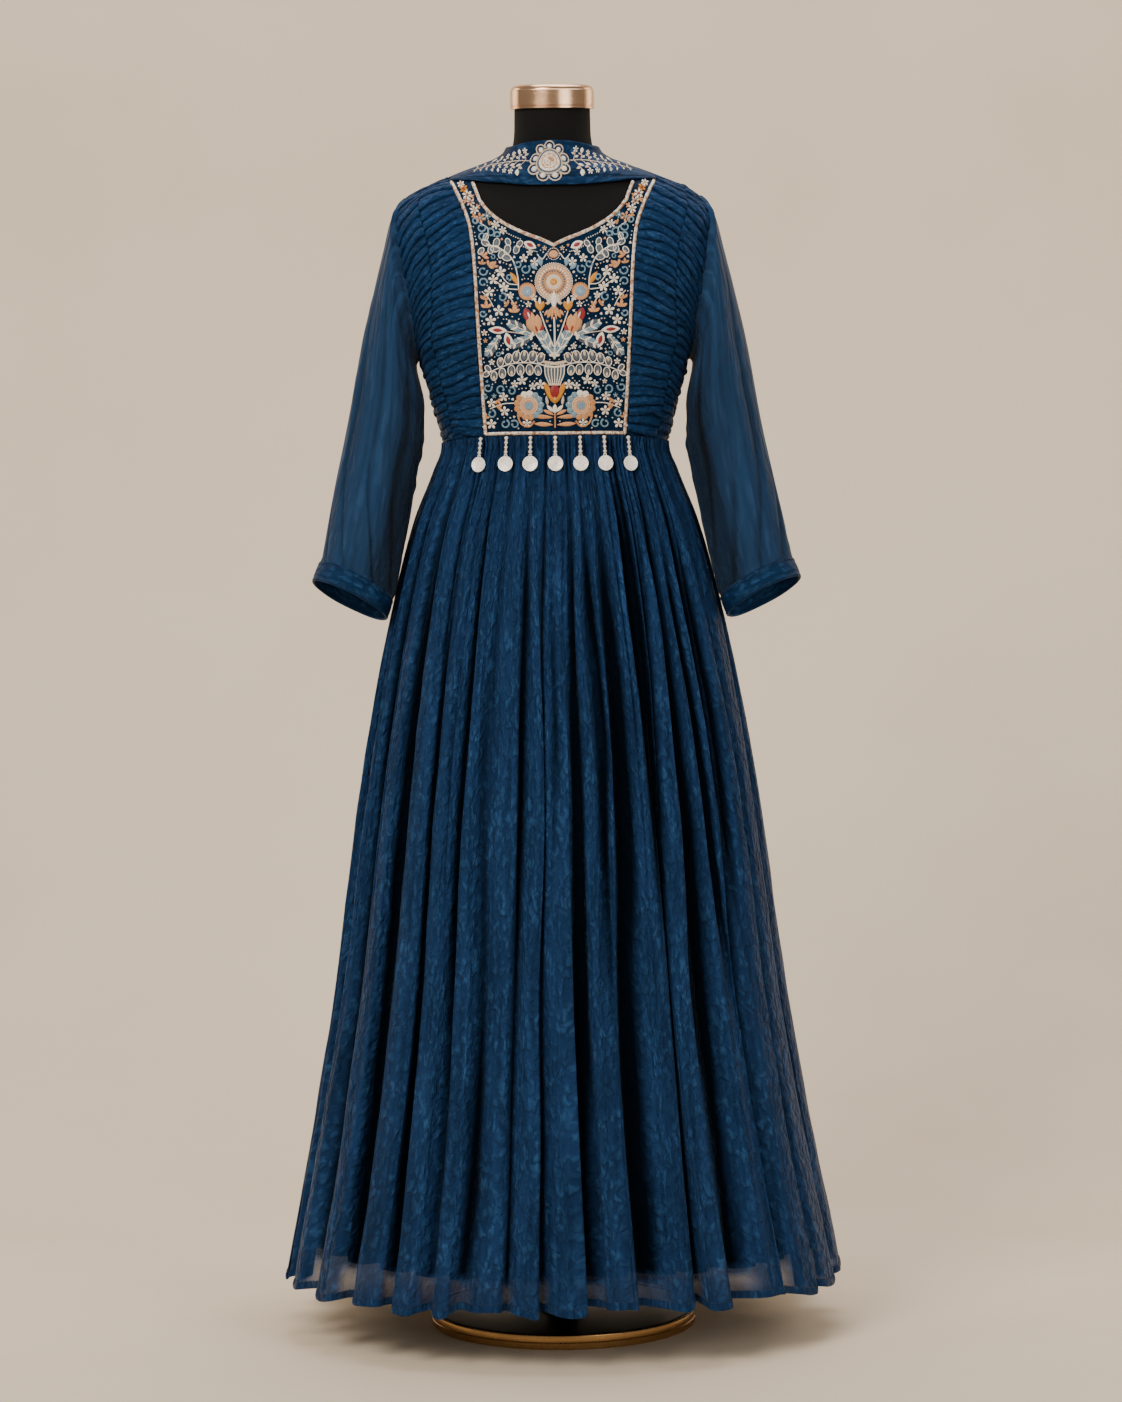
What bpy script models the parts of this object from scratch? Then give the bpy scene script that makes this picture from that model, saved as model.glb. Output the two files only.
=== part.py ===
"""Anarkali gown on a limbless dress form.

Metres, +Z up, the wearer's front towards -Y. The origin is the centre of the
stand's underside. Cloth is made as thin closed walls that run round one worn
body surface, so neighbouring panels share their seams, and the skirt and the
sleeves are tubes through rings.
"""
import math

import bmesh
import bpy
import numpy as np
from mathutils import Matrix, Vector

MM = 0.001

# ---- Driving dimensions -------------------------------------------------------

SEAM = 0.3 * MM              # clear width between two pieces that are sewn together
CLOTH = 1.4 * MM             # thickness of a plain cloth wall
CLOTH_IN = -2.2 * MM         # inner face of the bodice, measured from the worn surface
PLAIN_OUT = CLOTH_IN + CLOTH
RUCHE_LOW = -1.0 * MM        # outer face between two ruched folds
RUCHE_HIGH = 1.6 * MM        # outer face on top of a ruched fold
TRIM_IN = PLAIN_OUT + 0.35 * MM
TRIM_OUT = TRIM_IN + 1.6 * MM
TRIM_WIDTH = 5.5 * MM
TRIM_EDGE = 0.11             # share of a trim's width left free at the panel's edge
NECK_TRIM_TOP_Z = 1.4375     # the trims end just under the collar band
YOKE_TRIM_TOP_Z = 1.4385

SHOULDER_TIP_Z = 1.4187
ARMPIT_Z = 1.2175
WAIST_FRONT_Z = 1.1275
WAIST_DIP = 11.5 * MM        # how much lower the waist seam lies at the sides
STRAP_OUTER_X = 130.0 * MM   # yoke strap on the shoulder seam, outer edge
STRAP_INNER_X = 99.0 * MM

FORM_GAP = 2.8 * MM          # air between the form and the bodice
FORM_GAP_SHOULDER = 2.0 * MM
FORM_ARM_INSET = 6.0 * MM
NECK_TOP_Z = 1.5277
FORM_BOTTOM_Z = 0.862
CAP_RADIUS = 52.5 * MM
CAP_BOTTOM_Z = 1.528
CAP_HEIGHT = 30.0 * MM
POLE_RADIUS = 16.0 * MM
BASE_RADIUS = 167.0 * MM
BASE_HEIGHT = 17.6 * MM
RIM_WALL = 3.6 * MM
BASE_SIDES = 36

FRONT_FOLDS = 28             # ruched folds in each side front
BACK_FOLDS = 15
SIDE_COLUMNS = 5
RUCHE_DROOP = 0.06            # sag of the folds towards the side, as a share of the panel

SKIRT_WALL = 1.5 * MM
LINING_WALL = 1.2 * MM
LINING_END_Z = 0.107
FLUTE_POINTS = 4             # points round one hem flute
BACK_FLUTES = 14
SLEEVE_WALL = 1.4 * MM
SLEEVE_POINTS = 26
SLEEVE_FOLDS = 5
SLEEVE_SEAM = 0.5 * MM
SLEEVE_RISE = RUCHE_HIGH + SEAM   # the sleeve head's edge, measured from the worn surface
SLEEVE_HEAD = 6.0 * MM       # width of the sleeve head's first turn away from the seam
CUFF_WALL = 1.8 * MM

BEAD_RADIUS = 2.4 * MM
BEAD_PITCH = 5.8 * MM
BEADS = 4
COIN_RADIUS = 9.4 * MM
COIN_THICK = 1.5 * MM
COIN_CENTRE_DROP = 32.0 * MM
DROP_STATIONS_MM = (-90.0, -59.0, -30.0, 0.0, 30.0, 59.0, 88.0)

# The worn body surface: height, half width, depth in front, depth behind, squareness
BODY_ROWS = (
    (0.862, 0.1720, 0.104, 0.122, 2.20),
    (0.920, 0.1740, 0.108, 0.124, 2.20),
    (1.000, 0.1650, 0.106, 0.114, 2.20),
    (1.050, 0.1520, 0.102, 0.100, 2.20),
    (1.085, 0.1430, 0.1005, 0.094, 2.20),
    (1.118, 0.1410, 0.1015, 0.0935, 2.20),
    (1.143, 0.1470, 0.1060, 0.0940, 2.20),
    (1.168, 0.1530, 0.1115, 0.0955, 2.25),
    (1.192, 0.1600, 0.1170, 0.0970, 2.30),
    (1.217, 0.1665, 0.1220, 0.0985, 2.30),
    (1.235, 0.1725, 0.1255, 0.0998, 2.30),
    (1.262, 0.1805, 0.1270, 0.1015, 2.30),
    (1.300, 0.1905, 0.1200, 0.1030, 2.30),
    (1.331, 0.1965, 0.1110, 0.1030, 2.30),
    (1.360, 0.2010, 0.1020, 0.1010, 2.25),
    (1.385, 0.2020, 0.0935, 0.0980, 2.20),
    (1.404, 0.1960, 0.0870, 0.0935, 2.15),
    (1.416, 0.1850, 0.0825, 0.0900, 2.10),
    (1.429, 0.1660, 0.0775, 0.0860, 2.10),
    (1.441, 0.1370, 0.0720, 0.0800, 2.10),
    (1.447, 0.1210, 0.0690, 0.0765, 2.10),
    (1.458, 0.0910, 0.0630, 0.0690, 2.05),
    (1.466, 0.0700, 0.0585, 0.0625, 2.00),
    (1.474, 0.0590, 0.0560, 0.0580, 2.00),
    (1.484, 0.0545, 0.0540, 0.0550, 2.00),
    (1.500, 0.0525, 0.0525, 0.0530, 2.00),
    (1.528, 0.0520, 0.0520, 0.0520, 2.00),
)

FORM_HEIGHTS = (0.930, 1.010, 1.060, 1.090, 1.118, 1.140, 1.175, 1.220, 1.255, 1.295,
                1.340, 1.375, 1.398, 1.413, 1.427, 1.439, 1.449, 1.458, 1.466, 1.475, 1.486)
FORM_FOOT = ((0.862, -16.0), (0.8655, -7.0), (0.875, -1.0))   # height, inset in mm
FORM_SIDES = 30

# Yoke's side edge: height, distance from the middle
YOKE_EDGE = (
    (1.110, 0.0875), (1.163, 0.0905), (1.225, 0.0940), (1.284, 0.0970), (1.340, 0.1000),
    (1.381, 0.1045), (1.414, 0.1155), (1.4437, 0.1300), (1.456, 0.1360),
)

# Neckline of the yoke, up to where the strap begins: distance from the middle, height
NECKLINE = ((0.000, 1.3625), (0.014, 1.3690), (0.036, 1.3775), (0.060, 1.3895), (0.078, 1.4035),
            (0.0885, 1.4165))
STRAP_STEPS = 2              # panels across a strap
YOKE_ROWS = 13               # rows of panels from the waist to the strap
STRAP_ROWS = 6
BACK_NECK = ((0.000, 1.4630), (0.024, 1.4643), (0.043, 1.4668), (0.0555, 1.4692))
BACK_NECK_X = 61.0 * MM      # where the back neckline meets the shoulder seam

# Armhole seam: height, angle round the body from the front in degrees
ARMHOLE = (
    (1.2175, 90.0), (1.226, 84.0), (1.240, 78.5), (1.262, 73.5), (1.300, 69.5), (1.340, 69.0),
    (1.375, 71.0), (1.398, 75.5), (1.412, 81.5), (1.4187, 90.0),
)

# Collar band, one half: lower x, lower height, upper x, upper height (None: on the shoulder seam)
COLLAR_COLUMNS = (
    (0.000, 1.4330, 0.000, 1.4885),
    (0.021, 1.4330, 0.019, 1.4875),
    (0.041, 1.4335, 0.037, 1.4845),
    (0.051, 1.4345, 0.0485, 1.4815),
    (0.060, 1.4355, None, 1.4790),
    (0.078, 1.4370, None, 1.4690),
    (0.095, 1.4390, None, 1.4600),
    (0.112, 1.4400, None, 1.4525),
    (0.1190, 1.4402, None, 1.4490),
    (0.1240, 1.4404, None, 1.4470),
)
COLLAR_ROWS = 4
COLLAR_IN_END = -0.3 * MM
COLLAR_IN_MIDDLE = 2.0 * MM

# Skirt over its ridges: height, half width, depth in front, depth behind, flute depth
SKIRT_ROWS = (
    (0.072, 0.3520, 0.3020, 0.3060, 0.0300),
    (0.270, 0.3130, 0.2700, 0.2750, 0.0250),
    (0.460, 0.2810, 0.2410, 0.2460, 0.0200),
    (0.640, 0.2570, 0.2140, 0.2180, 0.0160),
    (0.800, 0.2305, 0.1860, 0.1880, 0.0120),
    (0.930, 0.2025, 0.1570, 0.1560, 0.0090),
    (1.020, 0.1775, 0.1340, 0.1300, 0.0060),
    (1.085, 0.1515, 0.1130, 0.1060, 0.0035),
    (1.118, 0.1425, 0.1030, 0.0950, 0.0024),
)
SKIRT_SQUARE = 2.2
SKIRT_RINGS = (1.020, 0.910, 0.740, 0.530, 0.290, 0.072)
GATHER_RING_Z = 1.085
LINING_RINGS = ((1.085, 3.0), (0.930, 4.0), (0.700, 6.0), (0.420, 13.0), (LINING_END_Z, 33.0))

# Hem flutes across the front, from -X to +X: width in degrees, share of the full depth
FRONT_FLUTES = (
    (14.0, 0.85), (12.6, 1.00), (14.9, 1.05), (9.5, 0.80), (8.5, 0.75), (8.6, 0.80), (6.3, 0.60),
    (8.3, 0.95), (10.8, 1.05), (11.5, 0.90), (12.3, 1.00), (12.7, 0.90), (13.0, 1.00), (13.0, 0.85),
)

# Left sleeve rings: outer x, outer z, inner x, inner z, half depth, middle y, front lift,
# outward bulge of front and back, squareness, fold depth, lead of the front and back
SLEEVE_RINGS = (
    (0.2025, 1.3900, 0.1710, 1.2045, 0.0555, -0.002, 0.0000, 0.007, 2.3, 0.000, 0.11),
    (0.2110, 1.3550, 0.1675, 1.1900, 0.0570, -0.006, 0.0020, 0.006, 2.3, 0.010, 0.20),
    (0.2220, 1.3080, 0.1620, 1.1620, 0.0560, -0.012, 0.0040, 0.004, 2.2, 0.025, 0.24),
    (0.2385, 1.2350, 0.1620, 1.1230, 0.0530, -0.020, 0.0060, 0.000, 2.1, 0.035, 0.16),
    (0.2560, 1.1430, 0.1725, 1.0650, 0.0505, -0.030, 0.0090, 0.000, 2.0, 0.040, 0.08),
    (0.2760, 1.0550, 0.1865, 0.9980, 0.0485, -0.039, 0.0120, 0.000, 2.0, 0.035, 0.00),
    (0.2937, 0.9690, 0.2040, 0.9230, 0.0475, -0.047, 0.0145, 0.000, 2.0, 0.020, 0.00),
)
CUFF_END = (0.3030, 0.9450, 0.2120, 0.9000, 0.0480, -0.051, 0.0145, 0.000, 2.0, 0.020, 0.00)

# Finishes: name, sRGB-like colour, roughness, metallic
FINISHES = {
    "outer_cloth": ((0.008, 0.045, 0.110, 1.0), 0.45, 0.0),
    "lining_cloth": ((0.004, 0.022, 0.060, 1.0), 0.60, 0.0),
    "zari": ((0.55, 0.48, 0.42, 1.0), 0.40, 0.6),
    "coin_silver": ((0.80, 0.77, 0.72, 1.0), 0.30, 0.9),
    "form_jersey": ((0.010, 0.010, 0.011, 1.0), 0.80, 0.0),
    "cap_brass": ((0.70, 0.42, 0.22, 1.0), 0.25, 1.0),
    "base_black": ((0.008, 0.008, 0.009, 1.0), 0.20, 0.0),
    "rim_brass": ((0.60, 0.38, 0.16, 1.0), 0.30, 1.0),
}


class Curve:
    """A smooth curve through (place, value) pairs that never overshoots them."""

    def __init__(self, places, values):
        self.places = np.asarray(places, dtype=float)
        self.values = np.asarray(values, dtype=float)
        slope = np.diff(self.values) / np.diff(self.places)
        product = slope[:-1] * slope[1:]
        total = slope[:-1] + slope[1:]
        safe = np.where(product > 0, total, 1.0)
        middle = np.where(product > 0, 2 * product / safe, 0.0)
        self.slopes = np.concatenate(([slope[0]], middle, [slope[-1]]))

    def __call__(self, place):
        place = min(max(place, self.places[0]), self.places[-1])
        index = int(np.searchsorted(self.places, place, side="right")) - 1
        index = min(index, len(self.places) - 2)
        width = self.places[index + 1] - self.places[index]
        part = (place - self.places[index]) / width
        rest = 1 - part
        return ((1 + 2 * part) * rest * rest * self.values[index]
                + part * rest * rest * width * self.slopes[index]
                + part * part * (3 - 2 * part) * self.values[index + 1]
                - part * part * rest * width * self.slopes[index + 1])


def column_curve(rows, column, place=0):
    """The curve of one column of a table over its place column."""
    ordered = sorted(rows, key=lambda row: row[place])
    return Curve([row[place] for row in ordered], [row[column] for row in ordered])


BODY_HALF = column_curve(BODY_ROWS, 1)
BODY_FRONT = column_curve(BODY_ROWS, 2)
BODY_BACK = column_curve(BODY_ROWS, 3)
BODY_SQUARE = column_curve(BODY_ROWS, 4)
YOKE_HALF = column_curve(YOKE_EDGE, 1)
ARMHOLE_ANGLE = column_curve(ARMHOLE, 1)
SKIRT_HALF = column_curve(SKIRT_ROWS, 1)
SKIRT_FRONT = column_curve(SKIRT_ROWS, 2)
SKIRT_BACK = column_curve(SKIRT_ROWS, 3)
FLUTE_DEPTH = column_curve(SKIRT_ROWS, 4)
QUARTER = math.pi / 2


# ---- The worn body surface ------------------------------------------------------

def oval_point(half, depth, square, angle):
    """A point of a squared oval at an angle from the front, in plan."""
    side, ahead = math.sin(angle), math.cos(angle)
    x = half * math.copysign(abs(side) ** (2 / square), side)
    y = -depth * math.copysign(abs(ahead) ** (2 / square), ahead)
    return x, y


def body_depth(z, y):
    """The body's depth at a height, in front of or behind the shoulder seam."""
    return BODY_FRONT(z) if y < 0 else BODY_BACK(z)


def body_level(x, y, z):
    """One on the body surface, less inside it and more outside."""
    square = BODY_SQUARE(z)
    return (abs(x) / BODY_HALF(z)) ** square + (abs(y) / body_depth(z, y)) ** square


def body_point(z, angle, out, inset=0.0):
    """The body surface's point at a height and an angle, moved out along the surface's normal."""
    ahead = math.cos(angle)
    depth = BODY_FRONT(z) if ahead >= 0 else BODY_BACK(z)
    half = BODY_HALF(z) - inset
    square = BODY_SQUARE(z)
    x, y = oval_point(half, depth, square, angle)
    small = 0.4 * MM
    slope_x = square / half * (abs(x) / half) ** (square - 1)
    slope_y = square / depth * (abs(y) / depth) ** (square - 1)
    slope_z = (body_level(x, y, z + small) - body_level(x, y, z - small)) / (2 * small)
    normal = Vector((math.copysign(slope_x, x), math.copysign(slope_y, y), slope_z)).normalized()
    return Vector((x, y, z)) + normal * out


def angle_at(z, x):
    """The angle from the front at which the body surface has a given x."""
    share = min(abs(x) / BODY_HALF(z), 1.0)
    return math.copysign(math.asin(share ** (BODY_SQUARE(z) / 2)), x)


def shoulder_height(x):
    """The height at which the shoulder seam passes over x."""
    low, high = 1.385, 1.528
    for _ in range(50):
        middle = (low + high) / 2
        if BODY_HALF(middle) > abs(x):
            low = middle
        else:
            high = middle
    return low


def waist_height(angle):
    """The waist seam's height round the body."""
    return WAIST_FRONT_Z - WAIST_DIP * math.sin(angle) ** 4


def edge_angle(z):
    """The angle of the front panels' outer edge: side seam, armhole, shoulder seam."""
    if ARMPIT_Z < z < SHOULDER_TIP_Z:
        return math.radians(ARMHOLE_ANGLE(z))
    return QUARTER


def keep_side(point, front):
    """Hold a point on its own side of the shoulder and side seams."""
    gap = SEAM / 2
    if front:
        point.y = min(point.y, -gap)
    else:
        point.y = max(point.y, gap)
    return point


# ---- Mesh building ----------------------------------------------------------------

def new_object(name, mesh, finish, collection):
    """Link a mesh as a named object with its own finish."""
    item = bpy.data.objects.new(name, mesh)
    item.data.materials.append(material(name, finish))
    collection.objects.link(item)
    return item


def material(name, finish):
    """A Principled material of its own for one sub-part."""
    colour, roughness, metallic = FINISHES[finish]
    made = bpy.data.materials.new(name + "_" + finish)
    made.use_nodes = True
    shader = made.node_tree.nodes["Principled BSDF"]
    shader.inputs["Base Color"].default_value = colour
    shader.inputs["Roughness"].default_value = roughness
    shader.inputs["Metallic"].default_value = metallic
    return made


def solid_mesh(name, points, faces):
    """A closed mesh with its faces turned outward."""
    mesh = bpy.data.meshes.new(name)
    mesh.from_pydata([tuple(point) for point in points], [], faces)
    work = bmesh.new()
    work.from_mesh(mesh)
    bmesh.ops.recalc_face_normals(work, faces=work.faces)
    work.to_mesh(mesh)
    work.free()
    mesh.shade_smooth()
    mesh.set_sharp_from_angle(angle=math.radians(50))
    return mesh


def short_split(points, quad):
    """Two triangles for a quad, split along its shorter diagonal."""
    a, b, c, d = quad
    if (points[a] - points[c]).length <= (points[b] - points[d]).length:
        return [(a, b, c), (a, c, d)]
    return [(a, b, d), (b, c, d)]


def wall_mesh(name, outer, inner, quads):
    """A cloth panel: outer and inner points, joined along every free edge of its quads."""
    back = len(outer)
    faces = []
    for quad in quads:
        for corners in short_split(outer, quad):
            faces.append(corners)
            faces.append(tuple(back + index for index in reversed(corners)))
    edges = {}
    for quad in quads:
        for here, there in zip(quad, quad[1:] + quad[:1]):
            key = (min(here, there), max(here, there))
            edges[key] = None if key in edges else (here, there)
    for free in edges.values():
        if free is not None:
            here, there = free
            faces.append((there, here, back + here, back + there))
    return solid_mesh(name, outer + inner, faces)


def grid_quads(rows, columns, first=0):
    """The quads of a grid of points numbered row by row."""
    quads = []
    for row in range(rows - 1):
        for column in range(columns - 1):
            a = first + row * columns + column
            quads.append((a, a + 1, a + columns + 1, a + columns))
    return quads


def grid_wall(name, places, outward, inward, front):
    """A cloth panel from a grid of (height, angle) places and its two faces' offsets."""
    outer, inner = [], []
    for row, line in enumerate(places):
        for column, (z, angle) in enumerate(line):
            outer.append(keep_side(body_point(z, angle, outward(row, column)), front))
            inner.append(keep_side(body_point(z, angle, inward), front))
    return wall_mesh(name, outer, inner, grid_quads(len(places), len(places[0])))


def band_faces(first, second, offsets):
    """Faces between two rings, of like count or the first with twice the points."""
    faces = []
    start_a, start_b = offsets
    count_a, count_b = len(first), len(second)
    for b in range(count_b):
        following = start_b + (b + 1) % count_b
        if count_a == count_b:
            faces.append((start_a + b, start_a + (b + 1) % count_a, following))
            faces.append((start_a + b, following, start_b + b))
            continue
        left = start_a + 2 * b
        middle = start_a + 2 * b + 1
        right = start_a + (2 * b + 2) % count_a
        faces.append((left, middle, start_b + b))
        faces.append((middle, following, start_b + b))
        faces.append((middle, right, following))
    return faces


def tube_mesh(name, outer_rings, inner_rings):
    """A tube wall open at both ends, through outer and inner rings."""
    points, starts = [], []
    for ring in outer_rings + inner_rings:
        starts.append(len(points))
        points.extend(ring)
    faces = []
    count = len(outer_rings)
    for index in range(count - 1):
        pair = (starts[index], starts[index + 1])
        faces += band_faces(outer_rings[index], outer_rings[index + 1], pair)
    for index in range(len(inner_rings) - 1):
        pair = (starts[count + index], starts[count + index + 1])
        faces += band_faces(inner_rings[index], inner_rings[index + 1], pair)
    faces += band_faces(outer_rings[0], inner_rings[0], (starts[0], starts[count]))
    faces += band_faces(outer_rings[-1], inner_rings[-1], (starts[count - 1], starts[-1]))
    return solid_mesh(name, points, faces)


def ring_inward(ring, wall):
    """A ring moved inward in its own plane by a wall's thickness, mitred at its corners."""
    points = [Vector(point) for point in ring]
    centre = sum(points, Vector()) / len(points)
    normal = Vector()
    for here, there in zip(points, points[1:] + points[:1]):
        normal += (here - centre).cross(there - centre)
    normal.normalize()
    moved = []
    for index, point in enumerate(points):
        before = (point - points[index - 1]).normalized()
        after = (points[(index + 1) % len(points)] - point).normalized()
        inward = normal.cross((before + after).normalized())
        mitre = max(inward.dot(normal.cross(before)), 0.45)
        moved.append(point + inward * wall / mitre)
    return moved


def strip_mesh(name, pairs):
    """A flat trim from its rows: each row two places across it, each place low and high."""
    outer = [high for pair in pairs for _, high in pair]
    inner = [low for pair in pairs for low, _ in pair]
    return wall_mesh(name, outer, inner, grid_quads(len(pairs), 2))


def spread(path, count):
    """Heights and angles spread evenly along a dense path of them, by its length."""
    points = [body_point(z, angle, 0.0) for z, angle in path]
    steps = [0.0]
    for here, there in zip(points[:-1], points[1:]):
        steps.append(steps[-1] + (there - here).length)
    wanted = [steps[-1] * index / count for index in range(count + 1)]
    heights = np.interp(wanted, steps, [z for z, _ in path])
    angles = np.interp(wanted, steps, [angle for _, angle in path])
    return list(zip(heights, angles))


def path_place(path, shares):
    """Places at given shares of a path's length."""
    fine = spread(path, 400)
    index = np.linspace(0.0, 1.0, len(fine))
    heights = np.interp(shares, index, [z for z, _ in fine])
    angles = np.interp(shares, index, [angle for _, angle in fine])
    return list(zip(heights, angles))


def rising(low, high, steps=160):
    """Heights from low to high, close together at the top where the shoulder turns over."""
    return [low + (high - low) * (1 - (1 - step / steps) ** 2) for step in range(steps + 1)]


# ---- Bodice ---------------------------------------------------------------------------

def flipped(places, front):
    """A line of places mirrored across the garment's middle."""
    return [(z, -angle if front else 2 * math.pi - angle) for z, angle in places]


def whole_rows(half, front):
    """Rows across both halves, from columns of one half."""
    columns = [flipped(column, front) for column in half[:0:-1]] + half
    return [list(row) for row in zip(*columns)]


def yoke_path(share, top_z):
    """A line up the yoke at a constant share of its width, from the waist to a height."""
    foot = waist_height(angle_at(WAIST_FRONT_Z, share * YOKE_HALF(WAIST_FRONT_Z))) + SEAM / 2
    return [(z, angle_at(z, share * (YOKE_HALF(z) - SEAM))) for z in rising(foot, top_z)]


def strap_top(share):
    """The height at which a line up the yoke reaches the shoulder seam."""
    x = share * STRAP_OUTER_X
    for _ in range(8):
        z = shoulder_height(x)
        x = share * (YOKE_HALF(z) - SEAM)
    return shoulder_height(x)


class YokeGrid:
    """One half of the yoke's panel: columns of places, the last ones running up the strap."""

    def __init__(self):
        strap_z = NECKLINE[-1][1]
        rise = [1 - (1 - row / YOKE_ROWS) ** 1.6 for row in range(YOKE_ROWS + 1)]
        shares = [x / (YOKE_HALF(z) - SEAM) for x, z in NECKLINE]
        tops = [z for _, z in NECKLINE]
        first = shares[-1]
        for step in range(1, STRAP_STEPS + 1):
            shares.append(first + (1 - first) * step / STRAP_STEPS)
            tops.append(strap_z)
        self.columns = [path_place(yoke_path(share, top), rise)
                        for share, top in zip(shares, tops)]
        self.last = len(self.columns) - 1
        self.strap = self.last - STRAP_STEPS
        for column in range(self.strap, self.last + 1):
            share = shares[column]
            above = [place for place in yoke_path(share, strap_top(share)) if place[0] > strap_z]
            self.columns[column] += spread(self.columns[column][-1:] + above, STRAP_ROWS)[1:]

    def point(self, row, column, out):
        """A point over the panel's facets at a fractional row and column."""
        low = min(int(row), YOKE_ROWS + STRAP_ROWS - 1)
        left = min(int(column), self.last - 1)
        if left < self.strap:
            low = min(low, YOKE_ROWS - 1)
        base, z, angle = Vector(), 0.0, 0.0
        for down, part_up in ((0, 1 - row + low), (1, row - low)):
            for across, part_over in ((0, 1 - column + left), (1, column - left)):
                place = self.columns[left + across][low + down]
                weight = part_up * part_over
                base += body_point(*place, PLAIN_OUT) * weight
                z += place[0] * weight
                angle += place[1] * weight
        normal = (body_point(z, angle, 1.0) - body_point(z, angle, 0.0)).normalized()
        return base + normal * (out - PLAIN_OUT)

    def step(self, row, column, up, over, distance):
        """How far along the grid a distance reaches from a node, towards its neighbour."""
        here = self.point(row, column, 0.0)
        return distance / (self.point(row + up, column + over, 0.0) - here).length

    def row_at(self, column, z):
        """The fractional row at which a column passes a height."""
        heights = [place[0] for place in self.columns[column]]
        return float(np.interp(z, heights, range(len(heights))))

    def trim(self, row, column):
        """A trim's low and high point over a fractional row and column."""
        return self.point(row, column, TRIM_IN), self.point(row, column, TRIM_OUT)


def make_yoke(grid, collection):
    """The embroidered front yoke: one panel with a V neck and two straps."""
    places = whole_rows([column[:YOKE_ROWS + 1] for column in grid.columns], True)
    width = len(places[0])
    quads = grid_quads(len(places), width)
    flat = [place for line in places for place in line]
    for side in (1, -1):
        edge = len(places) * width - (1 + STRAP_STEPS if side > 0 else width - STRAP_STEPS)
        below = [edge + side * step for step in range(STRAP_STEPS + 1)]
        for row in range(YOKE_ROWS + 1, YOKE_ROWS + STRAP_ROWS + 1):
            above = [len(flat) + step for step in range(STRAP_STEPS + 1)]
            line = [column[row] for column in grid.columns[grid.strap:]]
            flat += line if side > 0 else flipped(line, True)
            for step in range(STRAP_STEPS):
                quad = (below[step], below[step + 1], above[step + 1], above[step])
                quads.append(quad if side > 0 else quad[::-1])
            below = above
    outer = [keep_side(body_point(z, angle, PLAIN_OUT), True) for z, angle in flat]
    inner = [keep_side(body_point(z, angle, CLOTH_IN), True) for z, angle in flat]
    mesh = wall_mesh("yoke_front", outer, inner, quads)
    new_object("yoke_front", mesh, "outer_cloth", collection)


def ruche_height(row, column):
    """The outer face's height over the inner one on a ruched panel, uneven from fold to fold."""
    if row % 2 == 0:
        return RUCHE_LOW
    unevenness = 0.80 + 0.20 * math.sin(2.1 * row + 1.3 * column)
    return RUCHE_LOW + (RUCHE_HIGH - RUCHE_LOW) * unevenness


def side_seam_path():
    """The front panel's outer edge, from the waist up the side and the armhole to its tip."""
    foot = waist_height(QUARTER) + SEAM / 2
    steps = 400
    heights = [foot + (SHOULDER_TIP_Z - foot) * step / steps for step in range(steps + 1)]
    return [(z, edge_angle(z)) for z in heights]


def make_side_front(name, side, collection):
    """A ruched side front, from the yoke's edge to the armhole and the side seam."""
    rows = 2 * FRONT_FOLDS
    gap = SEAM / 2
    near = angle_at(WAIST_FRONT_Z, YOKE_HALF(WAIST_FRONT_Z))
    top_z = shoulder_height(STRAP_OUTER_X)
    inner_edge = [(z, angle_at(z, YOKE_HALF(z) + gap))
                  for z in rising(waist_height(near) + gap, top_z)]
    shares = [row / rows for row in range(rows + 1)]
    sagged = [share - RUCHE_DROOP * math.sin(math.pi * share) for share in shares]
    starts = path_place(inner_edge, shares)
    ends = path_place(side_seam_path(), sagged)
    places = []
    for row, (start, end) in enumerate(zip(starts, ends)):
        line = []
        for column in range(SIDE_COLUMNS + 1):
            across = column / SIDE_COLUMNS
            angle = start[1] + (end[1] - start[1]) * across
            z = start[0] + (end[0] - start[0]) * across ** 1.3
            if row == 0:
                z = waist_height(angle) + gap
            line.append((z, side * angle))
        places.append(line)
    mesh = grid_wall(name, places, ruche_height, CLOTH_IN, True)
    new_object(name, mesh, "outer_cloth", collection)


def back_column(share, top_x, top_z, edge_x):
    """A line up the back panel, from the waist to its top."""
    foot = waist_height(QUARTER * share) + SEAM / 2
    path = []
    for z in rising(foot, top_z):
        part = (z - foot) / (top_z - foot)
        low_angle = share * edge_angle(z)
        low_x, _ = oval_point(BODY_HALF(z), 1.0, BODY_SQUARE(z), low_angle)
        high_x = top_x / edge_x(top_z) * edge_x(z)
        blend = part * part * (3 - 2 * part)
        path.append((z, math.pi - angle_at(z, low_x + (high_x - low_x) * blend)))
    return path


def make_back(collection):
    """The back panel: side seams, armholes, shoulder seams and a high round neck."""
    tip_x = BODY_HALF(SHOULDER_TIP_Z)

    def edge_x(z):
        x, _ = oval_point(BODY_HALF(z), BODY_BACK(z), BODY_SQUARE(z), edge_angle(z))
        return x if z < SHOULDER_TIP_Z else tip_x

    tops = list(BACK_NECK)
    for share in (0.0, 0.28, 0.56, 0.82):
        x = BACK_NECK_X + (tip_x - BACK_NECK_X) * share
        tops.append((x, shoulder_height(x)))
    tops.append((tip_x, SHOULDER_TIP_Z))
    last = len(tops) - 1
    half = []
    for index, (x, z) in enumerate(tops):
        half.append(spread(back_column(index / last, x, z, edge_x), 2 * BACK_FOLDS))
    places = whole_rows(half, False)
    mesh = grid_wall("bodice_back", places, ruche_height, CLOTH_IN, False)
    new_object("bodice_back", mesh, "outer_cloth", collection)


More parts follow.
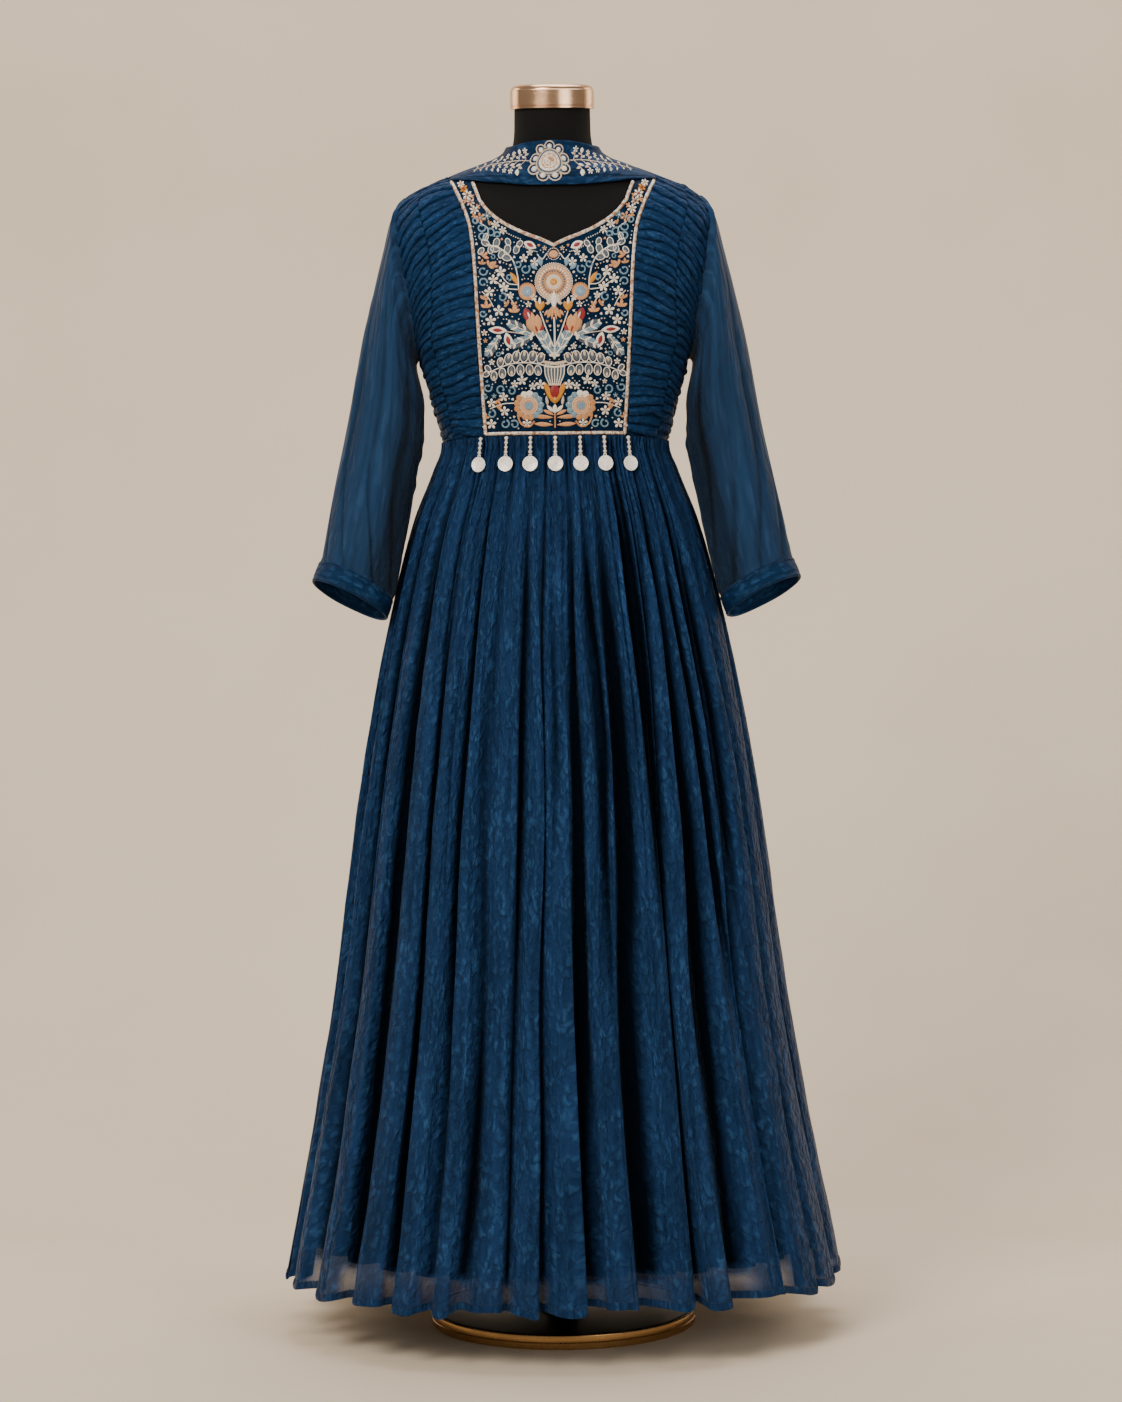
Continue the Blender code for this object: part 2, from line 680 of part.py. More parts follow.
def make_collar(collection):
    """The crescent collar band across the front of the neck."""
    half, rises = [], []
    last = len(COLLAR_COLUMNS) - 1
    for index, (low_x, low_z, up_x, up_z) in enumerate(COLLAR_COLUMNS):
        start = angle_at(low_z, low_x)
        end = QUARTER if up_x is None else angle_at(up_z, up_x)
        rises.append(COLLAR_IN_END + (COLLAR_IN_MIDDLE - COLLAR_IN_END) * (1 - index / last) ** 0.7)
        half.append([(low_z + (up_z - low_z) * row / COLLAR_ROWS,
                      start + (end - start) * row / COLLAR_ROWS) for row in range(COLLAR_ROWS + 1)])
    rises = rises[:0:-1] + rises
    outer, inner = [], []
    places = whole_rows(half, True)
    for line in places:
        for rise, (z, angle) in zip(rises, line):
            outer.append(keep_side(body_point(z, angle, rise + CLOTH), True))
            inner.append(keep_side(body_point(z, angle, rise), True))
    quads = grid_quads(len(places), len(places[0]))
    mesh = wall_mesh("collar_band", outer, inner, quads)
    new_object("collar_band", mesh, "outer_cloth", collection)


def mirrored_strip(half):
    """A trim's rows over both halves, from the rows of one half."""
    def turned(place):
        return tuple(Vector((-point.x, point.y, point.z)) for point in place)

    return [(turned(a), turned(b)) for a, b in half[:0:-1]] + half


def make_neck_border(grid, collection):
    """The zari trim round the neckline, ending under the collar band."""
    half = []
    top = YOKE_ROWS
    for column in range(grid.strap + 1):
        wide = TRIM_WIDTH * (1.35 if column == 0 else 1.17)
        low = grid.step(top, column, -1, 0, wide)
        half.append((grid.trim(top - low * TRIM_EDGE, column), grid.trim(top - low, column)))
    low = grid.step(top, grid.strap, -1, 0, TRIM_WIDTH * 0.55)
    over = grid.step(top, grid.strap, 0, 1, TRIM_WIDTH * 0.75)
    half.append((grid.trim(top - low * TRIM_EDGE, grid.strap + over * TRIM_EDGE),
                 grid.trim(top - low, grid.strap + over)))
    end = grid.row_at(grid.strap, NECK_TRIM_TOP_Z)
    for row in list(range(top + 1, math.ceil(end))) + [end]:
        over = grid.step(row, grid.strap, 0, 1, TRIM_WIDTH)
        half.append((grid.trim(row, grid.strap + over * TRIM_EDGE),
                     grid.trim(row, grid.strap + over)))
    mesh = strip_mesh("neck_border", mirrored_strip(half))
    new_object("neck_border", mesh, "zari", collection)


def make_yoke_border(grid, collection):
    """The zari trim down the yoke's sides and along its foot."""
    half = []
    for column in range(grid.last):
        up = grid.step(0, column, 1, 0, TRIM_WIDTH)
        half.append((grid.trim(up * TRIM_EDGE, column), grid.trim(up, column)))
    up = grid.step(0, grid.last, 1, 0, TRIM_WIDTH)
    over = grid.step(0, grid.last, 0, -1, TRIM_WIDTH)
    half.append((grid.trim(up * TRIM_EDGE, grid.last - over * TRIM_EDGE),
                 grid.trim(up, grid.last - over)))
    end = grid.row_at(grid.last, YOKE_TRIM_TOP_Z)
    for row in list(range(1, math.ceil(end))) + [end]:
        over = grid.step(row, grid.last, 0, -1, TRIM_WIDTH)
        half.append((grid.trim(row, grid.last - over * TRIM_EDGE),
                     grid.trim(row, grid.last - over)))
    mesh = strip_mesh("yoke_border", mirrored_strip(half))
    new_object("yoke_border", mesh, "zari", collection)


# ---- Sleeves -----------------------------------------------------------------------------

def armhole_ring():
    """The sleeve head's edge round the armhole, from the tip down the front and up the back."""
    middle = (SHOULDER_TIP_Z + ARMPIT_Z) / 2
    reach = (SHOULDER_TIP_Z - ARMPIT_Z) / 2
    edge, normals = [], []
    for index in range(SLEEVE_POINTS):
        turn = 2 * math.pi * index / SLEEVE_POINTS
        z = middle + reach * math.cos(turn)
        angle = edge_angle(z)
        if math.sin(turn) < 0:
            angle = math.pi - angle
        edge.append(body_point(z, angle, SLEEVE_RISE))
        normals.append(edge[-1] - body_point(z, angle, 0.0))
    ring = []
    for index, (point, normal) in enumerate(zip(edge, normals)):
        along = edge[(index + 1) % SLEEVE_POINTS] - edge[index - 1]
        ring.append(point + normal.cross(along).normalized() * SLEEVE_SEAM)
    return ring


def sleeve_head(ring):
    """The sleeve's second ring, where its head has turned away from the seam."""
    head = []
    for index, point in enumerate(ring):
        turn = 2 * math.pi * index / SLEEVE_POINTS
        up, front = math.cos(turn), math.sin(turn)
        fall = 0.6 * max(up, 0.0) + 0.85 * max(-up, 0.0)
        step = Vector((0.65 + 0.15 * up, -0.65 * front, -fall))
        head.append(point + step.normalized() * SLEEVE_HEAD)
    return head


def tube_inside(rings, wall):
    """A tube's inner rings: its outer rings moved in along the tube's own normals."""
    moved = []
    for index, ring in enumerate(rings):
        before = rings[max(index - 1, 0)]
        after = rings[min(index + 1, len(rings) - 1)]
        line = []
        for place, point in enumerate(ring):
            along = after[place] - before[place]
            round_it = ring[(place + 1) % len(ring)] - ring[place - 1]
            line.append(point + along.cross(round_it).normalized() * wall)
        moved.append(line)
    return moved


def sleeve_ring(row):
    """One ring of the sleeve from its row of sizes."""
    out_x, out_z, in_x, in_z, depth, middle_y, lift, bulge, square, fold, lead = row
    centre = Vector(((out_x + in_x) / 2, middle_y, (out_z + in_z) / 2))
    along = Vector(((out_x - in_x) / 2, 0.0, (out_z - in_z) / 2))
    ahead = Vector((0.0, -depth, lift))
    ring = []
    for index in range(SLEEVE_POINTS):
        turn = 2 * math.pi * index / SLEEVE_POINTS
        up = math.cos(turn)
        up = max(-1.0, min(1.0, up + lead * (1 - up * up)))
        front = math.copysign(math.sqrt(1 - up * up), math.sin(turn))
        up = math.copysign(abs(up) ** (2 / square), up)
        front = math.copysign(abs(front) ** (2 / square), front)
        swell = 1 + fold * math.sin(SLEEVE_FOLDS * turn + 0.6) * abs(front)
        point = centre + (along * up + ahead * front) * swell
        point.x += bulge * front * front
        ring.append(point)
    return ring


def make_sleeve(side, name, cuff_name, collection):
    """A sheer sleeve from the armhole to its cuff band, and the band."""
    outer = [armhole_ring()]
    outer.append(sleeve_head(outer[0]))
    outer += [sleeve_ring(row) for row in SLEEVE_RINGS]
    inner = tube_inside(outer, SLEEVE_WALL)
    hang = sleeve_ring(CUFF_END)
    top = sleeve_ring(SLEEVE_RINGS[-1])
    down = (hang[0] - top[0]).normalized()
    cuff_top = [point + down * SEAM for point in top]
    cuff_outer = [cuff_top, hang]
    cuff_inner = tube_inside(cuff_outer, CUFF_WALL)
    for label, rings in ((name, (outer, inner)), (cuff_name, (cuff_outer, cuff_inner))):
        turned = [[[Vector((side * p.x, p.y, p.z)) for p in ring] for ring in group]
                  for group in rings]
        new_object(label, tube_mesh(label, *turned), "outer_cloth", collection)


# ---- Skirt ---------------------------------------------------------------------------------

def flute_places():
    """Angle, wave height and depth share of every point round the hem, from flute widths."""
    front_turn = sum(width for width, _ in FRONT_FLUTES)
    back_width = (360.0 - front_turn) / BACK_FLUTES
    flutes = list(FRONT_FLUTES)
    for index in range(BACK_FLUTES):
        width = back_width * (1 + 0.16 * math.sin(2.4 * index + 0.5))
        flutes.append((width, 0.90 + 0.12 * math.sin(1.9 * index)))
    scale = 360.0 / sum(width for width, _ in flutes)
    angle = -front_turn / 2
    places = []
    for index, (width, share) in enumerate(flutes):
        previous = flutes[index - 1][1]
        for point in range(FLUTE_POINTS):
            part = point / FLUTE_POINTS
            wave = 0.5 + 0.5 * math.cos(2 * math.pi * part)
            depth = previous if point == 0 else share
            blend = (previous + share) / 2 if point == 0 else depth
            places.append((math.radians(angle + width * scale * part), wave, blend))
        angle += width * scale
    return places


FLUTES = flute_places()


def skirt_point(z, angle, inward):
    """A point on the skirt's ridge surface, moved towards its axis."""
    depth = SKIRT_FRONT(z) if math.cos(angle) >= 0 else SKIRT_BACK(z)
    x, y = oval_point(SKIRT_HALF(z), depth, SKIRT_SQUARE, angle)
    length = math.hypot(x, y)
    share = 1 - inward / length
    return Vector((x * share, y * share, z))


def flute_ring(z, hem=False):
    """The skirt's outer ring at a height, one point for each flute place."""
    ring = []
    for angle, wave, share in FLUTES:
        point = skirt_point(z, angle, FLUTE_DEPTH(z) * wave * share)
        if hem:
            point.z += 3.0 * MM * math.sin(3 * angle + 0.7) + 2.0 * MM * (wave - 0.5)
        ring.append(point)
    return ring


def between(first, second):
    """The angle half way from one to the next round a ring."""
    if second < first:
        second += 2 * math.pi
    return (first + second) / 2


def waist_ring(out, drop, extra=False):
    """A ring on the waist seam at an offset from the body surface."""
    ring = []
    for index, (angle, _, _) in enumerate(FLUTES):
        z = waist_height(angle) - drop
        ring.append(body_point(z, angle, out[0]))
        if extra:
            middle = between(angle, FLUTES[(index + 1) % len(FLUTES)][0])
            ring.append(body_point(waist_height(middle) - drop, middle, out[1]))
    return ring


def gather_ring(z, depth):
    """A ring with one gather in each flute place, ridge then groove."""
    ring = []
    for index, (angle, wave, share) in enumerate(FLUTES):
        flute = FLUTE_DEPTH(z) * wave * share * 0.5
        ring.append(skirt_point(z, angle, flute))
        following, next_wave, next_share = FLUTES[(index + 1) % len(FLUTES)]
        next_flute = FLUTE_DEPTH(z) * next_wave * next_share * 0.5
        ring.append(skirt_point(z, between(angle, following), (flute + next_flute) / 2 + depth))
    return ring


def make_skirt(collection):
    """The gathered outer skirt and the shorter lining inside it."""
    top_drop = SEAM / 2
    outer = [waist_ring((1.6 * MM, -0.6 * MM), top_drop, extra=True),
             gather_ring(GATHER_RING_Z, 3.5 * MM)]
    outer += [flute_ring(z, hem=z == SKIRT_RINGS[-1]) for z in SKIRT_RINGS]
    plain = [skirt_point(GATHER_RING_Z, angle, FLUTE_DEPTH(GATHER_RING_Z) * wave * share * 0.5
                         + 3.5 * MM) for angle, wave, share in FLUTES]
    inner = [waist_ring((CLOTH_IN,), top_drop), ring_inward(plain, SKIRT_WALL)]
    inner += [ring_inward(ring, SKIRT_WALL) for ring in outer[2:]]
    mesh = tube_mesh("skirt_outer", outer, inner)
    new_object("skirt_outer", mesh, "outer_cloth", collection)

    step = FLUTE_POINTS // 2
    chosen = FLUTES[::step]
    top = []
    for angle, _, _ in chosen:
        top.append(body_point(waist_height(angle) - 1.0 * MM, angle, CLOTH_IN - 0.4 * MM))
    rings = [top]
    for z, gap in LINING_RINGS:
        ring = []
        for angle, wave, share in chosen:
            depth = FLUTE_DEPTH(z) * wave * share
            relaxed = depth * 0.9 + gap * MM + 2 * SKIRT_WALL
            ring.append(skirt_point(z, angle, relaxed))
        rings.append(ring)
    inner = [[body_point(point.z, angle, CLOTH_IN - 0.4 * MM - LINING_WALL)
              for point, (angle, _, _) in zip(top, chosen)]]
    inner += [ring_inward(ring, LINING_WALL) for ring in rings[1:]]
    mesh = tube_mesh("skirt_lining", rings, inner)
    new_object("skirt_lining", mesh, "lining_cloth", collection)


# ---- Coin drops ------------------------------------------------------------------------------

def turned_mesh(name, profile, sides):
    """A turned solid from a closed half profile of (radius, height) points."""
    mesh = bpy.data.meshes.new(name + "_profile")
    points = [(radius, 0.0, height) for radius, height in profile]
    edges = [(index, index + 1) for index in range(len(points) - 1)]
    if profile[0][0] > 0:
        edges.append((len(points) - 1, 0))
    mesh.from_pydata(points, edges, [])
    item = bpy.data.objects.new(name + "_profile", mesh)
    bpy.context.scene.collection.objects.link(item)
    screw = item.modifiers.new("turn", "SCREW")
    screw.steps = sides
    screw.render_steps = sides
    screw.use_merge_vertices = True
    screw.merge_threshold = 0.00005
    bpy.context.view_layer.update()
    evaluated = item.evaluated_get(bpy.context.evaluated_depsgraph_get())
    made = bpy.data.meshes.new_from_object(evaluated)
    made.name = name
    bpy.data.objects.remove(item)
    return made


def coin_drop_mesh(cutters):
    """A bead strand with its coin, joined, hung from the middle of its top bead."""
    profile = [(0.0, BEAD_RADIUS)]
    neck = 0.9 * MM
    for bead in range(BEADS):
        middle = -bead * BEAD_PITCH
        profile.append((BEAD_RADIUS, middle))
        profile.append((neck, middle - BEAD_PITCH / 2))
    foot = -(COIN_CENTRE_DROP - COIN_RADIUS + 1.2 * MM)
    profile[-1] = (neck, foot)
    profile.append((0.0, foot))
    strand = bpy.data.objects.new("strand", turned_mesh("strand", profile, 6))
    cutters.objects.link(strand)
    bpy.ops.mesh.primitive_cylinder_add(vertices=14, radius=COIN_RADIUS, depth=COIN_THICK)
    coin = bpy.context.object
    coin.data.transform(Matrix.Rotation(QUARTER, 4, "X"))
    coin.data.transform(Matrix.Translation((0.0, 0.0, -COIN_CENTRE_DROP)))
    join = coin.modifiers.new("strand", "BOOLEAN")
    join.operation = "UNION"
    join.object = strand
    bpy.context.view_layer.update()
    evaluated = coin.evaluated_get(bpy.context.evaluated_depsgraph_get())
    made = bpy.data.meshes.new_from_object(evaluated)
    made.name = "coin_drop"
    bpy.data.objects.remove(coin)
    bpy.data.objects.remove(strand)
    return made


def drop_place(x):
    """Where a coin drop hangs: its top bead's middle, its turn about Z and its outward lean."""
    angle = angle_at(WAIST_FRONT_Z, x)
    seam_z = waist_height(angle)
    top_z = seam_z - 2.0 * MM
    out = 1.6 * MM + 1.1 * MM + BEAD_RADIUS
    place = body_point(top_z, angle, out)
    surface = body_point(top_z, angle, 0.0)
    normal = place - surface
    turn = math.atan2(normal.x, -normal.y)
    low_z = top_z - COIN_CENTRE_DROP - COIN_RADIUS
    low = skirt_point(low_z, angle, 0.0)
    ahead = Vector((math.sin(turn), -math.cos(turn), 0.0))
    reach = (low - place).dot(ahead) + COIN_THICK / 2 + 1.0 * MM
    lean = math.asin(max(reach, 0.0) / (COIN_CENTRE_DROP + COIN_RADIUS))
    return place, turn, lean


def make_coin_drops(collection, cutters):
    """Seven coin drops along the yoke's foot, each hung on its own top bead."""
    shared = coin_drop_mesh(cutters)
    shared.materials.append(material("coin_drop", "coin_silver"))
    for index, station in enumerate(DROP_STATIONS_MM):
        place, turn, lean = drop_place(station * MM)
        item = bpy.data.objects.new("coin_drop_%d" % (index + 1), shared)
        item.matrix_world = (Matrix.Translation(place) @ Matrix.Rotation(turn, 4, "Z")
                             @ Matrix.Rotation(-lean, 4, "X"))
        collection.objects.link(item)


# ---- Dress form and stand ------------------------------------------------------------------------

def make_torso(collection):
    """The smooth limbless torso, from its hip to the top of its neck."""
    def gap_at(z):
        part = min(max((z - 1.385) / 0.03, 0.0), 1.0) * min(max((1.458 - z) / 0.018, 0.0), 1.0)
        return FORM_GAP + (FORM_GAP_SHOULDER - FORM_GAP) * part

    def ring(z, inset, arm):
        return [body_point(z, 2 * math.pi * i / FORM_SIDES, CLOTH_IN - gap_at(z) + inset, arm)
                for i in range(FORM_SIDES)]

    rings = [ring(z, inset * MM, 0.0) for z, inset in FORM_FOOT]
    for z in FORM_HEIGHTS:
        rise = min(max((z - 1.22) / 0.05, 0.0), 1.0) * min(max((1.430 - z) / 0.03, 0.0), 1.0)
        rings.append(ring(z, 0.0, FORM_ARM_INSET * rise))
    rings.append(ring(NECK_TOP_Z, 0.0, 0.0))
    for item, flat_z in ((rings[0], FORM_BOTTOM_Z), (rings[-1], NECK_TOP_Z)):
        for point in item:
            point.z = flat_z
    points = [point for item in rings for point in item]
    faces = []
    for start in range(0, len(points) - FORM_SIDES, FORM_SIDES):
        for side in range(FORM_SIDES):
            near, far = start + side, start + (side + 1) % FORM_SIDES
            quad = (near, far, far + FORM_SIDES, near + FORM_SIDES)
            faces += short_split(points, quad)
    faces.append(tuple(range(FORM_SIDES)))
    faces.append(tuple(range(len(points) - FORM_SIDES, len(points))))
    mesh = solid_mesh("form_torso", points, faces)
    new_object("form_torso", mesh, "form_jersey", collection)


def make_stand(collection):
    """The neck cap, the pole, and the round base with its brass rim."""
    top = CAP_BOTTOM_Z + CAP_HEIGHT
    cap = ((0.0, top), (CAP_RADIUS - 14 * MM, top - 0.8 * MM), (CAP_RADIUS - 4 * MM, top - 2.6 * MM),
           (CAP_RADIUS - 0.5 * MM, top - 6 * MM), (CAP_RADIUS, CAP_BOTTOM_Z), (0.0, CAP_BOTTOM_Z))
    new_object("neck_cap", turned_mesh("neck_cap", cap, 28), "cap_brass", collection)

    foot = BASE_HEIGHT + SEAM
    length = FORM_BOTTOM_Z - SEAM - foot
    bpy.ops.mesh.primitive_cylinder_add(vertices=20, radius=POLE_RADIUS, depth=length,
                                        location=(0.0, 0.0, foot + length / 2))
    pole = bpy.context.object
    pole.name = "stand_pole"
    pole.data.materials.append(material("stand_pole", "base_black"))
    for owner in list(pole.users_collection):
        owner.objects.unlink(pole)
    collection.objects.link(pole)

    inside = BASE_RADIUS - RIM_WALL
    plate = ((0.0, BASE_HEIGHT), (inside - SEAM - 2 * MM, BASE_HEIGHT),
             (inside - SEAM, BASE_HEIGHT - 1.2 * MM), (inside - SEAM, 0.0), (0.0, 0.0))
    new_object("base_plate", turned_mesh("base_plate", plate, BASE_SIDES), "base_black", collection)
    rim = ((inside, BASE_HEIGHT), (BASE_RADIUS - 1 * MM, BASE_HEIGHT),
           (BASE_RADIUS, BASE_HEIGHT - 1 * MM), (BASE_RADIUS, 0.0), (inside, 0.0))
    new_object("base_rim", turned_mesh("base_rim", rim, BASE_SIDES), "rim_brass", collection)


def main():
    """Clear the scene and build every sub-part."""
    for item in list(bpy.data.objects):
        bpy.data.objects.remove(item, do_unlink=True)
    collection = bpy.data.collections.new("anarkali_gown_on_dress_form")
    cutters = bpy.data.collections.new("cutters")
    bpy.context.scene.collection.children.link(collection)
    bpy.context.scene.collection.children.link(cutters)
    make_torso(collection)
    make_stand(collection)
    grid = YokeGrid()
    make_yoke(grid, collection)
    make_side_front("side_front_left", 1, collection)
    make_side_front("side_front_right", -1, collection)
    make_back(collection)
    make_collar(collection)
    make_neck_border(grid, collection)
    make_yoke_border(grid, collection)
    make_sleeve(1, "sleeve_left", "cuff_left", collection)
    make_sleeve(-1, "sleeve_right", "cuff_right", collection)
    make_skirt(collection)
    make_coin_drops(collection, cutters)


main()
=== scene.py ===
"""Looks of an anarkali gown worn on a limbless dress form.

Every cloth piece is a thin shell laid over one worn body surface, one skirt
surface or one sleeve tube, so neighbouring pieces share their seams. Metres,
+Z up, the gown's front towards -Y and the wearer's left towards +X.
"""

import logging
import math
from contextlib import contextmanager
from dataclasses import dataclass
from enum import Enum
from typing import Callable, Iterable, Iterator, Sequence

import bmesh
import bpy
import numpy as np
from mathutils import Matrix, Vector


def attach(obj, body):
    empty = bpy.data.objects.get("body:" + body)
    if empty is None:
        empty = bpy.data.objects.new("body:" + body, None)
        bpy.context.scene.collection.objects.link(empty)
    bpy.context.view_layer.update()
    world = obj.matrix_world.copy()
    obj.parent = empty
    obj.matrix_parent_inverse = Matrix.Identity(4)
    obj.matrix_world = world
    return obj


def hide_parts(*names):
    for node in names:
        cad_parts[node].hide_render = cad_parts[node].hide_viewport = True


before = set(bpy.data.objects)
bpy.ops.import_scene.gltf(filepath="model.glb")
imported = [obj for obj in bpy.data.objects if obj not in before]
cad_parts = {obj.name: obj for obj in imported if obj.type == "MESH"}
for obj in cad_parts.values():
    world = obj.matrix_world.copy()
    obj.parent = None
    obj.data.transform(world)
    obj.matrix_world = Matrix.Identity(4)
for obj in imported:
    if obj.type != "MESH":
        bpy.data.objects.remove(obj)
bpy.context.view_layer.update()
LOG = logging.getLogger("gown")
MM = 0.001
QUARTER = math.pi / 2
DRESS = "dress"              # the fixed body that everything but the coin drops rides on
SHARE, UNDER, OVER, MIXED = 0, 6, 7, 2       # a Mix node's colour sockets, by number

# Offsets from the worn body surface, shared with the solids underneath
SEAM = 0.3 * MM
CLOTH_IN = -2.2 * MM
PLAIN_OUT = -0.8 * MM
RUCHE_HIGH = 1.6 * MM
WAIST_FRONT_Z = 1.1275
WAIST_DIP = 11.5 * MM
SHOULDER_TIP_Z = 1.4187
ARMPIT_Z = 1.2175
STRAP_OUTER_X = 130.0 * MM


# ---- Small helpers ------------------------------------------------------------------


def linear(colour: str) -> tuple[float, float, float, float]:
    """Turn an sRGB hex colour into linear values with full alpha.

    Args:
        colour: Six hex digits, with or without a leading hash.

    Returns:
        Red, green, blue and alpha.
    """
    digits = colour.lstrip("#")
    values = [int(digits[place:place + 2], 16) / 255 for place in (0, 2, 4)]
    red, green, blue = (v / 12.92 if v <= 0.04045 else ((v + 0.055) / 1.055) ** 2.4 for v in values)
    return red, green, blue, 1.0


def add_node(tree: bpy.types.NodeTree, kind: str, links: dict | None = None,
             **settings: object) -> bpy.types.Node:
    """Add a shader node with its settings and links.

    Args:
        tree: The node tree to add to.
        kind: The node's type name without its ShaderNode prefix.
        links: Input names or numbers, each with its value, its hex colour, the output
            socket that feeds it, or the node whose first output does.
        settings: Attributes of the node itself.

    Returns:
        The new node.
    """
    made = tree.nodes.new("ShaderNode" + kind)
    for name, value in settings.items():
        setattr(made, name, value)
    for name, value in (links or {}).items():
        if isinstance(value, bpy.types.Node):
            value = value.outputs[0]
        if isinstance(value, bpy.types.NodeSocket):
            tree.links.new(value, made.inputs[name])
        else:
            made.inputs[name].default_value = linear(value) if isinstance(value, str) else value
    return made


def smooth_step(value: np.ndarray | float, low: float, high: float) -> np.ndarray:
    """Rise smoothly from nought at low to one at high."""
    part = np.clip((np.asarray(value, dtype=float) - low) / (high - low), 0.0, 1.0)
    return part * part * (3 - 2 * part)


class Profile:
    """A smooth curve through (place, value) pairs that never overshoots them."""

    def __init__(self, places: Sequence[float], values: Sequence[float]) -> None:
        """Work out the curve's slopes.

        Args:
            places: Where the values stand, in rising order.
            values: The curve's value at each place.
        """
        self.places = np.asarray(places, dtype=float)
        self.values = np.asarray(values, dtype=float)
        slope = np.diff(self.values) / np.diff(self.places)
        product = slope[:-1] * slope[1:]
        safe = np.where(product > 0, slope[:-1] + slope[1:], 1.0)
        middle = np.where(product > 0, 2 * product / safe, 0.0)
        self.slopes = np.concatenate(([slope[0]], middle, [slope[-1]]))

    def __call__(self, place: np.ndarray | float) -> np.ndarray:
        """Read the curve.

        Args:
            place: One place or an array of them.

        Returns:
            The value at each place, held level past both ends.
        """
        place = np.clip(np.asarray(place, dtype=float), self.places[0], self.places[-1])
        index = np.searchsorted(self.places, place, side="right") - 1
        index = np.clip(index, 0, len(self.places) - 2)
        width = self.places[index + 1] - self.places[index]
        part = (place - self.places[index]) / width
        rest = 1 - part
        return ((1 + 2 * part) * rest * rest * self.values[index]
                + part * rest * rest * width * self.slopes[index]
                + part * part * (3 - 2 * part) * self.values[index + 1]
                - part * part * rest * width * self.slopes[index + 1])


def columns(rows: Sequence[Sequence[float]]) -> list[Profile]:
    """Make one curve for each column of a table after its first, over its first.

    Args:
        rows: The table, each row starting with its place.

    Returns:
        The curves in column order.
    """
    ordered = sorted(rows, key=lambda row: row[0])
    places = [row[0] for row in ordered]
    return [Profile(places, [row[column] for row in ordered])
            for column in range(1, len(ordered[0]))]


def rays(angle: np.ndarray | float) -> np.ndarray:
    """Unit steps in the flat at each angle from the first axis."""
    return np.stack([np.cos(angle), np.sin(angle)], axis=-1)


def left_of(steps: np.ndarray) -> np.ndarray:
    """Flat steps turned a quarter to the left."""
    return np.stack([-steps[..., 1], steps[..., 0]], axis=-1)


def powered(value: np.ndarray, power: np.ndarray | float) -> np.ndarray:
    """Values raised to a power, each with its sign kept."""
    return np.sign(value) * np.abs(value) ** power


def run_length(points: np.ndarray) -> np.ndarray:
    """The length run along a line up to each of its points."""
    return np.concatenate(([0.0], np.cumsum(np.linalg.norm(np.diff(points, axis=0), axis=1))))


def unit(vectors: np.ndarray) -> np.ndarray:
    """Each vector at a length of one."""
    return vectors / np.maximum(np.linalg.norm(vectors, axis=-1, keepdims=True), 1e-12)


def even_path(points: np.ndarray, shares: np.ndarray) -> np.ndarray:
    """Fractional indices into a dense line of points at shares of its length."""
    length = run_length(points)
    return np.interp(shares * length[-1], length, np.arange(len(length)))


def read_at(values: np.ndarray, index: np.ndarray) -> np.ndarray:
    """Read a dense list of values at fractional indices."""
    return np.interp(index, np.arange(len(values)), values)


# ---- Meshes ---------------------------------------------------------------------------


def link_mesh(name: str, points: np.ndarray, faces: Iterable[Sequence[int]],
              uv: np.ndarray | None = None) -> bpy.types.Object:
    """Make a smooth object from points and faces, with its cloth lengths as UV.

    Args:
        name: The piece's name.
        points: One row for each point.
        faces: Point numbers of each face.
        uv: Lengths in metres across and along the piece, one row for each point.

    Returns:
        The object, linked to the scene.
    """
    mesh = bpy.data.meshes.new(name)
    mesh.from_pydata(np.asarray(points).tolist(), [], [list(map(int, face)) for face in faces])
    if uv is not None:
        layer = mesh.uv_layers.new(name="lengths")
        corners = np.empty(len(mesh.loops), dtype=np.int32)
        mesh.loops.foreach_get("vertex_index", corners)
        layer.data.foreach_set("uv", uv[corners].astype(np.float32).ravel())
    mesh.shade_smooth()
    mesh.update()
    item = bpy.data.objects.new(name, mesh)
    bpy.context.scene.collection.objects.link(item)
    return item


def grid_faces(rows: int, cols: int, first: int = 0) -> np.ndarray:
    """The four-cornered faces of a grid of points numbered row by row.

    Args:
        rows: Rows of points.
        cols: Points in a row.
        first: The number of the first point.

    Returns:
        One row of four point numbers a face.
    """
    index = first + np.arange(rows * cols).reshape(rows, cols)
    corners = (index[:-1, :-1], index[:-1, 1:], index[1:, 1:], index[1:, :-1])
    return np.stack(corners, axis=-1).reshape(-1, 4)


def cloth_lengths(grid: np.ndarray, row: int) -> np.ndarray:
    """Every point's lengths across one row and down the middle column of a grid."""
    across, down = run_length(grid[row]), run_length(grid[:, grid.shape[1] // 2])
    return np.stack(np.meshgrid(across, down), axis=-1).reshape(-1, 2)


def grid_object(name: str, grid: np.ndarray, row: int = -1, weld: bool = False,
                shade: np.ndarray | None = None) -> bpy.types.Object:
    """Make one sheet from a grid of points.

    Args:
        name: The piece's name.
        grid: Points by row and column.
        row: The row whose lengths the weave follows.
        weld: Join points that share a place, as where a tube meets itself.
        shade: A share of painted shade for each point, kept as an attribute of the piece.

    Returns:
        The object.
    """
    faces = grid_faces(*grid.shape[:2])
    item = link_mesh(name, grid.reshape(-1, 3), faces, cloth_lengths(grid, row))
    if shade is not None:
        layer = item.data.attributes.new("painted_shade_and_sheer", "FLOAT", "POINT")
        layer.data.foreach_set("value", shade.astype(np.float32).ravel())
    if weld:
        with edited(item) as work:
            bmesh.ops.remove_doubles(work, verts=work.verts, dist=0.01 * MM)
    return item


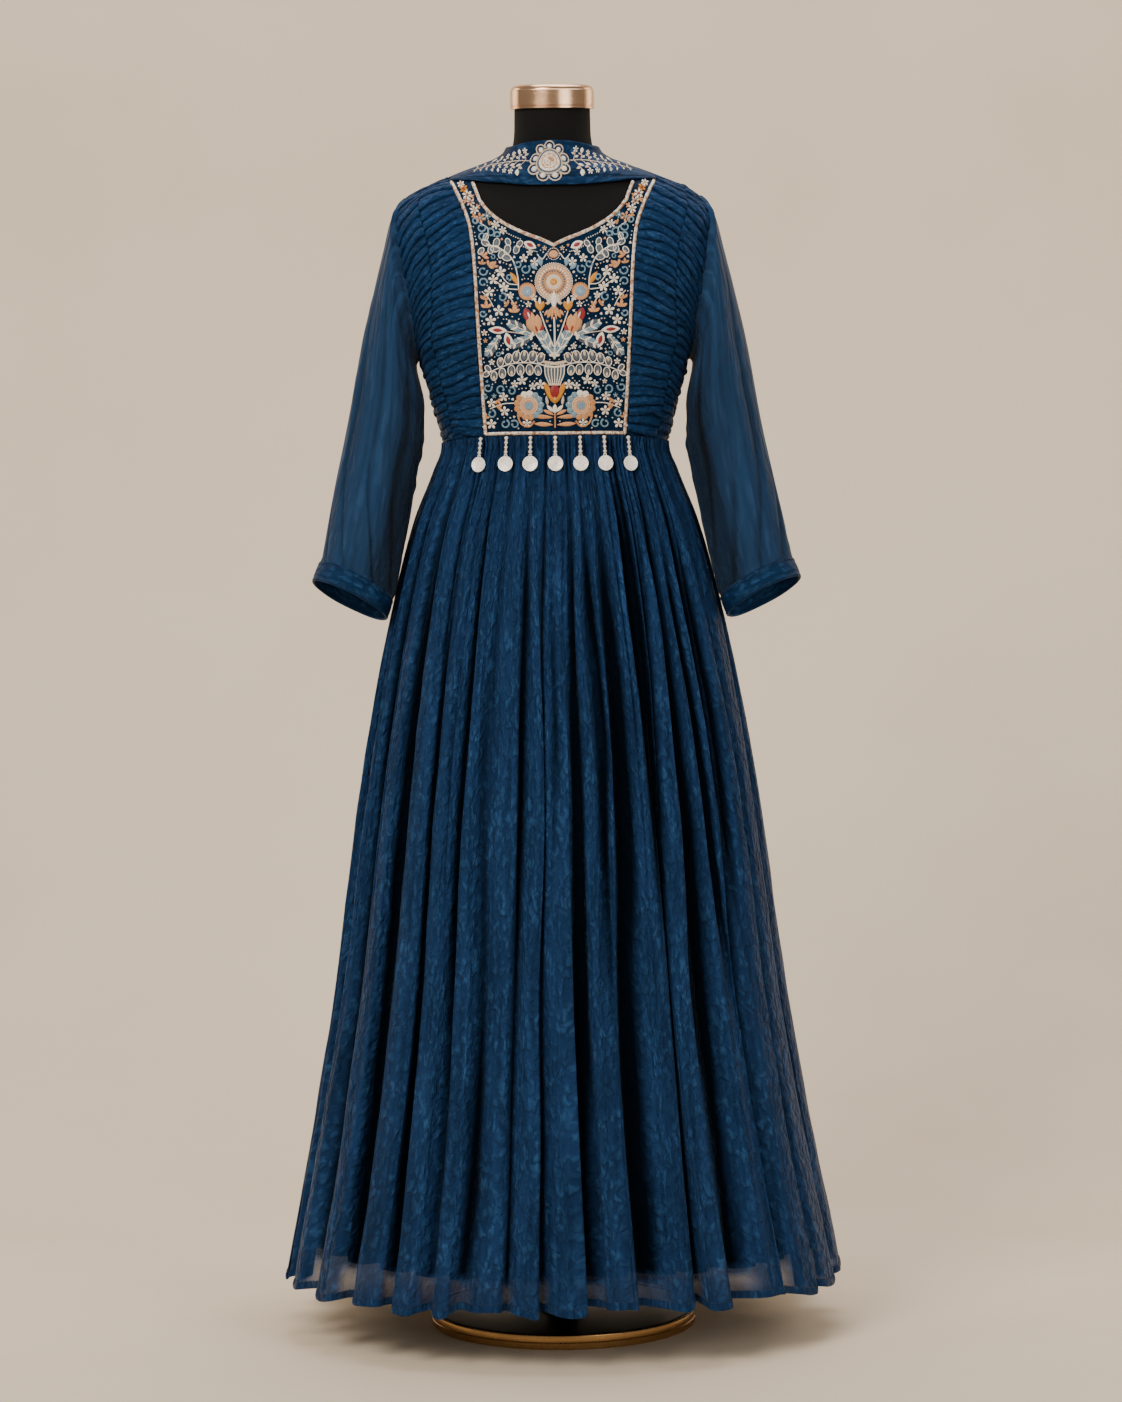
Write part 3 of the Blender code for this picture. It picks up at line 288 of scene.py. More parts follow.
@contextmanager
def edited(item: bpy.types.Object) -> Iterator[bmesh.types.BMesh]:
    """Open an object's mesh for edits and write them back at the end.

    Args:
        item: The object.

    Yields:
        Its mesh.
    """
    work = bmesh.new()
    work.from_mesh(item.data)
    yield work
    work.to_mesh(item.data)
    work.free()


def thicken(item: bpy.types.Object, wall: float) -> None:
    """Give a sheet a real wall that lies under its shown side.

    Args:
        item: The sheet.
        wall: Its thickness.
    """
    change = item.modifiers.new("wall", "SOLIDIFY")
    change.thickness = wall
    change.offset = -1.0
    bpy.context.view_layer.update()
    shaped = item.evaluated_get(bpy.context.evaluated_depsgraph_get())
    made = bpy.data.meshes.new_from_object(shaped)
    item.modifiers.clear()
    item.data = made


def turn_out(item: bpy.types.Object) -> None:
    """Make a sheet that goes round the upright axis look away from it.

    Args:
        item: The sheet.
    """
    faces = item.data.polygons
    if sum(face.normal.xy.dot(face.center.xy) * face.area for face in faces) < 0:
        item.data.flip_normals()


def lathe(name: str, profile: Sequence[tuple[float, float]], sides: int) -> bpy.types.Object:
    """Turn a profile round the upright axis.

    Args:
        name: The piece's name.
        profile: Radius and height of each point, from the axis or a free edge.
        sides: Steps round the turn.

    Returns:
        The object, its edges kept crisp where the profile turns sharply.
    """
    turns = np.linspace(0, math.tau, sides + 1)
    radius = np.array([[max(point[0], 0.02 * MM)] for point in profile])
    height = np.array([[point[1]] for point in profile])
    grid = np.stack([radius * np.sin(turns), -radius * np.cos(turns), height + 0.0 * turns],
                    axis=-1)
    item = grid_object(name, grid, row=int(np.argmax(radius)), weld=True)
    with edited(item) as work:
        bmesh.ops.remove_doubles(work, verts=work.verts, dist=0.08 * MM)
        bmesh.ops.recalc_face_normals(work, faces=work.faces)
    item.data.set_sharp_from_angle(angle=math.radians(35))
    return item


def dress(item: bpy.types.Object, finish: "Finish", body: str, slot: str,
          *nodes: str) -> bpy.types.Object:
    """Give a finished piece its material and its body, and hide the solids it stands for.

    Args:
        item: The piece.
        finish: What it is made of.
        body: The moving or fixed body it rides on.
        slot: A material slot's name; not used.
        nodes: The solids that it replaces.

    Returns:
        The piece.
    """
    item.data.materials.clear()
    item.data.materials.append(finish.material())
    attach(item, body)
    if nodes:
        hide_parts(*nodes)
    LOG.info("%s: %d faces", item.name, len(item.data.polygons))
    return item


# ---- Finishes -----------------------------------------------------------------------


@dataclass(frozen=True)
class Finish:
    """A real surface's material: its name, main colour and roughness."""

    name: str
    colour: str
    roughness: float

    def material(self) -> bpy.types.Material:
        """Make the material once and hand the same one out after that.

        Returns:
            The material.
        """
        found = bpy.data.materials.get(self.name)
        if found:
            return found
        made = bpy.data.materials.new(self.name)
        made.use_nodes = True
        tree = made.node_tree
        tree.nodes.clear()
        shader = self.shader(tree)
        add_node(tree, "OutputMaterial", {"Surface": shader.outputs["BSDF"]})
        return made

    def shader(self, tree: bpy.types.NodeTree) -> bpy.types.Node:
        """Build the surface's nodes and return its shader."""
        raise NotImplementedError


@dataclass(frozen=True)
class CrushedOrganza(Finish):
    """Dyed silk organza, woven sheer and crushed by hand, then pressed along its folds.

    Its fine crinkle breaks the light into small leaf-like glints, painted highlights in a lighter
    colour over a real bump; its folds' valleys and pressed lines carry painted shade near black.
    """

    deep: str = "#010408"        # painted shade, near black, in fold valleys and pressed lines
    glint: str = "#2E5380"       # painted highlight on the raised side of a crinkle
    alpha: float = 1.0           # how much one layer covers
    sheer: float = 1.0           # the same where it hangs clear, where the painted-shade attribute falls below nought
    crinkle_mm: float = 6.0      # width of one crinkle
    stretch: float = 2.0         # its length over its width
    relief_mm: float = 0.9
    pressed_mm: float = 9.0      # spacing of the long pressed lines
    pressed: tuple[float, float] = (1.0, 0.06)   # which way they run: along the folds
    thread_mm: float = 1.7       # drawn coarse: real organza has a thread every 0.3 mm
    sheen: float = 0.06

    def shader(self, tree: bpy.types.NodeTree) -> bpy.types.Node:
        """Build the surface's nodes.

        Args:
            tree: The material's nodes.

        Returns:
            The shader.
        """
        lengths = add_node(tree, "UVMap", uv_map="lengths").outputs["UV"]
        wide = 1000 / self.crinkle_mm
        crinkle = add_node(tree, "Mapping", {
            "Vector": lengths, "Scale": (wide, wide / self.stretch, 1.0)})
        wobble = add_node(tree, "TexNoise", {"Vector": crinkle, "Scale": 0.8, "Detail": 2.0})
        bent = add_node(tree, "VectorMath", {
            0: wobble.outputs["Color"], 1: (1.9, 1.9, 0.0), 2: crinkle},
            operation="MULTIPLY_ADD")
        leaves = add_node(tree, "TexVoronoi", {"Vector": bent, "Scale": 1.0})
        crushed = add_node(tree, "TexNoise", {
            "Vector": bent, "Scale": 0.9, "Detail": 2.0, "Roughness": 0.5})
        folded = add_node(tree, "Math", {0: leaves, 1: -1.0, 2: crushed},
                          operation="MULTIPLY_ADD")
        lines = add_node(tree, "Mapping", {
            "Vector": lengths, "Scale": (self.pressed[0] * 1000 / self.pressed_mm,
                                         self.pressed[1] * 1000 / self.pressed_mm, 1.0)})
        streaks = add_node(tree, "TexNoise", {
            "Vector": lines, "Scale": 1.0, "Detail": 3.0, "Roughness": 0.6})
        shaded = add_node(tree, "MapRange", {
            "Value": streaks, "From Min": 0.36, "From Max": 0.64,
            "To Min": 0.45, "To Max": 0.0})
        patches = add_node(tree, "TexNoise", {
            "Vector": crinkle, "Scale": 0.21, "Detail": 2.0, "Distortion": 0.6})
        # Painted highlight: raised crinkles, spread in patches, are painted in the lighter glint
        # colour.
        raised = add_node(tree, "MapRange", {
            "Value": folded, "From Min": -0.05, "From Max": 0.32})
        glint_patches = add_node(tree, "MapRange", {
            "Value": patches, "From Min": 0.38, "From Max": 0.66,
            "To Min": 0.25, "To Max": 0.85})
        lit = add_node(tree, "Math", {0: raised, 1: glint_patches}, operation="MULTIPLY")
        glinted = add_node(tree, "Mix", {SHARE: lit, UNDER: self.colour, OVER: self.glint},
                        data_type="RGBA").outputs[MIXED]
        # Painted shade: along the pressed lines the colour is painted darker, towards the deep
        # colour.
        lined = add_node(tree, "Mix", {SHARE: shaded, UNDER: glinted, OVER: self.deep},
                         data_type="RGBA").outputs[MIXED]
        # Painted shade: this attribute paints the folds' valleys near black; below nought it lowers
        # the alpha where the cloth hangs clear.
        shade_and_sheer = add_node(tree, "Attribute", attribute_name="painted_shade_and_sheer")
        shown = add_node(tree, "Mix", {SHARE: shade_and_sheer.outputs["Fac"], UNDER: lined, OVER: self.deep},
                         data_type="RGBA").outputs[MIXED]
        warp, weft = (add_node(tree, "TexWave", {
            "Vector": lengths, "Scale": 1000 / self.thread_mm / math.tau * 0.5, "Distortion": 2.0,
            "Detail": 1.0, "Detail Scale": 0.4}, bands_direction=way).outputs["Fac"]
            for way in "XY")
        weave = add_node(tree, "Math", {0: warp, 1: weft}, operation="ADD")
        threads = add_node(tree, "Bump", {
            "Height": weave, "Strength": 0.16, "Distance": 0.25 * MM})
        long = add_node(tree, "Bump", {
            "Height": streaks, "Normal": threads,
            "Strength": 0.8, "Distance": self.relief_mm * MM * 3})
        relief = add_node(tree, "Bump", {
            "Height": folded, "Normal": long,
            "Strength": 0.9, "Distance": self.relief_mm * MM * 4})
        gloss = add_node(tree, "MapRange", {
            "Value": shade_and_sheer.outputs["Fac"], "From Min": 0.0, "From Max": 0.6,
            "To Min": self.roughness, "To Max": 0.9})
        cover = add_node(tree, "MapRange", {
            "Value": shade_and_sheer.outputs["Fac"], "From Min": -1.0, "From Max": 0.0,
            "To Min": self.sheer, "To Max": self.alpha})
        return add_node(tree, "BsdfPrincipled", {
            "Base Color": shown, "Roughness": gloss, "IOR": 1.54, "Specular IOR Level": 0.08,
            "Specular Tint": "#7FA6CC", "Sheen Weight": self.sheen, "Sheen Roughness": 0.35,
            "Sheen Tint": "#8CA6C0", "Alpha": cover, "Normal": relief})


@dataclass(frozen=True)
class SatinLining(Finish):
    """Woven satin lining: smooth, closed and a little shiny under the organza."""

    shade: str = "#010D1A"
    slub_mm: float = 26.0        # length of the soft uneven bands down the cloth

    def shader(self, tree: bpy.types.NodeTree) -> bpy.types.Node:
        """Build the surface's nodes.

        Args:
            tree: The material's nodes.

        Returns:
            The shader.
        """
        lengths = add_node(tree, "UVMap", uv_map="lengths").outputs["UV"]
        bands = add_node(tree, "Mapping", {
            "Vector": lengths, "Scale": (1000 / self.slub_mm * 3, 1000 / self.slub_mm / 4, 1.0)})
        uneven = add_node(tree, "TexNoise", {"Vector": bands, "Detail": 2.0})
        shown = add_node(tree, "Mix", {SHARE: uneven, UNDER: self.colour, OVER: self.shade},
                         data_type="RGBA").outputs[MIXED]
        relief = add_node(tree, "Bump", {
            "Height": uneven, "Strength": 0.5, "Distance": 1.2 * MM})
        return add_node(tree, "BsdfPrincipled", {
            "Base Color": shown, "Roughness": self.roughness, "IOR": 1.5, "Sheen Weight": 0.05,
            "Sheen Roughness": 0.4, "Sheen Tint": "#5F86A8",
            "Normal": relief})


@dataclass(frozen=True)
class SatinStitch(Finish):
    """Hand-worked floss: close parallel stitches with a silky line down each thread, painted
    lighter along it with painted shade between the threads.
    """

    shade: str = "#000000"
    thread_mm: float = 1.1       # drawn coarse: real floss lies at 0.4 mm
    metal: float = 0.0

    def shader(self, tree: bpy.types.NodeTree) -> bpy.types.Node:
        """Build the surface's nodes.

        Args:
            tree: The material's nodes.

        Returns:
            The shader.
        """
        lengths = add_node(tree, "UVMap", uv_map="lengths").outputs["UV"]
        floss = add_node(tree, "TexWave", {
            "Vector": lengths, "Scale": 1000 / self.thread_mm / math.tau, "Distortion": 1.2,
            "Detail": 2.0, "Detail Scale": 1.5}, bands_direction="X")
        blotch = add_node(tree, "TexNoise", {"Vector": lengths, "Scale": 330.0, "Detail": 2.0})
        part = add_node(tree, "Math", {0: floss.outputs["Fac"], 1: blotch}, operation="MULTIPLY")
        # Painted shade: between the stitches the floss is painted in its darker shade colour, and
        # lighter along each thread.
        shown = add_node(tree, "Mix", {SHARE: part, UNDER: self.shade, OVER: self.colour},
                         data_type="RGBA").outputs[MIXED]
        stronger = add_node(tree, "Mix", {SHARE: blotch, UNDER: shown, OVER: self.colour},
                            data_type="RGBA").outputs[MIXED]
        relief = add_node(tree, "Bump", {
            "Height": floss.outputs["Fac"], "Strength": 0.7, "Distance": 0.35 * MM})
        return add_node(tree, "BsdfPrincipled", {
            "Base Color": stronger, "Roughness": self.roughness, "IOR": 1.52,
            "Metallic": self.metal, "Sheen Weight": 0.08, "Sheen Roughness": 0.3,
            "Sheen Tint": "#FFFFFF", "Normal": relief})


@dataclass(frozen=True)
class ZariCord(Finish):
    """Twisted metal-wrapped thread: broken silver glints with peach and brown flecks."""

    fleck: str = "#B07A52"
    metal: float = 0.45

    def shader(self, tree: bpy.types.NodeTree) -> bpy.types.Node:
        """Build the surface's nodes.

        Args:
            tree: The material's nodes.

        Returns:
            The shader.
        """
        where = add_node(tree, "TexCoord").outputs["Object"]
        flecks = add_node(tree, "TexNoise", {"Vector": where, "Scale": 260.0, "Detail": 2.0})
        spots = add_node(tree, "ValToRGB", {"Fac": flecks})
        spots.color_ramp.elements[0].position = 0.47
        spots.color_ramp.elements[1].position = 0.62
        shown = add_node(tree, "Mix", {SHARE: spots, UNDER: self.colour, OVER: self.fleck},
                         data_type="RGBA").outputs[MIXED]
        relief = add_node(tree, "Bump", {
            "Height": flecks, "Strength": 1.0, "Distance": 1.2 * MM})
        return add_node(tree, "BsdfPrincipled", {
            "Base Color": shown, "Roughness": self.roughness, "Metallic": self.metal,
            "Normal": relief})


@dataclass(frozen=True)
class PearlBead(Finish):
    """Pressed glass pearl under a nacre coat: a milky body with a small bright glint."""

    def shader(self, tree: bpy.types.NodeTree) -> bpy.types.Node:
        """Build the surface's nodes.

        Args:
            tree: The material's nodes.

        Returns:
            The shader.
        """
        where = add_node(tree, "TexCoord").outputs["Object"]
        clouds = add_node(tree, "TexNoise", {"Vector": where, "Scale": 420.0, "Detail": 1.0})
        shown = add_node(tree, "Mix", {SHARE: clouds, UNDER: self.colour, OVER: "#C9BBAA"},
                         data_type="RGBA").outputs[MIXED]
        return add_node(tree, "BsdfPrincipled", {
            "Base Color": shown, "Roughness": self.roughness, "IOR": 1.5, "Coat Weight": 0.6,
            "Coat Roughness": 0.12})


@dataclass(frozen=True)
class StampedSilver(Finish):
    """Thin stamped silver-plated brass: bright worn faces, dull in the hollows."""

    dull: str = "#DDD5C9"
    metal: float = 0.10

    def shader(self, tree: bpy.types.NodeTree) -> bpy.types.Node:
        """Build the surface's nodes.

        Args:
            tree: The material's nodes.

        Returns:
            The shader.
        """
        where = add_node(tree, "TexCoord").outputs["Object"]
        wear = add_node(tree, "TexNoise", {"Vector": where, "Scale": 520.0, "Detail": 3.0})
        edge = add_node(tree, "ValToRGB", {"Fac": wear})
        edge.color_ramp.elements[0].position = 0.30
        edge.color_ramp.elements[1].position = 0.52
        shown = add_node(tree, "Mix", {SHARE: edge, UNDER: self.dull, OVER: self.colour},
                         data_type="RGBA").outputs[MIXED]
        relief = add_node(tree, "Bump", {
            "Height": wear, "Strength": 0.45, "Distance": 0.3 * MM})
        return add_node(tree, "BsdfPrincipled", {
            "Base Color": shown, "Roughness": self.roughness, "Metallic": self.metal,
            "Normal": relief})


@dataclass(frozen=True)
class KnitJersey(Finish):
    """Black cotton jersey stretched over the form: matt, with fine upright ribs."""

    rib_mm: float = 1.6          # drawn coarse: real jersey has a rib every 0.7 mm

    def shader(self, tree: bpy.types.NodeTree) -> bpy.types.Node:
        """Build the surface's nodes.

        Args:
            tree: The material's nodes.

        Returns:
            The shader.
        """
        lengths = add_node(tree, "UVMap", uv_map="lengths").outputs["UV"]
        ribs = add_node(tree, "TexWave", {
            "Vector": lengths, "Scale": 1000 / self.rib_mm / math.tau, "Distortion": 1.0,
            "Detail": 2.0}, bands_direction="X")
        fuzz = add_node(tree, "TexNoise", {"Vector": lengths, "Scale": 700.0, "Detail": 3.0})
        shown = add_node(tree, "Mix", {SHARE: fuzz, UNDER: self.colour, OVER: "#101012"},
                         data_type="RGBA").outputs[MIXED]
        height = add_node(tree, "Math", {0: ribs.outputs["Fac"], 1: fuzz}, operation="ADD")
        relief = add_node(tree, "Bump", {
            "Height": height, "Strength": 0.35, "Distance": 0.4 * MM})
        return add_node(tree, "BsdfPrincipled", {
            "Base Color": shown, "Roughness": self.roughness, "IOR": 1.5, "Sheen Weight": 0.02,
            "Sheen Roughness": 0.5, "Specular IOR Level": 0.22,
            "Normal": relief})


@dataclass(frozen=True)
class SpunBrass(Finish):
    """Spun brass: turned to shape, its fine rings draw the highlight out sideways."""

    tarnish: str = "#7E4F2C"
    ring_mm: float = 0.9         # drawn coarse: real spinning marks lie at 0.1 mm
    relief: float = 0.35

    def shader(self, tree: bpy.types.NodeTree) -> bpy.types.Node:
        """Build the surface's nodes.

        Args:
            tree: The material's nodes.

        Returns:
            The shader.
        """
        where = add_node(tree, "TexCoord").outputs["Object"]
        thin = 1000 / self.ring_mm
        rings = add_node(tree, "Mapping", {"Vector": where, "Scale": (6.0, 6.0, thin)})
        marks = add_node(tree, "TexNoise", {"Vector": rings, "Detail": 2.0})
        clouds = add_node(tree, "TexNoise", {"Vector": where, "Scale": 28.0, "Detail": 3.0})
        shown = add_node(tree, "Mix", {SHARE: clouds, UNDER: self.colour, OVER: self.tarnish},
                         data_type="RGBA").outputs[MIXED]
        lighter = add_node(tree, "Mix", {SHARE: marks, UNDER: shown, OVER: self.colour},
                           data_type="RGBA").outputs[MIXED]
        gloss = add_node(tree, "MapRange", {
            "Value": clouds, "To Min": self.roughness - 0.06,
            "To Max": self.roughness + 0.10})
        relief = add_node(tree, "Bump", {
            "Height": marks, "Strength": self.relief, "Distance": 0.12 * MM})
        return add_node(tree, "BsdfPrincipled", {
            "Base Color": lighter, "Roughness": gloss, "Metallic": 1.0,
            "Normal": relief})


@dataclass(frozen=True)
class StovedEnamel(Finish):
    """Black enamel stoved on steel: deep gloss with a faint orange-peel ripple."""

    peel_mm: float = 4.0
    coat: float = 0.5

    def shader(self, tree: bpy.types.NodeTree) -> bpy.types.Node:
        """Build the surface's nodes.

        Args:
            tree: The material's nodes.

        Returns:
            The shader.
        """
        where = add_node(tree, "TexCoord").outputs["Object"]
        peel = add_node(tree, "TexNoise", {
            "Vector": where, "Scale": 1000 / self.peel_mm, "Detail": 1.0})
        dust = add_node(tree, "TexNoise", {"Vector": where, "Scale": 30.0, "Detail": 4.0})
        gloss = add_node(tree, "MapRange", {
            "Value": dust, "To Min": self.roughness - 0.05,
            "To Max": self.roughness + 0.12})
        shown = add_node(tree, "Mix", {SHARE: dust, UNDER: self.colour, OVER: "#0C0C0E"},
                         data_type="RGBA").outputs[MIXED]
        relief = add_node(tree, "Bump", {
            "Height": peel, "Strength": 0.08, "Distance": 0.2 * MM})
        return add_node(tree, "BsdfPrincipled", {
            "Base Color": shown, "Roughness": gloss, "IOR": 1.52,
            "Specular IOR Level": 0.25, "Coat Weight": self.coat, "Coat Roughness": 0.08,
            "Normal": relief})


@dataclass(frozen=True)
class StagePaper(Finish):
    """Seamless background paper: pale and matt, faintly mottled, and clear from behind."""

    def shader(self, tree: bpy.types.NodeTree) -> bpy.types.Node:
        """Build the surface's nodes.

        Args:
            tree: The material's nodes.

        Returns:
            The shader.
        """
        where = add_node(tree, "TexCoord").outputs["Object"]
        mottle = add_node(tree, "TexNoise", {"Vector": where, "Scale": 3.0, "Detail": 4.0})
        shown = add_node(tree, "Mix", {SHARE: mottle, UNDER: self.colour, OVER: "#DCCBB5"},
                         data_type="RGBA").outputs[MIXED]
        behind = add_node(tree, "NewGeometry").outputs["Backfacing"]
        shut = add_node(tree, "Math", {0: 1.0, 1: behind}, operation="SUBTRACT")
        return add_node(tree, "BsdfPrincipled", {
            "Base Color": shown, "Roughness": self.roughness, "Specular IOR Level": 0.2,
            "Alpha": shut})


SKIRT_ORGANZA = CrushedOrganza("crushed_silk_organza_skirt", "#1A345A", 0.42, alpha=0.975,
                               sheer=0.80)
HEM_ORGANZA = CrushedOrganza("crushed_silk_organza_hem", "#1A345A", 0.42, alpha=0.92, sheer=0.92)
SLEEVE_ORGANZA = CrushedOrganza("crushed_silk_organza_sleeve", "#1A3A5E", 0.46, alpha=0.92,
                                sheer=0.92, glint="#2A4A70", crinkle_mm=9.0, relief_mm=0.45,
                                stretch=3.0, pressed_mm=16.0)
RUCHED_ORGANZA = CrushedOrganza("ruched_silk_organza", "#17355C", 0.42, crinkle_mm=8.0,
                                stretch=0.45, relief_mm=0.5, pressed_mm=7.0, pressed=(0.08, 1.0))
BAND_ORGANZA = CrushedOrganza("folded_silk_organza_band", "#132D4E", 0.50, crinkle_mm=13.0,
                              stretch=0.5, relief_mm=0.35, pressed_mm=12.0, pressed=(0.08, 1.0),
                              sheen=0.02)
GROUND_ORGANZA = CrushedOrganza("mounted_silk_organza_ground", "#091F38", 0.52, glint="#0F2C49",
                                crinkle_mm=10.0, stretch=1.0, relief_mm=0.15)
LINING_SATIN = SatinLining("woven_satin_lining", "#061626", 0.50)
SEAM_THREAD = SatinStitch("twisted_polyester_thread", "#0B3253", 0.5, shade="#04192D")
BORDER_ZARI = ZariCord("twisted_silver_zari", "#DCD2C6", 0.42)
GLASS_PEARL = PearlBead("pressed_glass_pearl", "#F1EAE0", 0.22)
COIN_SILVER = StampedSilver("stamped_silver_plate", "#FFFCF6", 0.34)
FORM_JERSEY = KnitJersey("knitted_black_jersey", "#040405", 0.9)
CAP_BRASS = SpunBrass("spun_rose_brass", "#EAC3A0", 0.20, tarnish="#A26F46")
RIM_BRASS = SpunBrass("rolled_brass_rim", "#BE9660", 0.26, relief=0.15)
BASE_ENAMEL = StovedEnamel("stoved_gloss_enamel", "#030303", 0.30, coat=0.0)
POLE_ENAMEL = StovedEnamel("stoved_satin_enamel", "#0C0C0E", 0.34, coat=0.15)
PALE_PAPER = StagePaper("seamless_pale_paper", "#E9DAC6", 0.9)


class Floss(Enum):
    """The embroidery's threads."""

    CREAM = SatinStitch("floss_cream", "#F3ECE2", 0.42, shade="#CDBDA9")
    BEIGE = SatinStitch("floss_beige", "#DCCAB4", 0.42, shade="#A98F72")
    PEACH = SatinStitch("floss_peach", "#D99E6A", 0.42, shade="#A5683B")
    TAN = SatinStitch("floss_tan", "#CE9664", 0.42, shade="#8F5E38")
    BLUE_GREY = SatinStitch("floss_blue_grey", "#7E9DB0", 0.42, shade="#45677C")
    SLATE = SatinStitch("floss_slate", "#56626E", 0.45, shade="#2B343E")
    GOLD = SatinStitch("floss_gold", "#D48F12", 0.38, shade="#935604")
    RED = SatinStitch("floss_red", "#950C12", 0.42, shade="#56060B")


CREAM, BEIGE, PEACH, TAN, BLUE_GREY, SLATE, GOLD, RED = Floss


# ---- Worn surface -------------------------------------------------------------------


@dataclass
class WornBody:
    """The smooth surface that the bodice is worn on, as a squared oval at each height."""

    # Height, half width, depth in front, depth behind, squareness
    rows: tuple[tuple[float, ...], ...] = (
        (0.862, 0.1720, 0.104, 0.122, 2.20),
        (0.920, 0.1740, 0.108, 0.124, 2.20),
        (1.000, 0.1650, 0.106, 0.114, 2.20),
        (1.050, 0.1520, 0.102, 0.100, 2.20),
        (1.085, 0.1430, 0.1005, 0.094, 2.20),
        (1.118, 0.1410, 0.1015, 0.0935, 2.20),
        (1.143, 0.1470, 0.1060, 0.0940, 2.20),
        (1.168, 0.1530, 0.1115, 0.0955, 2.25),
        (1.192, 0.1600, 0.1170, 0.0970, 2.30),
        (1.217, 0.1665, 0.1220, 0.0985, 2.30),
        (1.235, 0.1725, 0.1255, 0.0998, 2.30),
        (1.262, 0.1805, 0.1270, 0.1015, 2.30),
        (1.300, 0.1905, 0.1200, 0.1030, 2.30),
        (1.331, 0.1965, 0.1110, 0.1030, 2.30),
        (1.360, 0.2010, 0.1020, 0.1010, 2.25),
        (1.385, 0.2020, 0.0935, 0.0980, 2.20),
        (1.404, 0.1960, 0.0870, 0.0935, 2.15),
        (1.416, 0.1850, 0.0825, 0.0900, 2.10),
        (1.429, 0.1660, 0.0775, 0.0860, 2.10),
        (1.441, 0.1370, 0.0720, 0.0800, 2.10),
        (1.447, 0.1210, 0.0690, 0.0765, 2.10),
        (1.458, 0.0910, 0.0630, 0.0690, 2.05),
        (1.466, 0.0700, 0.0585, 0.0625, 2.00),
        (1.474, 0.0590, 0.0560, 0.0580, 2.00),
        (1.484, 0.0545, 0.0540, 0.0550, 2.00),
        (1.500, 0.0525, 0.0525, 0.0530, 2.00),
        (1.528, 0.0520, 0.0520, 0.0520, 2.00),
    )
    # Armhole seam: height, angle round the body from the front in degrees
    armhole: tuple[tuple[float, float], ...] = (
        (1.2175, 90.0), (1.226, 84.0), (1.240, 78.5), (1.262, 73.5), (1.300, 69.5),
        (1.340, 69.0), (1.375, 71.0), (1.398, 75.5), (1.412, 81.5), (1.4187, 90.0),
    )

    def __post_init__(self) -> None:
        """Turn the tables into curves."""
        self.half, self.front, self.back, self.square = columns(self.rows)
        self.arm_angle = columns(self.armhole)[0]

    def depth(self, z: np.ndarray, y: np.ndarray) -> np.ndarray:
        """The depth in front of or behind the middle, at each height."""
        return np.where(y < 0, self.front(z), self.back(z))

    def level(self, x: np.ndarray, y: np.ndarray, z: np.ndarray) -> np.ndarray:
        """One on the surface, less inside it and more outside."""
        square = self.square(z)
        return (np.abs(x) / self.half(z)) ** square + (np.abs(y) / self.depth(z, y)) ** square

    def place(self, z: np.ndarray, angle: np.ndarray, out: np.ndarray | float,
              inset: np.ndarray | float = 0.0) -> np.ndarray:
        """Points at heights and angles, moved out along the surface's normal.

        Args:
            z: Heights.
            angle: Angles from the front, towards the wearer's left.
            out: How far to move out.
            inset: How much narrower the surface is there.

        Returns:
            The points, one in each last row.
        """
        z, angle, out = np.broadcast_arrays(
            np.asarray(z, dtype=float), np.asarray(angle, dtype=float), out)
        side, ahead = np.sin(angle), np.cos(angle)
        depth = np.where(ahead >= 0, self.front(z), self.back(z))
        half = self.half(z) - inset
        square = self.square(z)
        x, y = half * powered(side, 2 / square), -depth * powered(ahead, 2 / square)
        small = 0.4 * MM
        slope_x = np.sign(x) * square / half * (np.abs(x) / half) ** (square - 1)
        slope_y = np.sign(y) * square / depth * (np.abs(y) / depth) ** (square - 1)
        slope_z = (self.level(x, y, z + small) - self.level(x, y, z - small)) / (2 * small)
        normal = unit(np.stack([slope_x, slope_y, slope_z], axis=-1))
        return np.stack([x, y, z], axis=-1) + normal * out[..., None]

    def angle_at(self, z: np.ndarray, x: np.ndarray) -> np.ndarray:
        """The angle from the front at which the surface has each x."""
        share = np.minimum(np.abs(x) / self.half(z), 1.0)
        return np.sign(x) * np.arcsin(share ** (self.square(z) / 2))

    def shoulder_height(self, x: np.ndarray | float) -> np.ndarray:
        """The height at which the shoulder seam passes over each x."""
        heights = np.linspace(1.385, 1.528, 1200)
        return np.interp(np.abs(x), self.half(heights)[::-1], heights[::-1])

    def waist_height(self, angle: np.ndarray | float) -> np.ndarray:
        """The waist seam's height round the body."""
        return WAIST_FRONT_Z - WAIST_DIP * np.sin(angle) ** 4

    def edge_angle(self, z: np.ndarray) -> np.ndarray:
        """The angle of the front panels' outer edge: side seam, armhole, shoulder seam."""
        inside = (z > ARMPIT_Z) & (z < SHOULDER_TIP_Z)
        return np.where(inside, np.radians(self.arm_angle(z)), QUARTER)


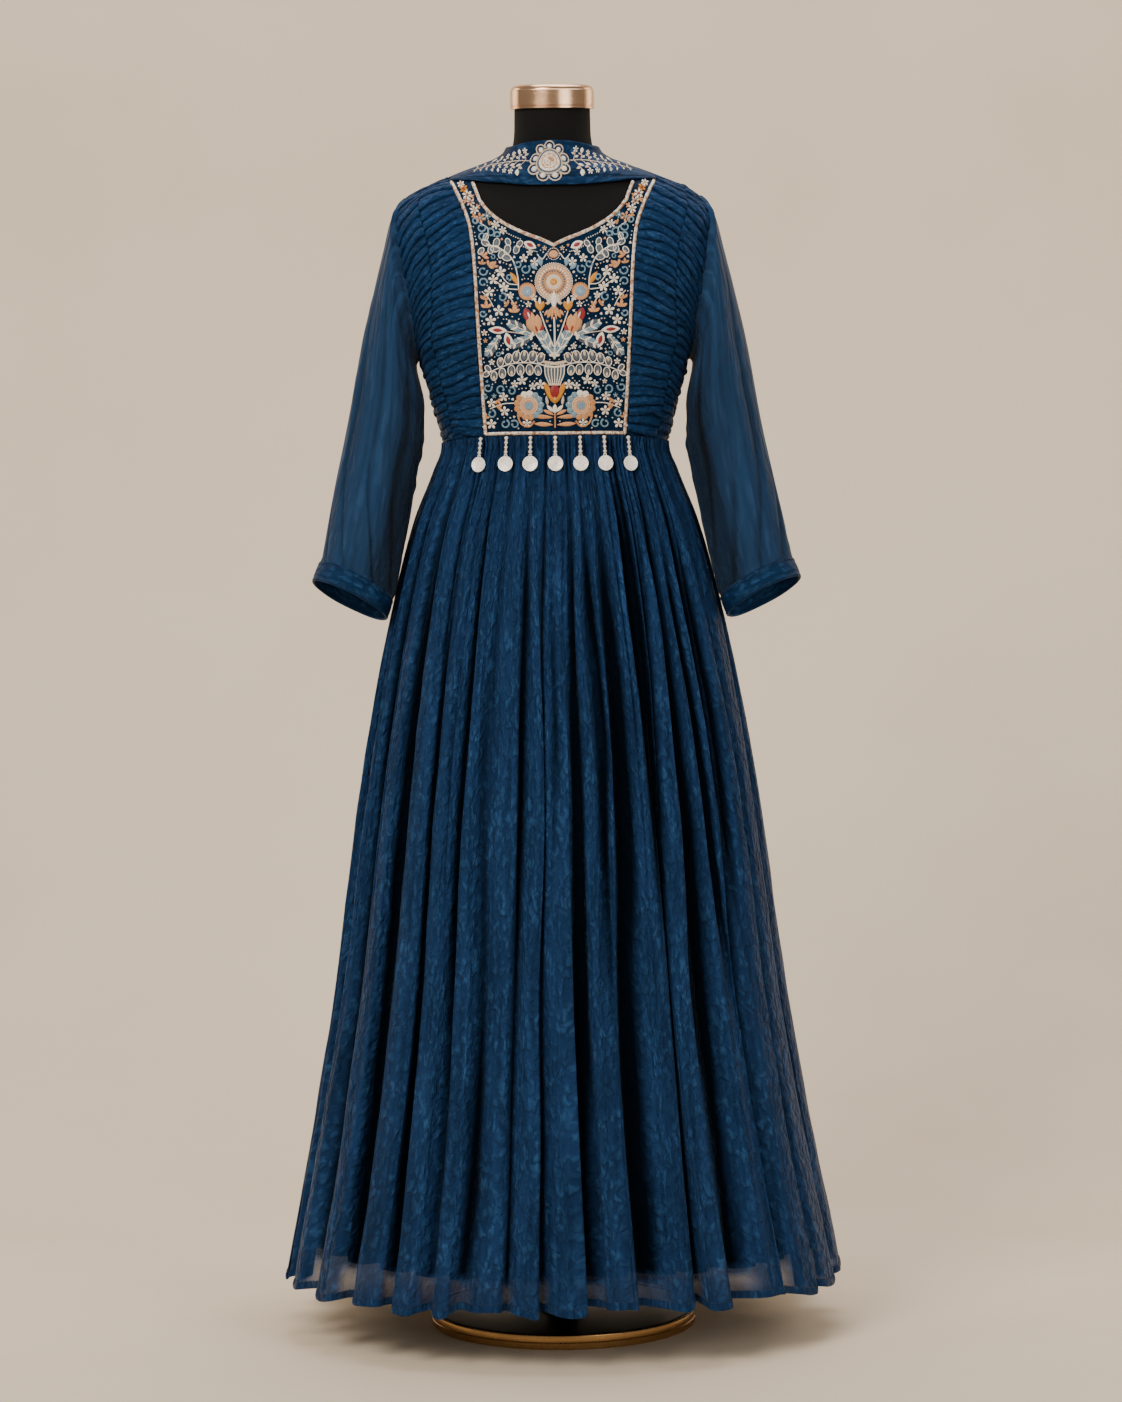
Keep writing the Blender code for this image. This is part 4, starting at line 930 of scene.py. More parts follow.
class Wander:
    """Smooth seeded unevenness over two numbers, between minus one and one."""

    def __init__(self, seed: int, size: int = 64) -> None:
        """Fill the grid that is read, from a seed, with so many cells before it repeats."""
        self.size = size
        self.grid = np.random.default_rng(seed).uniform(-1, 1, (size, size))

    def __call__(self, first: np.ndarray, second: np.ndarray | float = 0.0) -> np.ndarray:
        """Read the unevenness.

        Args:
            first: The first cell coordinate.
            second: The second one.

        Returns:
            The values there.
        """
        first, second = np.broadcast_arrays(np.asarray(first, float), np.asarray(second, float))
        low, side = np.floor(first).astype(int), np.floor(second).astype(int)
        u, v = first - low, second - side
        u, v = u * u * (3 - 2 * u), v * v * (3 - 2 * v)
        a, b = low % self.size, (low + 1) % self.size
        c, d = side % self.size, (side + 1) % self.size
        top = self.grid[a, c] * (1 - u) + self.grid[b, c] * u
        foot = self.grid[a, d] * (1 - u) + self.grid[b, d] * u
        return top * (1 - v) + foot * v


def keep_side(points: np.ndarray, front: bool) -> np.ndarray:
    """Hold points on their own side of the shoulder and side seams.

    Args:
        points: The points, changed in place.
        front: Whether they belong in front.

    Returns:
        The same points.
    """
    ahead, limit = (np.minimum, -SEAM / 2) if front else (np.maximum, SEAM / 2)
    points[..., 1] = ahead(points[..., 1], limit)
    return points


# ---- Needlework -----------------------------------------------------------------------


Spot = Callable[[np.ndarray, np.ndarray, np.ndarray], np.ndarray]
Thread = Floss | Finish


class Needlework:
    """Raised hand embroidery on one panel: each thread's stitches become one mesh.

    Motifs are laid in flat coordinates over the panel, in millimetres, and are
    carried onto the cloth at the end. What is laid off the middle can be mirrored.
    """

    # Sections of a bead and a cord: share of the radius across, share of it up
    BEAD: tuple[tuple[float, float], ...] = ((0.80, 0.2), (1.0, 0.85), (0.66, 1.65))
    CORD: tuple[tuple[float, float], ...] = (
        (-1.0, 0.0), (-0.75, 0.9), (0.0, 1.35), (0.75, 0.9), (1.0, 0.0))

    def __init__(self, spot: Spot) -> None:
        """Start with nothing stitched.

        Args:
            spot: Carries flat coordinates and a height to points on the cloth.
        """
        self.spot = spot
        self.parts: dict[Thread, list[tuple[np.ndarray, ...]]] = {}
        self.mirror = False

    def add(self, thread: Thread, flat: np.ndarray, height: np.ndarray, faces: np.ndarray,
            lengths: np.ndarray) -> None:
        """Keep one patch of stitches, and its mirror image when mirroring is on.

        Args:
            thread: The floss or bead that it is worked in.
            flat: Flat coordinates in millimetres.
            height: Height over the cloth in millimetres.
            faces: Point numbers of each face, anticlockwise from the front.
            lengths: Lengths along and across the stitches, in millimetres.
        """
        kept = self.parts.setdefault(thread, [])
        kept.append((flat, height, faces, lengths))
        if self.mirror:
            kept.append((flat * (-1.0, 1.0), height, faces[:, ::-1], lengths))

    def dome(self, thread: Thread, outline: np.ndarray, rise: float, turn: float = 0.0) -> None:
        """Fill a closed outline with stitches that swell to its middle.

        Args:
            thread: What it is worked in.
            outline: The outline, anticlockwise.
            rise: Height of its middle.
            turn: Direction that the stitches cross, in radians.
        """
        centre = outline.mean(axis=0)
        count = len(outline)
        rings = [centre + (outline - centre) * share for share in (1.0, 0.82, 0.45)]
        flat = np.concatenate(rings + [centre[None, :]])
        height = np.concatenate([np.full(count, 0.02), np.full(count, 0.66 * rise),
                                 np.full(count, 0.95 * rise), [rise]])
        step = np.arange(count)
        following = (step + 1) % count
        strip = np.stack([step, following, following + count, step + count], axis=1)
        faces = [strip, strip + count]
        fan = np.stack([step + 2 * count, following + 2 * count, np.full(count, 3 * count),
                        np.full(count, 3 * count)], axis=1)
        along = flat - centre
        cos, sin = math.cos(turn), math.sin(turn)
        lengths = np.stack([along @ (cos, sin), along @ (-sin, cos)], axis=1)
        self.add(thread, flat, height, np.concatenate(faces + [fan]), lengths)

    def leaf(self, thread: Thread, foot: Sequence[float], tip: Sequence[float], width: float,
             rise: float = 0.8, blunt: float = 1.0) -> None:
        """Work a leaf or petal from its foot to its tip.

        Args:
            thread: What it is worked in.
            foot: Where it starts.
            tip: Where it ends.
            width: Its greatest width.
            rise: Height of its middle.
            blunt: Above one for a petal that is widest near its tip.
        """
        foot, tip = np.asarray(foot, float), np.asarray(tip, float)
        along = tip - foot
        across = left_of(along) / max(np.linalg.norm(along), 0.01)
        part = np.linspace(0.0, 1.0, 7)
        swell = np.sin(math.pi * part ** blunt) ** 0.8 * width / 2
        left = foot + along * part[:, None] + across * swell[:, None]
        right = foot + along * part[:, None] - across * swell[:, None]
        outline = np.concatenate([right, left[-2:0:-1]])
        self.dome(thread, outline, rise, math.atan2(along[1], along[0]))

    def disc(self, thread: Thread, centre: Sequence[float], radius: float, rise: float = 0.8,
             sides: int = 12, tall: float = 1.0) -> None:
        """Work a round spot, or an oval one that is so many times as tall as wide."""
        turns = np.linspace(0, math.tau, sides, endpoint=False)
        self.dome(thread, rays(turns) * (1.0, tall) * radius + centre, rise)

    def pearl(self, centre: Sequence[float], radius: float, thread: Thread = GLASS_PEARL) -> None:
        """Sew one round bead down.

        Args:
            centre: Where it lies.
            radius: Half its width.
            thread: What the bead is.
        """
        ring = rays(np.linspace(0, math.tau, 7, endpoint=False))
        flat = np.concatenate([ring * radius * wide + centre for wide, _ in self.BEAD]
                              + [np.asarray(centre, float)[None, :]])
        height = np.repeat([up * radius for _, up in self.BEAD] + [1.9 * radius], (7, 7, 7, 1))
        here = np.arange(14)
        following = (here % 7 + 1) % 7 + here // 7 * 7
        walls = np.stack([here, following, following + 7, here + 7], axis=1)
        here = np.arange(7) + 14
        top = np.stack([here, (here - 13) % 7 + 14, np.full(7, 21), np.full(7, 21)], axis=1)
        self.add(thread, flat, height, np.concatenate([walls, top]), flat)

    def cord(self, thread: Thread, path: np.ndarray, radius: float, taper: float = 1.0) -> None:
        """Couch a round cord along a line.

        Args:
            thread: What the cord is.
            path: The line's points.
            radius: Half the cord's width.
            taper: The share of that radius left at its far end.
        """
        path = np.asarray(path, float)
        across = left_of(unit(np.gradient(path, axis=0)))
        wide = radius * np.linspace(1.0, taper, len(path))
        flat = np.concatenate([path + across * (side * wide)[:, None] for side, _ in self.CORD])
        height = np.concatenate([up * wide for _, up in self.CORD])
        lengths = np.stack([np.tile(run_length(path), 5),
                            np.repeat(np.arange(5) * radius * 0.4, len(path))], axis=1)
        self.add(thread, flat, height, grid_faces(5, len(path))[:, ::-1], lengths)

    def curve(self, *points: Sequence[float], steps: int = 8) -> np.ndarray:
        """A smooth line through flat points.

        Args:
            points: The points it passes.
            steps: Steps between two of them.

        Returns:
            The line's points.
        """
        knots = np.asarray(points, float)
        ends = np.concatenate([[2 * knots[0] - knots[1]], knots, [2 * knots[-1] - knots[-2]]])
        line = []
        for a, b, c, d in zip(ends[:-3], ends[1:-2], ends[2:-1], ends[3:]):
            t = np.linspace(0, 1, steps, endpoint=False)[:, None]
            line.append(0.5 * (2 * b + (c - a) * t + (2 * a - 5 * b + 4 * c - d) * t ** 2
                               + (3 * b - a - 3 * c + d) * t ** 3))
        return np.concatenate(line + [knots[-1:]])

    def vine(self, thread: Thread, radius: float, *points: Sequence[float],
             steps: int = 8) -> None:
        """Couch a round cord along a smooth line through flat points."""
        self.cord(thread, self.curve(*points, steps=steps), radius)

    def string(self, path: np.ndarray, pitch: float, radius: float,
               thread: Thread = GLASS_PEARL) -> None:
        """Sew beads or dots along a line.

        Args:
            path: The line.
            pitch: From one bead to the next.
            radius: Half a bead's width.
            thread: What the beads are.
        """
        length = run_length(path)
        for along in np.arange(pitch / 2, length[-1], pitch):
            spot = [np.interp(along, length, path[:, axis]) for axis in (0, 1)]
            self.pearl(spot, radius, thread)

    def blossom(self, centre: Sequence[float], radius: float, thread: Floss = CREAM,
                eye: Floss = BEIGE, petals: int = 5, turn: float = 0.3) -> None:
        """Work a small flower of rounded petals with an eye.

        Args:
            centre: Its middle.
            radius: From its middle to its petals' tips.
            thread: The petals' floss.
            eye: The middle's floss.
            petals: How many.
            turn: Direction of the first petal.
        """
        centre = np.asarray(centre, float)
        for index in range(petals):
            ray = rays(turn + math.tau * index / petals)
            wide = radius * 2.5 / petals * 1.05
            self.leaf(thread, centre + ray * radius * 0.12, centre + ray * radius, wide, 0.9, 1.35)
        self.disc(eye, centre, radius * 0.26, 1.4, 8)

    def scroll(self, centre: Sequence[float], radius: float, turn: float,
               thread: Floss = BLUE_GREY, wide: float = 1.15, hand: int = 1) -> None:
        """Couch a small C-shaped scroll that curls in at both ends.

        Args:
            centre: Its middle.
            radius: Its reach.
            turn: Where its opening faces.
            thread: Its floss.
            wide: Half its cord's width.
            hand: One or minus one for the way that it curls.
        """
        part = np.linspace(0.0, 1.0, 22)
        angle = turn + hand * (0.55 + part * 5.2)
        reach = radius * (1.0 - 0.42 * part ** 1.5)
        path = rays(angle) * reach[:, None] + centre
        self.cord(thread, path, wide, 0.7)
        self.disc(thread, path[-1], wide * 1.35, wide * 1.4, 8)
        self.disc(thread, path[0], wide * 1.2, wide * 1.3, 8)

    def sprig(self, thread: Floss, foot: Sequence[float], turn: float, size: float,
              count: int = 3) -> None:
        """Work a spray of small leaves fanned out from one foot.

        Args:
            thread: Their floss.
            foot: Where they start.
            turn: The direction that they are fanned about.
            size: Their length.
            count: How many.
        """
        foot = np.asarray(foot, float)
        for index in range(count):
            angle = turn + (index - (count - 1) / 2) * 1.0
            long = size * (1.0 if abs(index - (count - 1) / 2) < 0.6 else 0.85)
            tip = foot + rays(angle) * long
            self.leaf(thread, foot, tip, size * 0.42, 0.9, 1.2)

    def edged(self, thread: Floss, rim: Floss, foot: Sequence[float], tip: Sequence[float],
              width: float) -> None:
        """Work a petal with a paler rim round it.

        Args:
            thread: The petal's floss.
            rim: The rim's floss.
            foot: Where it starts.
            tip: Where it ends.
            width: Its greatest width.
        """
        foot, tip = np.asarray(foot, float), np.asarray(tip, float)
        inset = (tip - foot) * 0.18
        self.leaf(rim, foot, tip, width, 0.6)
        self.leaf(thread, foot + inset, tip - inset, width * 0.58, 1.25)

    def feather(self, foot: Sequence[float], tip: Sequence[float], width: float,
                thread: Floss = BLUE_GREY, vein: Floss = CREAM,
                under: Floss | None = None) -> None:
        """Work a serrated leaf: slanting barbs on both sides of a pale vein.

        Args:
            foot: Where it starts.
            tip: Where it ends.
            width: Its greatest width.
            thread: The barbs' floss.
            vein: The vein's floss.
            under: The second side's floss where it is a darker one.
        """
        foot, tip = np.asarray(foot, float), np.asarray(tip, float)
        along = tip - foot
        length = float(np.linalg.norm(along))
        along /= length
        across = left_of(along)
        barbs = max(5, int(length / 3.3))
        for side in (-1, 1):
            worked = under if under is not None and side < 0 else thread
            for index in range(barbs):
                part = (index + 0.3) / barbs
                start = foot + along * length * part
                reach = width * 0.62 * math.sin(math.pi * (0.12 + 0.80 * part)) ** 0.8
                end = start + along * reach * 0.95 + across * side * reach * 0.85
                self.leaf(worked if index % 3 else vein, start, end, length / barbs * 0.86, 0.8,
                          1.1)
        self.cord(vein, np.stack([foot, foot + along * length * 0.5, tip]), 0.7, 0.6)

    def looped(self, centre: Sequence[float], turn: float, size: float,
               inside: Floss = SLATE) -> None:
        """Work a looped leaf: an outlined drop with a darker inside.

        Args:
            centre: Its foot.
            turn: Its direction.
            size: Its length.
            inside: The inside's floss.
        """
        centre, ray, part = np.asarray(centre, float), rays(turn), np.linspace(0, math.tau, 15)
        path = (centre + np.outer((1 - np.cos(part)) * 0.5 * size, ray)
                + np.outer(np.sin(part) * size * 0.34, left_of(ray)))
        self.leaf(inside, centre + ray * size * 0.1, centre + ray * size * 0.9, size * 0.5, 0.4)
        self.cord(CREAM, path, 0.62)

    def pieces(self, name: str) -> list[bpy.types.Object]:
        """Carry every stitch onto the cloth and make one piece for each thread.

        Args:
            name: What the pieces' names start with.

        Returns:
            The dressed pieces.
        """
        made = []
        for thread in self.parts:
            finish = thread.value if isinstance(thread, Floss) else thread
            item = self.mesh(thread, "%s_%s" % (name, finish.name))
            made.append(dress(item, finish, DRESS, "zari"))
        return made

    def mesh(self, thread: Thread, name: str) -> bpy.types.Object:
        """Carry one thread's stitches onto the cloth as one mesh.

        Args:
            thread: Which one.
            name: The mesh's name.

        Returns:
            The object, not dressed yet.
        """
        flat, height, _, lengths = (np.concatenate(kept) * MM for kept in zip(*self.parts[thread]))
        faces, first = [], 0
        for patch in self.parts[thread]:
            faces += [list(dict.fromkeys(face.tolist())) for face in patch[2] + first]
            first += len(patch[0])
        return link_mesh(name, self.spot(flat[:, 0], flat[:, 1], height), faces, lengths)


# ---- Bodice ---------------------------------------------------------------------------


@dataclass
class Seams:
    """The bodice's panel edges on the worn surface, shared by every panel."""

    body: WornBody
    # Yoke's side edge: height, distance from the middle
    yoke_edge: tuple[tuple[float, float], ...] = (
        (1.110, 0.0875), (1.163, 0.0905), (1.225, 0.0940), (1.284, 0.0970), (1.340, 0.1000),
        (1.381, 0.1045), (1.414, 0.1155), (1.4437, 0.1300), (1.456, 0.1360),
    )
    # Neckline of the yoke up to its strap: distance from the middle, height
    neckline: tuple[tuple[float, float], ...] = (
        (0.000, 1.3625), (0.014, 1.3690), (0.036, 1.3775), (0.060, 1.3895), (0.078, 1.4035),
        (0.0885, 1.4165),
    )

    def __post_init__(self) -> None:
        """Turn the tables into curves."""
        self.yoke_half = columns(self.yoke_edge)[0]
        shares = [x / float(self.yoke_half(z) - SEAM) for x, z in self.neckline]
        self.strap_share = shares[-1]
        self.neck_top = Profile(shares, [z for _, z in self.neckline])

    def yoke_foot(self, share: float) -> float:
        """The height of the waist seam under a share of the yoke's width."""
        angle = self.body.angle_at(WAIST_FRONT_Z, share * self.yoke_half(WAIST_FRONT_Z))
        return float(self.body.waist_height(angle)) + SEAM / 2

    def strap_top(self, share: float) -> float:
        """The height at which a line up the yoke reaches the shoulder seam.

        Args:
            share: The line's share of the yoke's half width.

        Returns:
            The height.
        """
        x = share * STRAP_OUTER_X
        for _ in range(8):
            x = share * (self.yoke_half(self.body.shoulder_height(x)) - SEAM)
        return float(self.body.shoulder_height(x))


@dataclass
class RuchedPanels:
    """Two side fronts and a back of organza drawn up into sideways folds."""

    body: WornBody
    seams: Seams
    folds: int = 30              # on each panel, from waist to shoulder
    droop: float = 0.06          # how far they sag at the side, as a share of the panel
    rows: int = 280
    columns_front: int = 56
    columns_back: int = 116
    low: float = -1.5 * MM
    high: float = 2.4 * MM
    wall: float = 0.6 * MM
    front_cut: tuple[float, float] = (0.155, 0.37)
    back_cut: tuple[float, float] = (0.44, 0.47)
    # Half of the back neck: distance from the middle, height; the shoulder starts after it
    back_neck: tuple[tuple[float, float], ...] = (
        (0.000, 1.4630), (0.024, 1.4643), (0.043, 1.4668), (0.0555, 1.4692))
    back_shoulder: float = 0.061

    def build(self) -> None:
        """Make the three panels and their princess seams."""
        for side, name in ((1, "side_front_left"), (-1, "side_front_right")):
            self.side_front(side, name)
        self.back()

    def ruche(self, share: np.ndarray, across: np.ndarray, seed: int,
              pinches: Sequence[float]) -> tuple[np.ndarray, np.ndarray]:
        """Height and overlap of the folds over a panel.

        Args:
            share: Share of the way up the panel.
            across: Share of the way across it.
            seed: Makes each panel different.
            pinches: Where seams that hold the folds run, as shares across.

        Returns:
            The cloth's height over the worn surface, and its share of painted shade: how deep in a
            fold it lies, and just under each fold.
        """
        drift, size, break_up = Wander(seed), Wander(seed + 1), Wander(seed + 2)
        phase = share * self.folds + 0.52 * drift(share * 9, across * 2.8)
        phase = phase + 0.15 * drift(share * 37 + 9, across * 7)
        for index, pinch in enumerate(pinches):
            phase = phase + 0.45 * (index + 1) * smooth_step(across, pinch - 0.012, pinch + 0.012)
        fold = np.floor(phase)
        part = phase - fold
        strength = 0.78 + 0.42 * size(fold * 1.37, across * 3.4) + 0.22 * break_up(fold, across * 9)
        wave = np.sin(math.pi * part ** 0.80) ** 0.42
        for pinch in pinches:
            near = np.exp(-((across - pinch) / 0.012) ** 2)
            wave = wave * (1 - 0.40 * near)
        ends = smooth_step(share, 0.0, 0.012) * smooth_step(1 - share, 0.0, 0.010)
        height = np.clip(wave * strength * (0.2 + 0.8 * ends), 0, 1.25)
        height = self.low + (self.high - self.low) * height
        height = height + 0.20 * MM * break_up(share * 95, across * 12) * ends
        # Painted shade: deep in each fold and just under it the colour is painted darker.
        deep = np.clip(1.25 - wave * 1.6, 0, 1) ** 0.9 * np.clip(0.30 + strength * 0.8, 0, 1)
        under = 0.28 * np.clip(1 - part * 2.6, 0, 1)
        return height, np.clip(1.1 * deep + under, 0, 0.96)

    def side_front(self, side: int, name: str) -> None:
        """Make one side front, from the yoke's edge to the armhole and the side seam.

        Args:
            side: One for the wearer's left, minus one for the right.
            name: The solid that it replaces.
        """
        body, gap = self.body, SEAM / 2
        near = float(body.angle_at(WAIST_FRONT_Z, self.seams.yoke_half(WAIST_FRONT_Z)))
        foot = float(body.waist_height(near)) + gap
        top = float(body.shoulder_height(STRAP_OUTER_X))
        z = foot + (top - foot) * (1 - (1 - np.linspace(0, 1, 400)) ** 2)
        inner = (z, body.angle_at(z, self.seams.yoke_half(z) + gap))
        z = np.linspace(float(body.waist_height(QUARTER)) + gap, SHOULDER_TIP_Z, 400)
        outer = (z, body.edge_angle(z))
        share = np.linspace(0, 1, self.rows + 1)
        sagged = share - self.droop * np.sin(math.pi * share)
        start = even_path(body.place(*inner, 0.0), share)
        end = even_path(body.place(*outer, 0.0), sagged)
        across = np.linspace(0, 1, self.columns_front + 1)[None, :]
        z0, a0 = (read_at(values, start)[:, None] for values in inner)
        z1, a1 = (read_at(values, end)[:, None] for values in outer)
        angle = a0 + (a1 - a0) * across
        z = z0 + (z1 - z0) * across ** 1.3
        near_foot = 1 - smooth_step(share[:, None], 0.0, 0.035)
        z = z + (body.waist_height(angle) + gap - z[0]) * near_foot
        height, painted_shade_and_sheer = self.ruche(share[:, None], across, 11 if side > 0 else 31, (0.47,))
        grid = keep_side(body.place(z, side * angle, height), True)
        if side < 0:
            grid, painted_shade_and_sheer = grid[:, ::-1], painted_shade_and_sheer[:, ::-1]
        item = grid_object(name + "_ruched", grid, row=self.rows // 2, shade=painted_shade_and_sheer)
        self.finish(item, name, self.front_cut)

    def back(self) -> None:
        """Make the back panel, up to the round neck and the shoulder seams."""
        body = self.body
        tip_x = float(body.half(SHOULDER_TIP_Z))
        shoulder = [self.back_shoulder + (tip_x - self.back_shoulder) * share
                    for share in (0.0, 0.28, 0.56, 0.82)]
        tops = [*self.back_neck, *((x, float(body.shoulder_height(x))) for x in shoulder),
                (tip_x, SHOULDER_TIP_Z)]
        places = np.linspace(0, 1, len(tops))
        share = np.linspace(0, 1, self.rows + 1)
        lines, half = [], self.columns_back // 2
        for part in np.linspace(0, 1, half + 1):
            top_x = float(np.interp(part, places, [x for x, _ in tops]))
            top_z = float(np.interp(part, places, [z for _, z in tops]))
            if part >= places[4]:
                top_z = min(float(body.shoulder_height(top_x)), top_z + 0.02)
            foot = float(body.waist_height(QUARTER * part)) + SEAM / 2
            z = foot + (top_z - foot) * (1 - (1 - np.linspace(0, 1, 400)) ** 2)
            rise = (z - foot) / (top_z - foot)
            low_x = body.half(z) * np.abs(np.sin(part * body.edge_angle(z))) ** (2 / body.square(z))
            edge_x = body.half(z) * np.sin(body.edge_angle(z)) ** (2 / body.square(z))
            edge_x = np.where(z < SHOULDER_TIP_Z, edge_x, tip_x)
            high_x = top_x / (edge_x[-1] if top_z < SHOULDER_TIP_Z else tip_x) * edge_x
            blend = rise * rise * (3 - 2 * rise)
            angle = math.pi - body.angle_at(z, low_x + (high_x - low_x) * blend)
            index = even_path(body.place(z, angle, 0.0), share)
            lines.append((read_at(z, index), read_at(angle, index)))
        z = np.array([line[0] for line in lines]).T
        angle = np.array([line[1] for line in lines]).T
        z = np.concatenate([z[:, :0:-1], z], axis=1)
        angle = np.concatenate([math.tau - angle[:, :0:-1], angle], axis=1)
        across = np.abs(np.linspace(-1, 1, z.shape[1]))[None, :] * 0.5
        wide = np.linspace(0, 1, z.shape[1])[None, :]
        sag = share[:, None] - 0.02 * np.sin(math.pi * share[:, None]) * (across * 2) ** 2
        height, painted_shade_and_sheer = self.ruche(sag, wide * 2.0, 51, (0.52, 1.48))
        grid = keep_side(body.place(z, angle, height), False)
        item = grid_object("bodice_back_ruched", grid, row=self.rows // 2, shade=painted_shade_and_sheer)
        self.finish(item, "bodice_back", self.back_cut)

    def finish(self, item: bpy.types.Object, node: str, cut: tuple[float, float]) -> None:
        """Turn a panel the right way out, give it a wall and its organza.

        Args:
            item: The panel.
            node: The solid that it replaces.
            cut: Its flat size; not used.
        """
        turn_out(item)
        thicken(item, self.wall)
        dress(item, RUCHED_ORGANZA, DRESS, "outer_cloth", node)


@dataclass
class Yoke:
    """The embroidered front yoke with its V neck, two straps and zari borders."""

    body: WornBody
    seams: Seams
    columns: int = 110
    rows: int = 60
    strap_columns: int = 22
    strap_rows: int = 30
    wall: float = 0.9 * MM
    border_width: float = 4.2     # mm
    border_pitch: float = 2.3     # mm, one twist of the zari
    # The flat ribbon's section: share of its half width, height in millimetres
    ribbon: tuple[tuple[float, float], ...] = (
        (-1.0, 0.1), (-0.9, 0.55), (0.0, 0.65), (0.9, 0.55), (1.0, 0.1))
    foot: float = 1133.0          # mm, the lowest and highest that motifs may be sown
    top: float = 1437.0
    # Sown motifs, the largest first: half their width in millimetres, how often they are tried
    sown: tuple[tuple[float, int], ...] = ((4.2, 1500), (3.2, 2200), (2.3, 2600), (1.5, 2600))
    cut: tuple[float, float] = (0.268, 0.330)

    def __post_init__(self) -> None:
        """Start the panel's needlework."""
        self.work = Needlework(self.spot)
        self.lines = self.border_lines()
        self.neck_line = self.lines[0][len(self.lines[0]) // 2:]

    def spot(self, x: np.ndarray, z: np.ndarray, height: np.ndarray) -> np.ndarray:
        """Points over the yoke's cloth at flat places and heights."""
        return self.body.place(z, self.body.angle_at(z, x), PLAIN_OUT + 0.1 * MM + height)

    def build(self) -> None:
        """Make the ground, the borders and the embroidery."""
        self.ground()
        self.borders()
        self.embroider()
        self.work.pieces("yoke")

    def line(self, share: float, low: float, top: float, steps: int) -> np.ndarray:
        """Points up the yoke at a constant share of its width.

        Args:
            share: The share of its half width.
            low: Height of the first point.
            top: Height of the last.
            steps: Steps between them.

        Returns:
            The points.
        """
        z = np.linspace(low, top, steps + 1)
        x = share * (self.seams.yoke_half(z) - SEAM)
        return self.body.place(z, self.body.angle_at(z, x), PLAIN_OUT)

    def ground(self) -> None:
        """Make the mounted cloth that carries the embroidery."""
        seams = self.seams
        shares = np.linspace(-1, 1, self.columns + 1)
        edge = int(np.searchsorted(shares, seams.strap_share))
        shares[edge], shares[self.columns - edge] = seams.strap_share, -seams.strap_share
        panel = np.stack([self.line(share, seams.yoke_foot(abs(share)),
                                    float(seams.neck_top(abs(share))), self.rows)
                          for share in shares], axis=1)
        points = [panel.reshape(-1, 3)]
        faces = [grid_faces(*panel.shape[:2])]
        lengths = [cloth_lengths(panel, 0)]
        first = len(points[0])
        low = seams.neckline[-1][1]
        for side in (1, -1):
            across = np.linspace(seams.strap_share, 1, self.strap_columns + 1)[::side] * side
            strap = np.stack([self.line(share, low, seams.strap_top(abs(share)), self.strap_rows)
                              for share in across], axis=1)
            strap = keep_side(strap, True)
            points.append(strap.reshape(-1, 3))
            faces.append(grid_faces(*strap.shape[:2], first=first))
            lengths.append(cloth_lengths(strap, 0) + (0.1 * side, 0.33))
            first += len(points[-1])
        item = link_mesh("yoke_front_ground", np.concatenate(points), np.concatenate(faces),
                         np.concatenate(lengths))
        turn_out(item)
        thicken(item, self.wall)
        dress(item, GROUND_ORGANZA, DRESS, "outer_cloth", "yoke_front")

    def border_lines(self) -> list[np.ndarray]:
        """Lay out the borders' middle lines.

        Returns:
            The neckline's and the yoke's, flat and in millimetres.
        """
        seams, inset = self.seams, self.border_width / 2 * MM
        shares = np.linspace(0, seams.strap_share, 60)
        z = seams.neck_top(shares)
        x = shares * (seams.yoke_half(z) - SEAM)
        high = np.linspace(seams.neckline[-1][1], 1.4385, 30)[1:]
        z = np.concatenate([z, high])
        x = np.concatenate([x, seams.strap_share * (seams.yoke_half(high) - SEAM)])
        line = np.stack([x, z], axis=1)
        slope = unit(np.gradient(line, axis=0))
        inner = line - left_of(slope) * inset
        inner[0] = (0.0, line[0, 1] - inset * 1.5)
        inner[1:4, 0] = np.maximum(inner[1:4, 0], 0.0015)
        neck = np.concatenate([inner[:0:-1] * (-1, 1), inner])
        z = np.linspace(seams.yoke_foot(1.0) + inset, 1.4395, 90)
        side = np.stack([seams.yoke_half(z) - SEAM - inset, z], axis=1)
        shares = np.linspace(0, side[0, 0] / seams.yoke_half(WAIST_FRONT_Z), 50)[:-1]
        foot = np.stack([shares * seams.yoke_half(WAIST_FRONT_Z),
                         [seams.yoke_foot(share) + inset for share in shares]], axis=1)
        half = np.concatenate([foot, side])
        outer = np.concatenate([half[:0:-1] * (-1, 1), half])
        return [neck * 1000, outer * 1000]

    def borders(self) -> None:
        """Lay the two zari borders: a flat ribbon with a twisted cord couched over it."""
        for (name, node), line in zip((("neck_zari", "neck_border"), ("yoke_zari", "yoke_border")),
                                      self.lines):
            work = Needlework(self.spot)
            half = self.border_width / 2
            slope = unit(np.gradient(line, axis=0))
            across = left_of(slope)
            flat = np.concatenate([line + across * (side * half) for side, _ in self.ribbon])
            height = np.repeat([up for _, up in self.ribbon], len(line))
            work.add(BORDER_ZARI, flat, height, grid_faces(5, len(line))[:, ::-1], flat)
            length = run_length(line)
            for index, along in enumerate(np.arange(0.6, length[-1] - 0.5, self.border_pitch)):
                middle = np.array([np.interp(along, length, line[:, axis]) for axis in (0, 1)])
                ray = unit(np.array([np.interp(along, length, slope[:, axis]) for axis in (0, 1)]))
                lean = left_of(ray) * half * 0.96 + ray * self.border_pitch * 0.55
                work.leaf(BORDER_ZARI, middle - lean, middle + lean, self.border_pitch * 1.25, 1.7)
                if index % 3 == 0:
                    work.pearl(middle + ray * self.border_pitch * 0.5, 0.75)
            item = work.pieces(name)[0]
            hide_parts(node)

